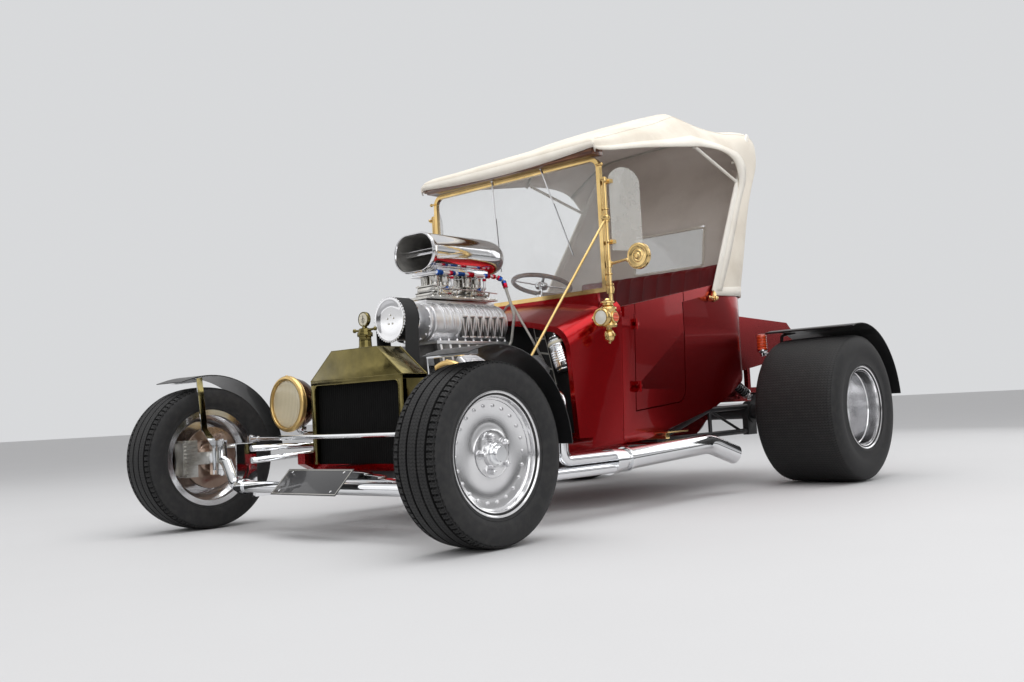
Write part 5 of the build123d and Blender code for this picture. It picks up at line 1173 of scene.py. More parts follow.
        knob = [
            (0.0, 0.0), (0.036, 0.0), (0.037, 0.004), (0.034, 0.007), (0.027, 0.008), (0.0265, 0.018), (0.024, 0.021),
            (0.0, 0.021),
        ]
        form.paint(1).turned(knob, cap, self.out, 40)
        alloy = Turned(f"{self.end}_alloy_{self.side.word}", "wheel_alloy", centre=tuple(self.hub))
        form.piece(self.body + "_alloy", [alloy, CHROME], self.body, [self.body], 32)

    def build(self) -> None:
        """Builds the whole wheel."""
        self.tyre()
        self.disc()


# Hood


@dataclass(frozen=True)
class Station:
    """One curve across the hood: its hem, its corner and its middle, measured from the front axle."""

    hem: Point
    corner: Point
    middle: Point
    outer: float = 0.6
    inner: float = 0.3
    steps: int = 5

    def numbers(self) -> list[float]:
        """All numbers of the curve, for in-between curves."""
        return [*self.hem, *self.corner, *self.middle, self.outer, self.inner]


@dataclass
class Hood:
    """Canvas hood stretched over three bows: one sheet, its hems, seams and pane binding, and the bows."""

    window_half: float = 0.23
    window: tuple[float, float] = (1.18, 1.40)
    thick: float = 0.004
    foot: Point = (0.5745, 1.985, 0.940)
    head: Point = (0.492, 2.585, 1.872)

    # Hem, corner and middle of each curve, the corner's rounding to both sides, curves to the next
    stations = (
        Station((0.550, 1.124, 1.551), (0.556, 1.121, 1.575), (0.0, 1.121, 1.551), 0.5, 0.06, 1),
        Station((0.552, 1.116, 1.566), (0.556, 1.114, 1.600), (0.0, 1.114, 1.596), 0.5, 0.06, 1),
        Station((0.556, 1.124, 1.566), (0.548, 1.124, 1.616), (0.0, 1.124, 1.616), 0.5, 0.07, 1),
        Station((0.558, 1.150, 1.564), (0.540, 1.150, 1.630), (0.0, 1.150, 1.630), 0.5, 0.10, 2),
        Station((0.561, 1.230, 1.574), (0.532, 1.230, 1.655), (0.0, 1.230, 1.656), 0.5, 0.16, 5),
        Station((0.563, 1.471, 1.621), (0.502, 1.471, 1.738), (0.0, 1.471, 1.743), 0.5, 0.22, 5),
        Station((0.563, 1.720, 1.663), (0.462, 1.720, 1.822), (0.0, 1.720, 1.830), 0.5, 0.25, 5),
        Station((0.563, 1.930, 1.697), (0.425, 1.930, 1.902), (0.0, 1.930, 1.912), 0.42, 0.2, 3),
        Station((0.563, 1.990, 1.706), (0.423, 1.990, 1.904), (0.0, 1.990, 1.914), 0.42, 0.2, 5),
        Station((0.563, 2.142, 1.715), (0.436, 2.200, 1.884), (0.0, 2.200, 1.892), 0.5, 0.25, 5),
        Station((0.559, 2.250, 1.706), (0.458, 2.400, 1.884), (0.0, 2.400, 1.896), 0.5, 0.25, 5),
        Station((0.552, 2.326, 1.680), (0.478, 2.560, 1.904), (0.0, 2.560, 1.916), 0.45, 0.22, 4),
        Station((0.542, 2.374, 1.632), (0.492, 2.655, 1.908), (0.0, 2.650, 1.910), 0.42, 0.24, 4),
        Station((0.532, 2.396, 1.585), (0.502, 2.712, 1.868), (0.0, 2.700, 1.860), 0.42, 0.26, 4),
        Station((0.528, 2.382, 1.530), (0.512, 2.716, 1.760), (0.0, 2.700, 1.770), 0.45, 0.3, 5),
        Station((0.532, 2.330, 1.450), (0.532, 2.620, 1.600), (0.0, 2.598, 1.575), 0.5, 0.38, 4),
        Station((0.537, 2.288, 1.385), (0.548, 2.545, 1.440), (0.0, 2.512, 1.400), 0.55, 0.43, 6),
        Station((0.552, 2.145, 1.165), (0.560, 2.488, 1.195), (0.0, 2.474, 1.180), 0.6, 0.46, 5),
        Station((0.560, 2.040, 1.000), (0.563, 2.466, 1.030), (0.0, 2.466, 1.030), 0.68, 0.47, 2),
        Station((0.562, 2.016, 0.960), (0.563, 2.466, 0.972), (0.0, 2.466, 0.972), 0.7, 0.47, 1),
    )

    def curves(self) -> list[Row]:
        """All curves across the hood, with those in between.

        Returns:
            The station's number and the curve's numbers, for each curve.
        """
        rows = [station.numbers() for station in self.stations]
        found = []
        for index, station in enumerate(self.stations[:-1]):
            before = rows[max(index - 1, 0)] if station.steps > 2 else rows[index]
            one, two = rows[index], rows[index + 1]
            after = rows[min(index + 2, len(rows) - 1)]
            for step in range(station.steps):
                t = step / station.steps
                found.append((index, [self.between(*values, t) for values in zip(before, one, two, after)]))
        return found + [(len(rows) - 1, rows[-1])]

    @staticmethod
    def between(before: float, one: float, two: float, after: float, t: float) -> float:
        """A number on the smooth line through four, between the middle two."""
        rise = (two - before) * 0.5
        fall = (after - one) * 0.5
        return (
            one * (2 * t**3 - 3 * t**2 + 1) + two * (3 * t**2 - 2 * t**3)
            + rise * (t**3 - 2 * t**2 + t) * 0.9 + fall * (t**3 - t**2) * 0.9
        )

    def half(self, row: Sequence[float], lift: float = 0.0) -> list[Vector]:
        """The left half of one curve, from its hem to its middle.

        Args:
            row: The curve's numbers.
            lift: How far it is moved in from the sheet.

        Returns:
            Its points in the model's frame.
        """
        hem, corner, middle = (at(*row[i:i + 3]) for i in (0, 3, 6))
        outer, inner = row[9], row[10]
        start = corner.lerp(hem, outer)
        end = corner.lerp(middle, inner)
        points = [hem.lerp(start, i / 4) for i in range(4)]
        for i in range(12):
            t = i / 12
            points.append(start * (1 - t) ** 2 + corner * 2 * t * (1 - t) + end * t**2)
        beside = [end.x + (self.window_half - end.x) * i / 3 for i in range(3)]
        for x in beside + [self.window_half * (1 - i / 5) for i in range(6)]:
            share = 1 - x / end.x
            bend = 1 - (1 - share) ** 2
            points.append(Vector((x, end.y + (middle.y - end.y) * bend, end.z + (middle.z - end.z) * bend)))
        if lift:
            inside = at(0.0, 2.0, 1.3)
            points = [point + (Vector((0, inside.y, inside.z)) - point).normalized() * lift for point in points]
        return points

    def across(self, row: Sequence[float], lift: float = 0.0) -> list[Vector]:
        """One whole curve, from the left hem to the right."""
        half = self.half(row, lift)
        return half + [Vector((-p.x, p.y, p.z)) for p in reversed(half[:-1])]

    def grid(
        self, name: str, finishes: Sequence[Finish], rows: Sequence[Row], columns: slice, lift: float, thick: float
    ) -> bpy.types.Object:
        """Makes one sheet from some of the curves and some of their points.

        Args:
            name: The piece's name.
            finishes: Its finish outside and inside.
            rows: The curves, as curves() gives them.
            columns: Which points of each curve.
            lift: How far out it stands from the hood's sheet, in metres.
            thick: Its thickness.

        Returns:
            The piece.
        """
        part = bmesh.new()
        lines = [[part.verts.new(p) for p in self.across(row)[columns]] for _, row in rows]
        low, high = self.window
        for one, two in zip(lines, lines[1:]):
            for quad in zip(one, one[1:], two[1:], two):
                centre = sum((v.co for v in quad), Vector()) / 4
                behind = centre.y > at(0, 2.40, 0).y
                if not (behind and low < centre.z < high - 0.004 and abs(centre.x) < self.window_half):
                    part.faces.new(quad)
        bmesh.ops.remove_doubles(part, verts=part.verts, dist=MERGE)
        bmesh.ops.recalc_face_normals(part, faces=part.faces)
        if sum(face.normal.z * face.calc_area() for face in part.faces) < 0:
            bmesh.ops.reverse_faces(part, faces=part.faces)
        if lift:
            part.normal_update()
            for vert in part.verts:
                vert.co += vert.normal * lift
        mesh = bpy.data.meshes.new(name)
        part.to_mesh(mesh)
        part.free()
        LOG.info("%s: %.4f square metres", name, sum(p.area for p in mesh.polygons))
        piece = publish(mesh, name, finishes, "chassis", [], 60)
        sheet = piece.modifiers.new("thickness", "SOLIDIFY")
        sheet.thickness = thick
        sheet.offset = -1.0
        sheet.material_offset = len(finishes) - 1
        sheet.material_offset_rim = 0
        return piece

    def bows(self) -> None:
        """Builds the three bows, the flat sleeves of the rear legs and their brass feet."""
        rows = dict((index, row) for index, row in reversed(self.curves()))
        form = Form()
        for index, depth in ((7, 0.013), (11, 0.014)):
            form.tube(self.across(rows[index], depth), 0.008, True, 5)
        foot, head = at(*self.foot), at(*self.head)
        side = Vector(ACROSS)
        low = foot.lerp(head, 0.035)
        form.beam(low, foot.lerp(head, 0.72), 0.034, 0.013, side, 0.005)
        form.beam(foot.lerp(head, 0.70), head, 0.026, 0.014, side, 0.005)
        form.rod(foot.lerp(head, 0.69), at(0.545, 1.96, 1.70), 0.008)
        form.paint(1).beam(foot - (head - foot).normalized() * 0.012, low, 0.028, 0.016, side, 0.003)
        form.rod(foot - side * 0.020, foot + side * 0.016, 0.013, sides=24, bevel=0.002)
        form.ball(foot + side * 0.020, 0.011)
        form.rod(foot + side * 0.014 + Vector((0, -0.05, 0.004)), foot + side * 0.014, 0.0045)
        form.ball(foot + side * 0.014 + Vector((0, -0.052, 0.004)), 0.0075)
        form.mirrored()
        form.paint(2).box(at(-0.528, 1.128, 1.549), at(0.528, 1.212, 1.597), 0.004)
        form.piece("hood_bows", [SLEEVE, BRASS, WOOD], "chassis", ["top_bows"])

    def build(self) -> None:
        """Builds the whole hood."""
        rows = self.curves()
        everything = slice(None)
        cloth = self.grid("hood_canvas", [CLOTH, LINING], rows, everything, 0.0, self.thick)
        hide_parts("soft_top")
        roof = [row for row in rows if row[0] < len(self.stations) - 1]
        strips = (
            ("left", roof, slice(0, 3)), ("right", roof, slice(-3, None)), ("front", rows[:2], everything),
            ("rear", rows[-3:], everything),
        )
        hems = [
            self.grid(f"hood_hem_{name}", [BINDING], lines, columns, 0.0022, 0.003) for name, lines, columns in strips
        ]
        seams = Form()
        seams.tube([self.half(row)[9] + Vector((0, 0, 0.0008)) for _, row in rows[3:-8]], 0.0022, True, 3)
        seams.mirrored()
        low, high = self.window
        half = self.window_half
        corner = []
        for x, z in ((half, low), (half, high), (-half, high), (-half, low)):
            # The tail leans: 2.474 behind the front axle at the pane's lower edge, 2.512 at its upper one
            corner.append(at(x, 2.474 + (2.512 - 2.474) * ((z - low) / (high - low)) + 0.002, z))
        ring = []
        for index, point in enumerate(corner):
            before, after = corner[index - 1], corner[(index + 1) % 4]
            ring += [point.lerp(before, 0.14), point, point.lerp(after, 0.14)]
        seams.tube(ring, 0.007, True, 4, True)
        trim = seams.piece("hood_seams", BINDING, "chassis")
        self.bows()


# Engine


@dataclass
class Blower:
    """Roots blower on its manifold: ribbed case, side frames, end plates, bolts and snout."""

    front: float = 0.5
    rear: float = 0.972
    low: float = 0.738
    middle: float = 0.834
    lobe: float = 0.0394
    radius: float = 0.0826
    ribs: int = 9
    pitch: float = 0.046

    def arch(self, grow: float, foot: float) -> list[tuple[float, float]]:
        """The case's outline over both lobes.

        Args:
            grow: How far it stands out from the case.
            foot: Height at which it ends on both sides.

        Returns:
            Distance across and height of each point.
        """
        reach = self.radius + grow
        last = math.acos(max(-1.0, min(1.0, (foot - self.middle) / reach)))
        side = [
            (self.lobe + reach * math.sin(last * i / 18), self.middle + reach * math.cos(last * i / 18))
            for i in range(19)
        ]
        return side[::-1] + [(-x, z) for x, z in side]

    def slab(self, form: Form, grow: float, foot: float, start: float, end: float, bevel: float = 0.0) -> None:
        """Adds the case's outline as a solid between two places along the car."""
        form.plate([at(x, start, z) for x, z in self.arch(grow, foot)], (0, end - start, 0), bevel)

    def frames(self, form: Form) -> None:
        """Adds the framed panels with their slanted webs on both sides."""
        for number in range(2, self.ribs - 1):
            start = self.front + 0.078 + number * self.pitch + 0.009
            end = start + self.pitch - 0.009
            for side in (1, -1):
                out = Vector((side, 0, 0))
                form.paint(1).box(at(side * 0.108, start, 0.768), at(side * 0.1228, end, 0.858), 0.001)
                form.paint(0)
                face = side * 0.1238
                for high in (0.768, 0.858):
                    form.beam(at(face, start - 0.001, high), at(face, end + 0.001, high), 0.008, 0.006, out, 0.0015)
                middle = (start + end) / 2
                form.beam(at(face, start + 0.002, 0.856), at(face, middle, 0.771), 0.0055, 0.005, out, 0.001)
                form.beam(at(face, end - 0.002, 0.856), at(face, middle, 0.771), 0.0055, 0.005, out, 0.001)

    def bolts(self, form: Form) -> None:
        """Adds the bolts of the covers and of both flanges."""
        ring = self.arch(-0.008, 0.755)
        for x, z in ring[1:-1:3]:
            form.nut(at(x, self.front + 0.001, z), AHEAD, 0.0058, 0.006)
            form.nut(at(x, self.rear - 0.001, z), BACK, 0.0058, 0.0035)
        for step in range(9):
            y = self.front + 0.055 + step * 0.05
            for side in (1, -1):
                form.nut(at(side * 0.1135, y, 0.7515), UP, 0.0062, 0.007)
                form.rod(at(side * 0.1135, y, 0.757), at(side * 0.1135, y, 0.764), 0.0028, sides=10)

    def manifold(self, form: Form) -> None:
        """Adds the manifold in the valley, with its flange and its runners."""
        outline = [
            (0.0, 0.506), (0.148, 0.5855), (0.148, 0.6005), (0.118, 0.7385), (-0.118, 0.7385), (-0.148, 0.6005),
            (-0.148, 0.5855),
        ]
        form.paint(1).plate([at(x, 0.530, z) for x, z in outline], (0, 0.432, 0), 0.002)
        form.paint(0).box(at(-0.1215, 0.530, self.low), at(0.1215, self.rear, 0.7515), 0.002)
        for side in (1, -1):
            for step in range(8):
                y = 0.552 + step * 0.0545
                form.beam(at(side * 0.144, y, 0.606), at(side * 0.119, y, 0.735), 0.012, 0.007, (side, 0, 0.2), 0.002)
                form.nut(at(side * 0.1475, y + 0.027, 0.593), (side, 0, 0), 0.006, 0.005)

    def snout(self, form: Form) -> None:
        """Adds the drive snout with its webs."""
        outline = [
            (0.0, 0.0), (0.026, 0.0), (0.027, 0.066), (0.033, 0.07), (0.058, 0.078), (0.058, 0.103), (0.0, 0.103),
        ]
        form.turned(outline, at(0, 0.400, 0.845), BACK, 48)
        form.nuts(at(0, 0.479, 0.845), 0.05, 6, 0.0055, 0.006)

    def build(self) -> None:
        """Builds the blower."""
        form = Form()
        self.slab(form, 0.0, 0.745, self.front + 0.04, self.rear, 0.0)
        form.box(at(-0.05, self.front + 0.04, 0.9), at(0.05, self.rear - 0.004, 0.9305), 0.003)
        self.slab(form, -0.002, 0.748, self.front, self.front + 0.018, 0.003)
        self.slab(form, 0.002, 0.745, self.front + 0.026, self.front + 0.044, 0.002)
        self.slab(form, 0.002, 0.745, self.rear - 0.014, self.rear, 0.002)
        for number in range(self.ribs):
            start = self.front + 0.078 + number * self.pitch
            foot = 0.768 if number > 1 else 0.80
            self.slab(form, 0.0055, foot, start, start + 0.009, 0.002)
            self.slab(form, 0.0025, 0.80, start + 0.0205, start + 0.0245, 0.001)
        self.frames(form)
        self.bolts(form)
        self.manifold(form)
        self.snout(form)
        form.piece("blower_case", [POLISHED, CAST_DARK], "chassis", ["blower"], 30)


@dataclass
class Pulleys:
    """Polished upper and lower pulley with their milled rims."""

    y: float = 0.382
    width: float = 0.076
    upper: float = 0.845
    lower: float = 0.375

    def drum(self, form: Form, z: float, radius: float, marks: int) -> None:
        """Adds one pulley.

        Args:
            form: The form that grows.
            z: Its height.
            radius: Its drum's radius.
            marks: Cuts round its rim.
        """
        deep = self.width
        outline = [
            (0.0, 0.002), (radius * 0.55, 0.0005), (radius * 0.86, -0.002), (radius * 0.93, -0.0045),
            (radius + 0.003, -0.0045), (radius + 0.0055, -0.0035), (radius + 0.0055, 0.0), (radius, 0.001),
            (radius, deep), (radius + 0.009, deep), (radius + 0.009, deep + 0.004), (0.0, deep + 0.004),
        ]
        form.turned(outline, at(0, self.y, z), BACK, 96)
        for step in range(marks):
            turn = Matrix.Rotation(math.tau * step / marks, 3, "Y")
            spot = at(0, self.y - 0.0022, z) + turn @ Vector((0, 0, radius + 0.0055))
            form.box(spot - Vector((0.0036, 0.0022, 0.0032)), spot + Vector((0.0036, 0.0022, 0.0032)), 0.001, turn)

    def build(self) -> None:
        """Builds both pulleys."""
        form = Form()
        for z, radius, marks, spread in ((self.upper, 0.088, 44, 0.02), (self.lower, 0.074, 38, 0.026)):
            self.drum(form, z, radius, marks)
            form.nuts(at(0, self.y + 0.002, z), spread, 5, 0.005, 0.004)
        form.nut(at(0, self.y + 0.002, self.lower), AHEAD, 0.013, 0.006)
        form.rod(at(0, 0.458, self.lower), at(0, 0.4697, self.lower), 0.03, sides=40)
        form.piece("pulley_pair", SCOOP, "chassis", ["blower_pulleys"], 30)


@dataclass
class Carburettors:
    """Two four barrel carburettors side on, their plate, linkage, fuel bowls and fittings."""

    base: float = 0.9363
    ys: tuple[float, float] = (0.65, 0.85)
    turns: int = 11

    def one(self, form: Form, y: float) -> None:
        """Adds one carburettor.

        Args:
            form: The form that grows.
            y: Its middle, behind the front axle.
        """
        low = self.base + 0.012
        form.paint(1).box(at(-0.057, y - 0.071, low), at(0.057, y + 0.071, low + 0.004))
        form.paint(0).box(at(-0.054, y - 0.068, low + 0.004), at(0.054, y + 0.068, low + 0.017), 0.003)
        form.paint(1).box(at(-0.055, y - 0.069, low + 0.017), at(0.055, y + 0.069, low + 0.0195))
        form.paint(0).box(at(-0.051, y - 0.062, low + 0.0195), at(0.051, y + 0.062, low + 0.044), 0.006)
        form.box(at(-0.054, y - 0.066, low + 0.044), at(0.054, y + 0.066, low + 0.050), 0.0015)
        outline = [
            (0.018, 0.0), (0.0225, 0.0), (0.0225, 0.004), (0.021, 0.006), (0.0215, 0.036), (0.0235, 0.0395),
            (0.019, 0.0395), (0.016, 0.02), (0.018, 0.0),
        ]
        for across in (-0.026, 0.026):
            for along in (-0.03, 0.03):
                form.turned(outline, at(across, y + along, low + 0.05), UP, 28)
        for side in (1, -1):
            self.bowl(form, y, side, low)
        for x, along in ((x, y) for x in (0.047, -0.047) for y in (-0.059, 0.059)):
            form.nut(at(x, y + along, low + 0.016), UP, 0.006, 0.008)
            form.nut(at(x, y + along * 0.96, low + 0.05), UP, 0.0042, 0.004)
        vents = ((0.012, 0.052, 0.085), (-0.012, -0.052, 0.082), (0.03, -0.055, 0.07), (-0.03, 0.055, 0.072))
        for x, along, high in vents:
            form.rod(at(x, y + along, low + 0.048), at(x, y + along, low + high), 0.0042, sides=14, bevel=0.001)

    def bowl(self, form: Form, y: float, side: int, low: float) -> None:
        """Adds one fuel bowl with its screws, sight plugs and fuel nut."""
        out = (side, 0, 0)
        for x, half, up, bevel in ((0.0715, 0.041, 0.0085, 0.0055), (0.058, 0.043, 0.0065, 0.0015)):
            form.box(at(side * 0.050, y - half, low + up), at(side * x, y + half, low + 0.052 - up), bevel)
        for along in (-0.034, 0.034):
            for up in (0.0135, 0.0385):
                form.nut(at(side * 0.0705, y + along, low + up), out, 0.0042, 0.004)
        for along in (-0.021, 0.021):
            plug = at(side * 0.0705, y + along, low + 0.021)
            form.rod(plug, plug + Vector(out) * 0.003, 0.0058, sides=20, bevel=0.001)
        form.nut(at(side * 0.062, y + 0.022, low + 0.043), UP, 0.0068, 0.007)
        form.rod(
            at(side * 0.062, y + 0.022, low + 0.049), at(side * 0.062, y + 0.022, low + 0.0545), 0.0028, sides=12,
        )
        form.rod(
            at(side * 0.060, y - 0.024, low + 0.042), at(side * 0.060, y - 0.024, low + 0.062), 0.0038, sides=14,
            bevel=0.001,
        )

    def linkage(self, form: Form) -> None:
        """Adds the throttle rods, levers and return springs on the left side."""
        front, rear = self.ys
        z = self.base + 0.019
        for y in self.ys:
            form.rod(at(-0.062, y - 0.055, z), at(0.078, y - 0.055, z), 0.0035, sides=14)
            form.beam(at(0.0775, y - 0.061, z - 0.012), at(0.0775, y - 0.046, z + 0.028), 0.013, 0.003, ACROSS, 0.001)
            form.ball(at(0.081, y - 0.0475, z + 0.024), 0.0042, rings=8)
            form.rod(at(-0.058, y + 0.052, z + 0.004), at(0.074, y + 0.052, z + 0.004), 0.0032, sides=14)
            form.beam(at(0.0735, y + 0.052, z), at(0.0735, y + 0.066, z + 0.022), 0.010, 0.0025, ACROSS, 0.001)
        form.rod(at(0.081, front - 0.0475, z + 0.024), at(0.081, rear - 0.0475, z + 0.024), 0.0026, sides=12)
        form.rod(at(0.081, rear - 0.0475, z + 0.024), at(0.081, rear + 0.105, z + 0.016), 0.0026, sides=12)
        for y in (front - 0.05, rear - 0.05):
            coil = []
            for step in range(self.turns * 10):
                turn = math.tau * step / 10
                spoke = Vector((math.cos(turn), 0, math.sin(turn))) * 0.0035
                coil.append(at(0.083, y + 0.012 + step * 0.00055, z - 0.006) + spoke)
            form.tube(coil, 0.0007, False, 1)

    def build(self) -> None:
        """Builds both carburettors and their plate."""
        form = Form()
        form.box(at(-0.0855, 0.5505, self.base), at(0.0855, 0.9545, self.base + 0.006), 0.0015)
        form.box(at(-0.080, 0.556, self.base + 0.006), at(0.080, 0.949, self.base + 0.012), 0.0015)
        for y in (0.556, 0.60, 0.70, 0.75, 0.80, 0.90, 0.948):
            for side in (1, -1):
                form.nut(at(side * 0.0805, y, self.base + 0.006), UP, 0.0052, 0.006)
        for y in self.ys:
            self.one(form, y)
        self.linkage(form)
        form.piece("carburettor_pair", [CARB, CAST_DARK], "chassis", ["carburettors"], 30)


@dataclass
class Scoop:
    """Polished oval scoop: rolled lip, round tail, dull inside, butterfly shaft and neck."""

    z: float = 1.136
    front: float = 0.53

    def oval(self, y: float, radius: float, flat: float) -> list[Vector]:
        """One outline across the scoop.

        Args:
            y: Its place behind the front axle.
            radius: Its half height, which is its round sides' radius too.
            flat: Half the length of its flat top.

        Returns:
            Its points, anticlockwise from the lower left.
        """
        points = []
        for side in (1, -1):
            for step in range(21):
                turn = math.pi * step / 20 * side - math.pi / 2 * side
                points.append((side * flat + radius * math.cos(turn) * side, radius * math.sin(turn)))
        left, right = points[:21], points[21:]
        return [at(x, y, self.z + z) for x, z in left + right]

    def build(self) -> None:
        """Builds the scoop."""
        form = Form()
        rear = 1.015
        # Place along the car, radius and flat half of each outline, from inside the mouth round to the tail
        outside = (
            (self.front + 0.006, 0.0775, 0.0385), (self.front + 0.001, 0.079, 0.039), (self.front, 0.0815, 0.0395),
            (self.front + 0.002, 0.0845, 0.04), (self.front + 0.007, 0.0858, 0.04),
            (self.front + 0.014, 0.0858, 0.04),
            (self.front + 0.02, 0.0838, 0.04), (self.front + 0.03, 0.0832, 0.04), (rear - 0.15, 0.0822, 0.0395),
            (rear - 0.10, 0.0812, 0.039), (rear - 0.065, 0.0778, 0.038), (rear - 0.04, 0.0722, 0.037),
            (rear - 0.02, 0.0625, 0.035), (rear - 0.007, 0.048, 0.031), (rear, 0.028, 0.024),
        )
        inside = (
            (self.front + 0.006, 0.0775, 0.0385), (self.front + 0.03, 0.0775, 0.0385), (rear - 0.10, 0.075, 0.038),
            (rear - 0.04, 0.06, 0.034), (rear - 0.02, 0.03, 0.02),
        )
        for finish, rows in enumerate((outside, inside)):
            part = bmesh.new()
            lines = [[part.verts.new(p) for p in self.oval(*row)] for row in rows]
            for one, two in zip(lines, lines[1:]):
                for i in range(len(one)):
                    j = (i + 1) % len(one)
                    part.faces.new((one[i], one[j], two[j], two[i]) if finish else (one[j], one[i], two[i], two[j]))
            part.faces.new(lines[-1] if finish else list(reversed(lines[-1])))
            part.normal_update()
            way = sum(f.normal.dot(f.calc_center_median() - at(0, 0.75, self.z)) for f in part.faces)
            if (way < 0) == (finish == 0):
                bmesh.ops.reverse_faces(part, faces=part.faces)
            form.paint(finish).take(part, out=False)
        form.paint(0)
        form.box(at(-0.0915, 0.5905, 1.0398), at(0.0915, 0.9045, 1.0455), 0.0015)
        form.box(at(-0.086, 0.596, 1.0455), at(0.086, 0.899, 1.068), 0.004)
        for y in (0.60, 0.66, 0.72, 0.78, 0.84, 0.895):
            for side in (1, -1):
                form.nut(at(side * 0.0885, y, 1.0452), UP, 0.0032, 0.003)
        form.beam(
            at(-0.116, 0.60, self.z + 0.004), at(0.116, 0.60, self.z + 0.004), 0.075, 0.0025, (0, 0.25, 1), 0.001,
        )
        form.rod(at(-0.120, 0.60, self.z), at(0.120, 0.60, self.z), 0.005, sides=16)
        form.piece("scoop_shell", [SCOOP, SCOOP_IN], "chassis", ["air_scoop"], 35)


@dataclass
class FuelLines:
    """Fuel pipe with red and blue nuts, its feeds, and two braided hoses."""

    x: float = 0.106
    z: float = 1.043

    def nuts(self, form: Form, place: Vector, along: Vector, length: float, colours: tuple[int, int]) -> None:
        """Adds a hose end: a collar, a hexagon and a ring.

        Args:
            form: The form that grows.
            place: Its middle.
            along: Its direction.
            length: Its whole length.
            colours: Finishes of the collar and the hexagon.
        """
        along = along.normalized()
        start = place - along * length / 2
        form.paint(colours[0]).rod(start, start + along * length * 0.42, 0.0112, sides=24, bevel=0.0012)
        form.paint(colours[1]).nut(start + along * length * 0.38, along, 0.0122, length * 0.36)
        form.nut(start + along * length, -along, 0.0108, length * 0.34, 8)

    def build(self) -> None:
        """Builds the pipe, its feeds and both hoses."""
        form = Form()
        steel, braid, red, blue = 0, 1, 2, 3
        form.paint(steel).rod(at(self.x, 0.56, self.z), at(self.x, 0.932, self.z), 0.0068, sides=24)
        along = Vector((0, 1, 0))
        for y, colours in ((0.577, (blue, blue)), (0.651, (red, blue)), (0.765, (red, red)), (0.867, (blue, red))):
            self.nuts(form, at(self.x, y, self.z), along, 0.03, colours)
        form.paint(blue).rod(at(self.x, 0.685, self.z), at(self.x, 0.725, self.z), 0.0092, sides=24, bevel=0.001)
        form.paint(red).rod(at(self.x, 0.905, self.z), at(self.x, 0.918, self.z), 0.0105, sides=24, bevel=0.001)
        for y in (0.65, 0.85):
            route = [at(self.x, y, self.z), at(self.x, y, 0.9843), at(0.0745, y, 0.9843)]
            form.paint(steel).pipe(route, 0.0055, 0.011)
            form.paint(red).nut(at(self.x, y, self.z - 0.014), (0, 0, -1), 0.0088, 0.011)
            form.paint(blue).nut(at(0.0745, y, 0.9843), ACROSS, 0.0088, 0.009)
        hose = [
            at(self.x, 0.93, self.z), at(self.x + 0.018, 0.955, 1.028), at(0.18, 0.955, 0.866),
            at(0.152, 0.955, 0.735), at(0.134, 0.905, 0.706),
        ]
        form.paint(braid).pipe(hose, 0.0068, 0.04, 8)
        self.nuts(form, hose[0].lerp(hose[1], 0.45), hose[1] - hose[0], 0.022, (red, blue))
        self.nuts(form, hose[1].lerp(hose[2], 0.13), hose[2] - hose[1], 0.034, (blue, red))
        form.paint(steel).rod(at(0.1274, 0.905, 0.706), at(0.145, 0.905, 0.706), 0.0092, sides=24, bevel=0.001)
        second = [
            at(0.085, 0.9786, 0.88), at(0.14, 0.9786, 0.93), at(0.255, 0.9786, 0.752), at(0.272, 1.032, 0.65),
            at(0.272, 1.032, 0.57),
        ]
        form.paint(braid).pipe(second, 0.0058, 0.03, 8)
        form.paint(steel).rod(at(0.085, 0.9723, 0.88), at(0.085, 0.984, 0.88), 0.0092, sides=24, bevel=0.001)
        form.rod(at(0.272, 1.0203, 0.57), at(0.272, 1.041, 0.57), 0.0092, sides=24, bevel=0.001)
        form.piece("fuel_fittings", [POLISHED, BRAIDED, RED_NUT, BLUE_NUT], "chassis", ["fuel_lines"], 35)


@dataclass
class Heads:
    """Finned valve covers with their bolts, breathers and plug leads."""

    @staticmethod
    def spot(across: float, up: float, y: float) -> Vector:
        """A place on the left bank, measured from the middle of its deck."""
        slant = math.sqrt(0.5)
        return at(0.215 + (across + up) * slant, y, 0.546 + (up - across) * slant)

    def build(self) -> None:
        """Builds the covers and the leads."""
        form = Form()
        up = Vector((math.sqrt(0.5), 0, math.sqrt(0.5)))
        flange = ((-0.062, 0.0725), (0.052, 0.0725), (0.052, 0.079), (-0.062, 0.079))
        body = ((-0.057, 0.078), (0.047, 0.078), (0.045, 0.124), (0.034, 0.134), (-0.044, 0.134), (-0.055, 0.124))
        form.plate([self.spot(*p, 0.496) for p in flange], (0, 0.508, 0), 0.002)
        form.plate([self.spot(*p, 0.502) for p in body], (0, 0.496, 0), 0.003)
        for number in range(9):
            across = -0.043 + number * 0.0095
            form.beam(self.spot(across, 0.1375, 0.512), self.spot(across, 0.1375, 0.988), 0.0035, 0.009, up, 0.001)
        for y in (0.51, 0.63, 0.75, 0.87, 0.99):
            for across in (-0.0585, 0.0495):
                form.nut(self.spot(across, 0.078, y), up, 0.005, 0.006)
        form.rod(self.spot(-0.005, 0.132, 0.56), self.spot(-0.005, 0.1415, 0.56), 0.02, sides=32, bevel=0.001)
        form.mirrored()
        form.piece("valve_cover_pair", POLISHED, "chassis", ["valve_covers"], 30)
        leads = Form()
        for number, y in enumerate((0.55, 0.67, 0.79, 0.91)):
            plug = self.spot(0.066, 0.052, y)
            boot = self.spot(0.082, 0.066, y)
            leads.paint(0).rod(plug, boot, 0.0065, 0.0055, sides=16, bevel=0.001)
            top = self.spot(0.058, 0.10 + number * 0.004, y - 0.03)
            leads.tube(
                [boot, self.spot(0.09, 0.085, y - 0.01), top, self.spot(0.056, 0.115, y - 0.07)], 0.0036, True, 4,
            )
        leads.mirrored()
        leads.piece("plug_leads", LEADS, "chassis")


# Nose, lamps and screen


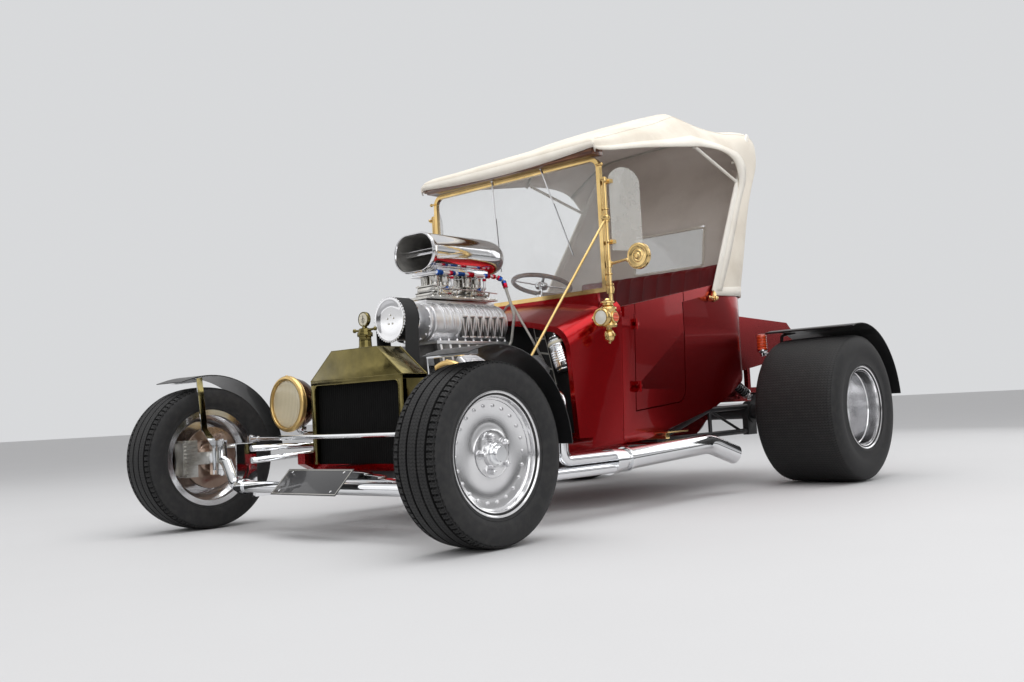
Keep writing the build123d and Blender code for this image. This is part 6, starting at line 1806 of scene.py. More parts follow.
@dataclass
class Radiator:
    """Brass radiator: pointed tank, soldered edges, mouth with a bead, filler neck, wings and dial."""

    front: float = 0.18
    rear: float = 0.31
    half: float = 0.286
    mouth: float = 0.262
    low: float = 0.262
    side: float = 0.606
    peak: float = 0.722
    peak_half: float = 0.14
    lip: float = 0.587
    bend: float = 0.022

    def arc(self) -> list[tuple[float, float]]:
        """The round upper corner of the mouth, from its side to its top.

        Returns:
            Distance across and height of each point.
        """
        turns = [math.pi / 2 * step / 8 for step in range(9)]
        x, z = self.mouth - self.bend, self.lip - self.bend
        return [(x + self.bend * math.cos(turn), z + self.bend * math.sin(turn)) for turn in turns]

    def shell(self, form: Form) -> None:
        """Adds the tank, the side walls and the strips beside the mouth."""
        deep = (0, self.rear - self.front, 0)
        tank = [
            (-self.half, self.lip), (self.half, self.lip), (self.half, self.side), (self.peak_half, self.peak),
            (-self.peak_half, self.peak), (-self.half, self.side),
        ]
        form.plate([at(x, self.front, z) for x, z in tank], deep, 0.0016)
        for side in (1, -1):
            rim, inside = side * self.half, side * (self.half - 0.003)
            strip = at(side * self.mouth, self.front, self.low)
            form.box(strip, at(rim, self.front + 0.022, self.lip + 0.002), 0.0012)
            form.box(at(inside, self.front, self.low), at(rim, self.rear, self.side), 0.001)
            corner = [(self.mouth + 0.001, self.lip + 0.001)] + self.arc()
            form.plate([at(side * x, self.front + 0.0005, z) for x, z in corner], (0, 0.02, 0))

    def beads(self, form: Form) -> None:
        """Adds the bead round the mouth and the soldered edges of the tank."""
        route = [(self.mouth, self.low + 0.002)] + self.arc()
        points = route + [(-x, z) for x, z in reversed(route)]
        form.tube([at(x, self.front + 0.0008, z) for x, z in points], 0.0030, False, 4)
        y = self.front + 0.0012
        form.tube([at(-self.half, y, self.side), at(self.half, y, self.side)], 0.0022, False, 3)
        edge = [
            (self.half, self.side), (self.peak_half, self.peak), (-self.peak_half, self.peak),
            (-self.half, self.side),
        ]
        for place in (y, self.rear - 0.0012):
            form.tube([at(x, place, z) for x, z in edge], 0.0018, False, 3)
        for x, z, radius in ((self.half - 0.001, self.side, 0.0022), (self.peak_half, self.peak - 0.0005, 0.0016)):
            for side in (1, -1):
                form.tube([at(side * x, self.front, z), at(side * x, self.rear, z)], radius, False, 3)

    def filler(self, form: Form) -> None:
        """Adds the neck, the cap with its wings and the dial."""
        middle = (self.front + self.rear) / 2
        neck = [
            (0.0, -0.001), (0.034, -0.001), (0.0335, 0.003), (0.029, 0.006), (0.0265, 0.012), (0.0248, 0.045),
            (0.0262, 0.049), (0.0305, 0.050), (0.0318, 0.053), (0.0318, 0.064), (0.0302, 0.067), (0.0265, 0.068),
            (0.0255, 0.078), (0.023, 0.083), (0.012, 0.086), (0.0085, 0.092), (0.0085, 0.099), (0.0, 0.099),
        ]
        form.turned(neck, at(0, middle, self.peak), UP, 48)
        for side in (1, -1):
            wing = [
                (0.0, 0.0), (0.007, 0.0), (0.0055, 0.012), (0.0048, 0.028), (0.0055, 0.036), (0.0085, 0.041),
                (0.0085, 0.045), (0.005, 0.049), (0.0, 0.049),
            ]
            form.turned(wing, at(side * 0.022, middle, self.peak + 0.0755), (side, 0, 0.06), 20)
        centre = at(0, middle, self.peak + 0.1205)
        ring = [
            (0.0, -0.0075), (0.026, -0.0075), (0.0295, -0.0085), (0.0305, -0.006), (0.0305, 0.006), (0.0295, 0.0085),
            (0.026, 0.0075), (0.0, 0.0075),
        ]
        form.turned(ring, centre, BACK, 48)
        for way in (1, -1):
            card = [centre + Vector((0, way * depth, 0)) for depth in (0.0074, 0.0079)]
            form.paint(1).rod(*card, 0.0255, sides=40)
            needle = [centre + Vector((0, way * 0.0084, z)) for z in (-0.017, 0.015)]
            form.paint(2).beam(*needle, 0.003, 0.0008, BACK)
            form.torus(centre + Vector((0, way * 0.0082, -0.004)), BACK, 0.0085, 0.0007, 32, 6)
        form.paint(0)

    def build(self) -> None:
        """Builds the radiator's brass."""
        form = Form()
        self.shell(form)
        self.beads(form)
        self.filler(form)
        form.piece("radiator_brass", [OLD_BRASS, CARD, DASH], "chassis", ["radiator_shell"], 30)


@dataclass
class Headlamps:
    """Both headlamps: brass rim, dark bucket, reflector, domed fluted lens and chrome stalk."""

    x: float = 0.5
    y: float = 0.262
    z: float = 0.521

    def build(self) -> None:
        """Builds the lamps and their lenses."""
        start = at(self.x, self.y - 0.062, self.z)
        along = (0, 1, 0)
        form = Form()
        rim = [
            (0.1035, 0.013), (0.1035, 0.004), (0.1052, 0.001), (0.109, 0.0), (0.1145, 0.001), (0.119, 0.0045),
            (0.1222, 0.011), (0.1225, 0.018), (0.1205, 0.024), (0.1165, 0.0275), (0.1125, 0.0285), (0.1035, 0.0285),
            (0.1035, 0.013),
        ]
        form.turned(rim, start, along, 96)
        form.torus(start + Vector((0, 0.0295, 0)), along, 0.1145, 0.0018, 96, 8)
        bucket = [
            (0.1130, 0.028), (0.1135, 0.034), (0.1105, 0.052), (0.103, 0.078), (0.090, 0.099), (0.070, 0.116),
            (0.045, 0.1255), (0.022, 0.1295), (0.0, 0.130), (0.0, 0.127), (0.068, 0.113), (0.1010, 0.076),
            (0.1085, 0.050), (0.110, 0.028), (0.1130, 0.028),
        ]
        form.paint(1).turned(bucket, start, along, 96)
        dish = [
            (0.103, 0.0145), (0.096, 0.030), (0.078, 0.048), (0.05, 0.060), (0.02, 0.065), (0.0, 0.066), (0.0, 0.068),
            (0.08, 0.052), (0.1075, 0.0145),
        ]
        form.paint(2).turned(dish, start, along, 64)
        form.ball(start + Vector((0, 0.034, 0)), 0.011, rings=12)
        form.rod(start + Vector((0, 0.034, 0)), start + Vector((0, 0.066, 0)), 0.009, sides=20)
        form.paint(0).nut(start + Vector((0, 0.014, 0.1215)), UP, 0.005, 0.003)
        y, z = self.y, self.z
        stalk = [
            at(self.x, y + 0.018, z - 0.085), at(self.x, y + 0.03, z - 0.131), at(0.33, y + 0.038, z - 0.136),
            at(0.33, y + 0.038, 0.312),
        ]
        form.paint(3).pipe(stalk, 0.0108, 0.02, 10)
        cup = [(0.0, 0.0), (0.022, 0.002), (0.0235, 0.012), (0.019, 0.022), (0.0135, 0.028), (0.0, 0.028)]
        form.turned(cup, at(self.x, y + 0.020, z - 0.0985), (0, -0.1, -1), 32)
        form.nut(at(self.x, y + 0.0235, z - 0.126), (0, -0.1, -1), 0.0165, 0.008)
        form.box(at(0.312, y + 0.018, 0.3103), at(0.348, y + 0.058, 0.318), 0.002)
        for across in (-0.011, 0.011):
            form.nut(at(0.33 + across, y + 0.026, 0.318), UP, 0.0048, 0.004)
        collar = [(0.0108, 0.0), (0.0175, 0.0), (0.0155, 0.010), (0.0108, 0.014)]
        form.turned(collar, at(0.33, y + 0.038, 0.318), UP, 28)
        form.mirrored()
        form.piece("headlamp_shells", [LAMP_BRASS, BUCKET, REFLECTOR, CHROME], "chassis", ["headlamps"], 35)
        lens = Form()
        turns = [i / 12 * math.pi / 2 for i in range(13)]
        dome = [(0.1032 * math.sin(turn), 0.0125 - 0.0085 * math.cos(turn)) for turn in turns]
        back = [(r, y + 0.0028) for r, y in reversed(dome)]
        lens.turned(dome + back, start, along, 96)
        lens.mirrored()
        lens.piece("headlamp_glasses", LENS, "chassis", ["headlamp_lenses"], 50)


@dataclass
class SmallLamps:
    """Cowl lamps, tail lamps and the blank number plate."""

    def cowl(self) -> None:
        """Builds the cowl lamps with their bezels, chimneys and founts."""
        form = Form()
        centre = at(0.592, 1.096, 0.817)
        up = (0, 0, 1)
        body = [
            (0.0, -0.043), (0.034, -0.043), (0.0375, -0.040), (0.038, -0.034), (0.0355, -0.030), (0.0355, 0.032),
            (0.038, 0.036), (0.0378, 0.042), (0.034, 0.046), (0.025, 0.050), (0.0222, 0.054), (0.0222, 0.060),
            (0.030, 0.062), (0.0312, 0.065), (0.030, 0.069), (0.019, 0.072), (0.013, 0.077), (0.0095, 0.083),
            (0.0, 0.084),
        ]
        form.turned(body, centre, up, 48)
        bezel = [
            (0.0, 0.0), (0.030, 0.0), (0.034, 0.018), (0.038, 0.024), (0.041, 0.034), (0.042, 0.044), (0.0405, 0.053),
            (0.0375, 0.0575), (0.034, 0.0578), (0.0325, 0.054), (0.0, 0.053),
        ]
        form.turned(bezel, centre, AHEAD, 56)
        jewel = [(0.0, 0.0), (0.024, 0.0), (0.026, 0.006), (0.026, 0.012), (0.022, 0.015), (0.0, 0.015)]
        form.turned(jewel, centre + Vector((0.026, 0, 0)), ACROSS, 36)
        fount = [
            (0.0, 0.0), (0.014, 0.0), (0.0135, 0.012), (0.017, 0.016), (0.023, 0.028), (0.0245, 0.042),
            (0.021, 0.055),
            (0.012, 0.063), (0.006, 0.066), (0.0055, 0.071), (0.0, 0.072),
        ]
        form.turned(fount, centre + Vector((0, 0, -0.0395)), (0, 0, -1), 40)
        form.rod(
            centre + Vector((0.022, 0, -0.075)), centre + Vector((0.032, 0, -0.075)), 0.006, sides=16, bevel=0.001,
        )
        handle = ((0.03, 0.068), (0.045, 0.058), (0.045, -0.02), (0.034, -0.032))
        form.tube([centre + Vector((0, y, z)) for y, z in handle], 0.0022, True, 4)
        form.rod(centre + Vector((-0.036, 0, 0)), at(0.51, 1.096, 0.8215), 0.009, sides=24)
        form.rod(at(0.556, 1.096, 0.819), at(0.549, 1.096, 0.8195), 0.017, sides=28, bevel=0.002)
        form.paint(1)
        for radius in (0.031, 0.0235, 0.016, 0.0085):
            ring = [(0.0, 0.0), (radius, 0.0), (radius - 0.003, 0.0022), (0.0, 0.0026)]
            form.turned(ring, centre + Vector((0, -0.0526 - (0.031 - radius) * 0.09, 0)), AHEAD, 40)
        form.paint(2).rod(
            centre + Vector((0.0405, 0, 0)), centre + Vector((0.0418, 0, 0)), 0.0195, sides=32, bevel=0.0005,
        )
        form.mirrored()
        form.piece("cowl_lamp_pair", [BRASS, LAMP_GLASS, TAIL], "chassis", ["cowl_lamps"], 32)

    def tail(self) -> None:
        """Builds the tail lamps on their arms."""
        form = Form()
        place = at(0.577, 2.44, 0.69)
        lens = [(0.0, -0.001), (0.024, -0.001)]
        for step in range(7):
            z = 0.004 + step * 0.0104
            lens += [(0.0262, z), (0.0268, z + 0.004), (0.0236, z + 0.0072)]
        lens += [(0.024, 0.0785), (0.018, 0.0815), (0.0, 0.082)]
        form.turned(lens, place, UP, 40)
        base = [
            (0.0, -0.034), (0.009, -0.034), (0.011, -0.026), (0.012, -0.018), (0.02, -0.012), (0.0275, -0.008),
            (0.0275, -0.0005), (0.0, -0.0005),
        ]
        form.paint(1).turned(base, place, UP, 40)
        form.pipe([at(0.577, 2.44, 0.662), at(0.577, 2.46, 0.668), at(0.577, 2.6305, 0.668)], 0.0068, 0.01)
        form.rod(at(0.577, 2.44, 0.655), at(0.577, 2.44, 0.675), 0.0105, sides=24, bevel=0.001)
        form.mirrored()
        form.piece("tail_lamp_pair", [TAIL, CHROME], "chassis", ["tail_lamps"], 32)

    def plate(self) -> None:
        """Builds the number plate, blank inside its raised border."""
        form = Form()
        turn = Matrix.Rotation(math.radians(-46), 3, "X")
        middle = at(0, -0.05, 0.212)

        def slab(low: Point, high: Point, bevel: float) -> None:
            """Adds a box in the plate's own axes."""
            low, high = Vector(low), Vector(high)
            centre = middle + turn @ ((low + high) / 2)
            half = (high - low) / 2
            form.box(centre - half, centre + half, bevel, turn)

        slab((-0.2015, -0.0006, -0.0655), (0.2015, 0.0014, 0.0655), 0.0006)
        form.paint(1)
        for side in (1, -1):
            slab((-0.1955, -0.0016, side * 0.0595 - 0.0017), (0.1955, -0.0004, side * 0.0595 + 0.0017), 0.0004)
            slab((side * 0.1955 - 0.0017, -0.0016, -0.0595), (side * 0.1955 + 0.0017, -0.0004, 0.0595), 0.0004)
        form.paint(2)
        for x, z in ((-0.16, -0.047), (0.16, -0.047), (-0.16, 0.047), (0.16, 0.047)):
            spot = middle + turn @ Vector((x, -0.0012, z))
            form.nut(spot, turn @ Vector((0, -1, 0)), 0.0055, 0.0028)
        form.piece("number_plate_blank", [PLATE, BORDER, CHROME], "chassis", ["number_plate"], 35)

    def build(self) -> None:
        """Builds the small lamps and the plate."""
        self.cowl()
        self.tail()
        self.plate()


@dataclass
class ScreenTrim:
    """Beads, clamps and knobs on the windscreen's posts, the mirror's rings and both wipers."""

    y: float = 1.185
    post: float = 0.546

    def build(self) -> None:
        """Builds the trim."""
        form = Form()
        collars = ((0.944, 0.019), (0.966, 0.0165), (1.012, 0.0135), (1.245, 0.0135), (1.30, 0.013), (1.434, 0.0125))
        for z, wide in collars:
            collar = [(0.0085, 0.0), (wide, 0.002), (wide, 0.008), (0.0085, 0.010)]
            form.turned(collar, at(self.post, self.y, z), UP, 36)
        knob = [(0.0, 0.0), (0.0115, 0.0), (0.0135, 0.004), (0.012, 0.010), (0.006, 0.013), (0.0, 0.014)]
        form.turned(knob, at(self.post, self.y - 0.014, 1.266), AHEAD, 28)
        form.rod(
            at(self.post - 0.03, self.y - 0.012, 1.505), at(self.post - 0.004, self.y - 0.012, 1.505), 0.005,
            sides=18,
        )
        form.ball(at(self.post - 0.002, self.y - 0.012, 1.505), 0.0085, rings=10)
        form.beam(
            at(self.post - 0.03, self.y - 0.004, 1.43), at(self.post - 0.03, self.y - 0.004, 1.52), 0.010, 0.006,
            BACK, 0.002,
        )
        x = self.post + 0.013
        for z in (1.158, 1.428):
            form.rod(
                at(x, self.y + 0.013, z - 0.010), at(x, self.y + 0.013, z + 0.010), 0.0115, sides=24, bevel=0.002,
            )
            form.rod(at(x, self.y + 0.002, z), at(x, self.y - 0.012, z), 0.0045, sides=16)
            form.ball(at(x, self.y - 0.014, z), 0.0075, rings=10)
        form.mirrored()
        face = at(0.70, self.y + 0.0012, 1.077)
        rings = [
            (0.0, -0.0045), (0.010, -0.0040), (0.013, -0.0015), (0.017, -0.0005), (0.021, -0.0030), (0.0245, -0.0030),
            (0.027, -0.0006),
            (0.036, -0.0002), (0.041, -0.0026), (0.046, -0.0030), (0.0525, -0.0018), (0.0562, 0.0012),
            (0.0568, 0.004), (0.0, 0.0042),
        ]
        form.turned(rings, face, BACK, 64)
        form.torus(at(0.70, self.y + 0.018, 1.077), BACK, 0.0545, 0.0022, 64, 8)
        form.ball(at(0.644, self.y + 0.003, 1.066), 0.0085, rings=10)
        form.paint(1).rod(at(0.70, self.y + 0.0189, 1.077), at(0.70, self.y + 0.0196, 1.077), 0.0525, sides=56)
        front = self.y - 0.0135
        wipers = (((-0.115, 1.553), (-0.087, 1.106), 0.0), ((0.192, 1.557), (0.358, 1.126), 0.38))
        for top, low, blade in wipers:
            start, end = at(top[0], front, top[1]), at(low[0], front, low[1])
            form.paint(2).rod(
                start + Vector(BACK) * 0.012, start - Vector(BACK) * 0.006, 0.009, sides=24, bevel=0.001,
            )
            form.beam(start, start.lerp(end, 0.42), 0.0062, 0.0028, BACK, 0.0008)
            form.rod(start.lerp(end, 0.4), end, 0.0019, 0.0015, sides=12)
            if blade:
                form.beam(start.lerp(end, blade), end, 0.0045, 0.003, BACK, 0.001)
            behind = Vector(BACK) * 0.004
            form.paint(3).beam(start.lerp(end, 0.42) + behind, end + behind, 0.0018, 0.0055, BACK)
        form.piece("windscreen_trim", [BRASS, REFLECTOR, POLISHED, BELT], "chassis", (), 35)


# Studio and camera


@dataclass
class Cushion:
    """A stuffed seat piece: swollen by a short cloth simulation, then sewn in rolls."""

    node: str
    outline: Sequence[tuple[float, float]]
    half: float
    face: Point
    resting: Sequence[int]
    fill: float = 0.7
    shrink: float = 0.011
    cap: float = 0.024
    swell: float = 0.01
    voxel: float = 0.0085
    pitch: float = 0.0895
    sewn: float = 0.009
    frames: int = 20

    def start(self) -> bpy.types.Object:
        """Makes the unswollen shape, slightly smaller than the room it has.

        Returns:
            An object with its remeshed skin.
        """
        ys, zs = zip(*self.outline)
        centre = Vector((0, sum(ys), sum(zs))) / len(self.outline)
        deep, room = max(ys) - min(ys), max(zs) - min(zs)
        lean = Vector((0, 1 - 2 * self.shrink / deep, 1 - 2 * self.shrink / room))
        half = self.half - self.shrink
        points = []
        for y, z in self.outline:
            away = Vector((0, y, z)) - centre
            points.append(at(-half, centre.y + away.y * lean.y, centre.z + away.z * lean.z))
        form = Form().plate(points, (2 * half, 0, 0), 0.022, 4)
        mesh = bpy.data.meshes.new("pad")
        form.bm.to_mesh(mesh)
        form.bm.free()
        pad = bpy.data.objects.new("pad", mesh)
        bpy.context.scene.collection.objects.link(pad)
        remesh = pad.modifiers.new("even", "REMESH")
        remesh.mode = "VOXEL"
        remesh.voxel_size = self.voxel
        self.settle(pad)
        return pad

    @staticmethod
    def settle(pad: bpy.types.Object) -> None:
        """Replaces an object's mesh by what its modifiers make of it."""
        bpy.context.view_layer.update()
        mesh = bpy.data.meshes.new_from_object(pad.evaluated_get(bpy.context.evaluated_depsgraph_get()))
        pad.modifiers.clear()
        old = pad.data
        pad.data = mesh
        bpy.data.meshes.remove(old)

    def puff(self, pad: bpy.types.Object) -> None:
        """Swells the pad by cloth under pressure, with a cap on how far each point moves."""
        scene = bpy.context.scene
        first = [vertex.co.copy() for vertex in pad.data.vertices]
        cloth = pad.modifiers.new("stuffing", "CLOTH")
        settings = {
            "quality": 4, "mass": 0.3, "tension_stiffness": 12, "compression_stiffness": 12,
            "bending_stiffness": 0.6, "use_pressure": True, "uniform_pressure_force": 4,
        }
        for name, value in settings.items():
            setattr(cloth.settings, name, value)
        cloth.settings.effector_weights.gravity = 0
        cloth.point_cache.frame_end = self.frames
        for frame in range(1, self.frames + 1):
            scene.frame_set(frame)
        self.settle(pad)
        scene.frame_set(1)
        for vertex, before in zip(pad.data.vertices, first):
            moved = vertex.co - before
            if moved.length > self.cap:
                vertex.co = before + moved * (self.cap / moved.length)

    def hold(self, pad: bpy.types.Object) -> None:
        """Keeps the pad within its room: flat where it rests, a little proud elsewhere."""
        points = [at(0, y, z) for y, z in self.outline]
        centre = sum(points, Vector()) / len(points)
        planes = []
        for index, (one, two) in enumerate(zip(points, points[1:] + points[:1])):
            out = (two - one).cross(Vector(ACROSS)).normalized()
            if out.dot(one - centre) < 0:
                out.negate()
            planes.append((one, out, 0.0 if index in self.resting else self.swell))
        for vertex in pad.data.vertices:
            for place, out, limit in planes:
                over = (vertex.co - place).dot(out) - limit
                if over > 0:
                    vertex.co -= out * over
            vertex.co.x = max(-self.half, min(self.half, vertex.co.x))

    def sew(self, pad: bpy.types.Object) -> None:
        """Presses the stitched valleys between the rolls into the face."""
        smooth = pad.modifiers.new("round", "SUBSURF")
        smooth.levels = smooth.render_levels = 1
        self.settle(pad)
        face = Vector(self.face)
        normals = [vertex.normal.copy() for vertex in pad.data.vertices]
        for vertex, normal in zip(pad.data.vertices, normals):
            share = max(0.0, min(1.0, (normal.dot(face) - 0.1) / 0.5))
            edge = max(0.0, min(1.0, (self.half - 0.03 - abs(vertex.co.x)) / 0.02))
            across = abs((vertex.co.x / self.pitch) % 1.0 - 0.5) * 2
            vertex.co -= normal * (self.sewn * share * edge * (1 - math.sqrt(max(0.0, 1 - (across * 0.98) ** 2))))

    def build(self) -> None:
        """Builds the cushion."""
        pad = self.start()
        self.puff(pad)
        self.hold(pad)
        self.sew(pad)
        mesh = pad.data
        bpy.data.objects.remove(pad)
        piece = publish(mesh, self.node + "_pad", [LEATHER], "chassis", [self.node], 80)


@dataclass
class Coilovers:
    """Both coil-over dampers: black spring, silver damper, rod and eyes."""

    x: float = 0.396
    top: tuple[float, float] = (2.378, 0.556)
    low: tuple[float, float] = (2.6, 0.446)
    turns: int = 8

    def build(self) -> None:
        """Builds the pair."""
        top, low = at(self.x, *self.top), at(self.x, *self.low)
        unit = (low - top).normalized()
        reach = (low - top).length
        side = unit.cross(Vector(ACROSS)).normalized()
        form = Form()
        form.rod(top, low, 0.0105, bevel=0.001)
        form.rod(top + unit * (reach * 0.42), top + unit * (reach * 0.86), 0.018, sides=32, bevel=0.002)
        radius = 0.0278
        for share in (0.10, 0.80):
            start = top + unit * (reach * share)
            seat = [
                (0.0, 0.0), (radius - 0.002, 0.0), (radius, 0.0015), (radius, 0.0045), (radius - 0.002, 0.006),
                (0.0, 0.006),
            ]
            form.turned(seat, start, unit, 40)
        eye = [(0.0083, -0.012), (0.0150, -0.012), (0.0150, 0.012), (0.0083, 0.012), (0.0083, -0.012)]
        for place in (top, low):
            form.turned(eye, place, ACROSS, 32)
        form.paint(1)
        count = self.turns * 18
        helix = []
        for i in range(count + 1):
            angle = math.tau * i / 18
            share = 0.135 + (0.795 - 0.135) * i / count
            spoke = Vector(ACROSS) * math.cos(angle) + side * math.sin(angle)
            helix.append(top + unit * (reach * share) + spoke * 0.0232)
        form.tube(helix, 0.0042, False, 2)
        form.mirrored()
        form.piece("coil_springs", [POLISHED, BLACK], "chassis", ["coilovers"], 40)


@dataclass
class SteeringWheel:
    """Wood-rimmed wheel with four pierced chrome spokes and a plain boss."""

    centre: Point = (-0.275, 1.69, 1.092)
    tilt: float = 16.0
    radius: float = 0.152

    def build(self) -> None:
        """Builds the wheel."""
        lean = math.radians(self.tilt)
        centre = at(*self.centre)
        up = Vector((0, math.sin(lean), math.cos(lean)))
        fore = Vector((0, math.cos(lean), -math.sin(lean)))
        form = Form()
        form.torus(centre, up, self.radius, 0.0118, 96, 20)
        form.paint(1)
        boss = [
            (0.0101, -0.02), (0.030, -0.02), (0.034, -0.012), (0.034, 0.002), (0.030, 0.0075), (0.016, 0.008),
            (0.0, 0.008),
        ]
        form.turned(boss, centre, up, 48)
        form.turned([(0.0, 0.0075), (0.017, 0.0075), (0.015, 0.011), (0.0, 0.012)], centre, up, 40)
        for angle in (math.radians(45 + 90 * number) for number in range(4)):
            way = Vector((math.cos(angle), 0, 0)) + fore * math.sin(angle)
            tip = centre + way * (self.radius - 0.002)
            form.paint(1).beam(centre + way * 0.026 - up * 0.003, tip, 0.0145, 0.0042, up, 0.001)
            form.nut(centre + way * 0.024 + up * 0.0073, up, 0.0036, 0.0024, 12)
            form.paint(2)
            for share in (0.42, 0.58, 0.74):
                spot = centre + way * (self.radius * share) - up * 0.0012
                form.rod(spot - up * 0.0029, spot + up * 0.0029, 0.0036, sides=16)
        form.piece("steering_rim", [WOOD, CHROME, SATIN], "steering_wheel", ["steering_wheel"], 40)


@dataclass
class Gauges:
    """Five round gauges with bezels, plain dials and needles on the dash's face."""

    y: float = 1.242
    z: float = 0.865
    places: Sequence[tuple[float, float]] = ((-0.36, 0.03), (-0.19, 0.045), (-0.03, 0.03), (0.10, 0.03), (0.23, 0.03))

    def build(self) -> None:
        """Builds the gauges."""
        form = Form()
        for index, (x, radius) in enumerate(self.places):
            spot = at(x, self.y, self.z)
            bezel = [
                (radius - 0.004, 0.001), (radius - 0.004, 0.006), (radius - 0.001, 0.0075), (radius + 0.003, 0.006),
                (radius + 0.004, 0.0),
            ]
            form.paint(0).turned(bezel, spot, BACK, 40)
            form.paint(1).rod(spot, spot + Vector((0, 0.002, 0)), radius - 0.003, sides=40)
            form.paint(2)
            # Eleven ticks, then the needle: angle, start, end, height over the dial and width
            strokes = [(-135 + 27 * tick, radius * 0.7, radius * 0.82, 0.0022, 0.0012) for tick in range(11)]
            strokes.append((-70 + 25 * index, -0.004, radius * 0.66, 0.0032, 0.0016))
            for angle, start, end, high, wide in strokes:
                turn = math.radians(angle)
                way = Vector((math.sin(turn), 0, math.cos(turn)))
                base = spot + Vector((0, high, 0))
                form.beam(base + way * start, base + way * end, wide, 0.0006, BACK)
            form.rod(spot, spot + Vector((0, 0.0045, 0)), 0.003, sides=16)
        form.piece("gauges", [CHROME, SATIN, BORDER], "chassis")


@dataclass
class FirewallFittings:
    """The chrome canister's ribs, caps, white ring and clips, and the loom's pale edges."""

    low: Point = (0.405, 1.026, 0.6)
    top: Point = (0.355, 1.026, 0.76)
    radius: float = 0.046
    loom_y: float = 1.0672
    loom: Sequence[tuple[float, float]] = ((0.189, 0.829), (0.242, 0.824), (0.308, 0.546), (0.24, 0.561))

    def build(self) -> None:
        """Builds the fittings."""
        low, top = at(*self.low), at(*self.top)
        unit = (top - low).normalized()
        length = (top - low).length
        edge = self.radius
        form = Form()
        outline = [(0.0, -0.0006), (edge * 0.55, 0.001), (edge * 0.86, 0.008), (edge, 0.024)]
        for share in (0.3, 0.36, 0.42, 0.48, 0.54):
            height = length * share
            outline += [(edge + 0.0002, height - 0.004), (edge + 0.003, height), (edge + 0.0002, height + 0.004)]
        outline += [
            (edge, length - 0.024), (edge * 0.86, length - 0.008), (edge * 0.55, length - 0.001),
            (0.0, length + 0.0006),
        ]
        form.turned(outline, low, unit, 56)
        for share in (0.24, 0.7):
            form.torus(low + unit * (length * share), unit, edge + 0.001, 0.002, 56, 8)
        form.rod(top - unit * 0.002, top + unit * 0.014, 0.011, bevel=0.002)
        ring = [(edge - 0.001, -0.005), (edge + 0.0022, -0.005), (edge + 0.0022, 0.005), (edge - 0.001, 0.005)]
        form.paint(1).turned(ring, low + unit * (length * 0.78), unit, 56)
        form.paint(2)
        form.plate([at(x, self.loom_y, z) for x, z in self.loom], (0, 0.009, 0), 0.002)
        form.paint(3)
        points = [at(x, self.loom_y - 0.0004, z) for x, z in self.loom]
        edges = ((points[0], points[3]), (points[1], points[2]))
        for pair in edges:
            form.tube(pair, 0.0022, False, 3)
        for share in (0.25, 0.5, 0.75):
            form.beam(*(one.lerp(two, share) for one, two in edges), 0.008, 0.002, BACK, 0.0006)
        form.piece("firewall_fittings", [CHROME, CARD, BELT, BORDER], "chassis")


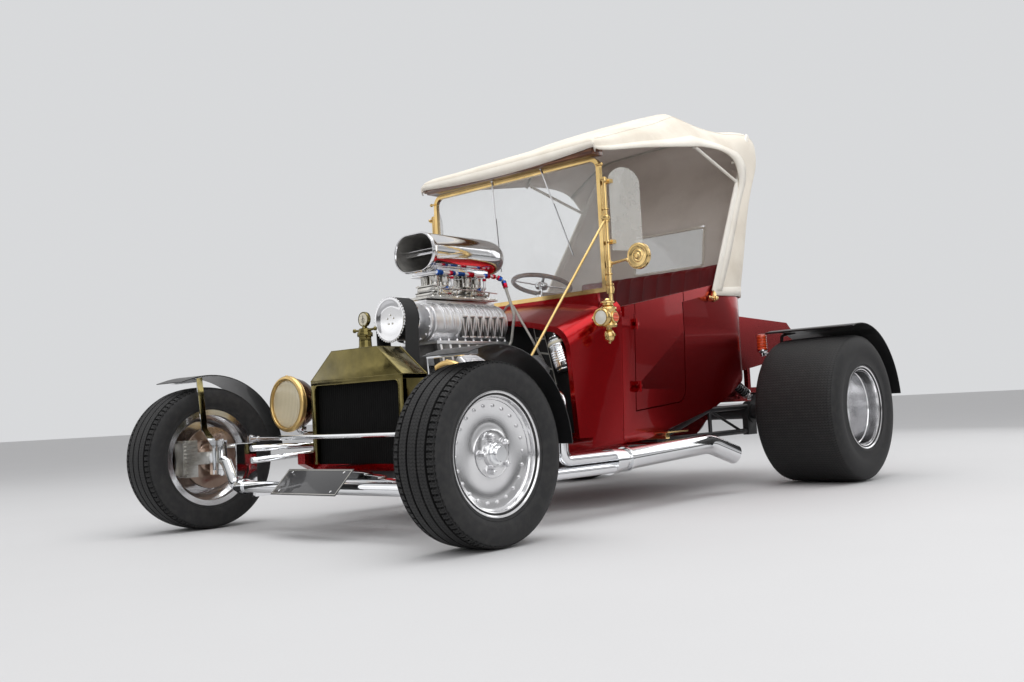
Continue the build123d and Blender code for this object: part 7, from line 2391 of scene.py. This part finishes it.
@dataclass
class Studio:
    """Pale floor, pale surroundings, soft lamps and the camera."""

    eye: Point = (3.262, -2.480, 0.453)
    yaw: float = 42.102
    pitch: float = 3.682
    roll: float = -2.963
    focal: float = 1041.924
    width: int = 1024
    sensor: float = 36.0
    backdrop: Point = (0.86, 0.87, 0.885)
    daylight: float = 0.8
    floor_size: float = 120.0

    def floor(self) -> None:
        """Lays a wide pale floor."""
        bpy.ops.mesh.primitive_plane_add(size=self.floor_size, location=(0, 0, 0))
        floor = bpy.context.object
        floor.name = "studio_floor"
        shader = Shader("pale_floor")
        cloud = shader.noise(1.2, 6.0)
        grit = shader.noise(160.0, 3.0)
        tint = shader.mix(cloud * 0.4 + grit * 0.2, (0.6, 0.6, 0.605), (0.53, 0.53, 0.535))
        finish = shader.finish(Base_Color=tint, Roughness=grit * 0.2 + 0.6, Specular_IOR_Level=0.25)
        floor.data.materials.append(finish)

    def surroundings(self) -> None:
        """Makes the world a pale room, brighter overhead."""
        world = bpy.data.worlds.new("studio")
        bpy.context.scene.world = world
        nodes = Nodes(world, "Generated")
        # Height on the sky from 0 straight down to 1 overhead, and its grey
        greys = (
            (0.0, 0.2), (0.47, 0.25), (0.5, 0.12), (0.535, 0.16), (0.56, 0.8), (0.64, 0.45), (0.78, 0.85), (1.0, 1.1),
        )
        height = nodes.axes(nodes.place)[2].math("MULTIPLY_ADD", 0.5, 0.5)
        sky = nodes.ramp(height, [(where, (grey, grey, grey * 1.01)) for where, grey in greys])
        seen = nodes.node("ShaderNodeLightPath", {}, {}, "Is Camera Ray")
        colour = nodes.mix(seen, sky, self.backdrop)
        light = nodes.node("ShaderNodeBackground", {}, {"Color": colour, "Strength": self.daylight})
        nodes.end("ShaderNodeOutputWorld", light)

    def lamp(self, name: str, place: Point, aim: Point, size: tuple[float, float], power: float) -> None:
        """Hangs one soft rectangular lamp.

        Args:
            name: Its name.
            place: Where it hangs.
            aim: What it points at.
            size: Its width and height.
            power: Watts.
        """
        light = bpy.data.lights.new(name, "AREA")
        light.shape = "RECTANGLE"
        light.size, light.size_y = size
        light.energy = power
        holder = bpy.data.objects.new(name, light)
        bpy.context.scene.collection.objects.link(holder)
        holder.location = place
        holder.rotation_euler = (Vector(aim) - Vector(place)).to_track_quat("-Z", "Y").to_euler()

    def camera(self) -> None:
        """Places the camera where the photograph was taken."""
        yaw, pitch, roll = (math.radians(a) for a in (self.yaw, self.pitch, self.roll))
        forward = Vector((-math.sin(yaw) * math.cos(pitch), math.cos(yaw) * math.cos(pitch), math.sin(pitch)))
        right = Vector((math.cos(yaw), math.sin(yaw), 0))
        up = right.cross(forward)
        right, up = right * math.cos(roll) + up * math.sin(roll), up * math.cos(roll) - right * math.sin(roll)
        data = bpy.data.cameras.new("photograph")
        data.sensor_width = self.sensor
        data.lens = self.focal * self.sensor / self.width
        data.clip_end = 200.0
        holder = bpy.data.objects.new("photograph", data)
        bpy.context.scene.collection.objects.link(holder)
        turn = Matrix((right, up, -forward)).transposed().to_4x4()
        holder.matrix_world = Matrix.Translation(at(*self.eye)) @ turn
        bpy.context.scene.camera = holder

    def build(self) -> None:
        """Builds the studio."""
        self.floor()
        self.surroundings()
        self.lamp("overhead", (0.5, -0.5, 5.5), (0, 0, 0.5), (6.0, 5.0), 190)
        self.lamp("key", (5.0, -3.0, 3.2), (0, 0, 0.6), (6.5, 5.0), 115)
        self.lamp("fill", (-5.0, -4.0, 2.5), (0, -0.3, 0.6), (5.5, 4.0), 42)
        self.lamp("rear", (1.5, 6.0, 3.0), (0, 0.5, 0.8), (5.5, 3.5), 70)
        self.camera()
        bpy.context.scene.view_settings.view_transform = "Standard"


CARRIED = [
    Carried(f"{node}_{side.word}", finish, f"{body}_{side.word}")
    for node, finish, body in (
        ("knuckle", CHROME, "knuckle"), ("caliper", CAST, "knuckle"), ("front_fender", BLACK, "knuckle"),
        ("brake_disc", BRUSHED, "front_wheel"),
    )
    for side in Side
]
CARRIED += [
    Carried(node, finish, node)
    for node, finish in (("tie_rod", CHROME), ("passenger_door", RED), ("trunk_lid", RED))
]
CARRIED += [
    Carried(node, finish)
    for node, finish in (
        ("front_axle", CHROME), ("radius_rods", CHROME), ("front_spring", CHROME), ("front_brackets", SATIN),
        ("frame_rails", RED), ("rear_axle", SATIN), ("ladder_bars", SATIN), ("body_tub", RED), ("firewall", BLACK),
        ("dash", DASH), ("windscreen_glass", GLASS), ("wind_wings", ETCHED), ("rear_window", VINYL),
        ("steering_column", CHROME), ("radiator_core", CORE), ("engine_and_gearbox", IRON), ("blower_belt", BELT),
        ("exhaust_headers", HEADER), ("side_pipes", CHROME), ("step_plates", BRASS), ("rear_fenders", BLACK),
        ("trunk", RED),
    )
]

# The windscreen's bottom rail is red below its brass bead
BEAD_Z = 0.941
CARRIED.append(Carried(
    "windscreen_frame", BRASS, other=RED, where=lambda p: p.z < BEAD_Z and abs(p.x) < 0.485 and p.y > -0.218,
    level=BEAD_Z,
))


def main() -> None:
    """Builds every part of the picture in order."""
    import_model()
    Studio().build()
    for side in Side:
        Wheel(
            side, "front", x=0.8535, y=0.0, radius=0.3075, width=0.2, rim=0.163, dish=0.038,
            grooves=(-0.62, -0.22, 0.22, 0.62),
        ).build()
        Wheel(side, "rear", x=0.857, y=WHEELBASE, radius=0.368, width=0.44, rim=0.416, dish=0.2, bolts=26).build()
    for carried in CARRIED:
        carried.build()
    Hood().build()
    for part in (Blower, Pulleys, Carburettors, Scoop, FuelLines, Heads, Radiator, Headlamps, SmallLamps, ScreenTrim,
                 Coilovers, SteeringWheel, Gauges, FirewallFittings):
        part().build()
    y, low = 1.602, 0.4403
    cushion = ((y, low), (y + 0.348, low), (y + 0.508, low + 0.065), (y + 0.508, low + 0.12), (y, low + 0.145))
    Cushion("seat_cushion", cushion, 0.495, (0, -0.35, 0.94), (0, 1)).build()
    y = 2.1103
    back = ((y, 0.51), (y + 0.1, 0.549), (y + 0.214, 1.15), (y + 0.2, 1.178), (y + 0.134, 1.168), (y, 0.59))
    Cushion("seat_back", back, 0.47, (0, -0.97, 0.23), (1,), cap=0.02).build()


if __name__ == "__main__":
    main()
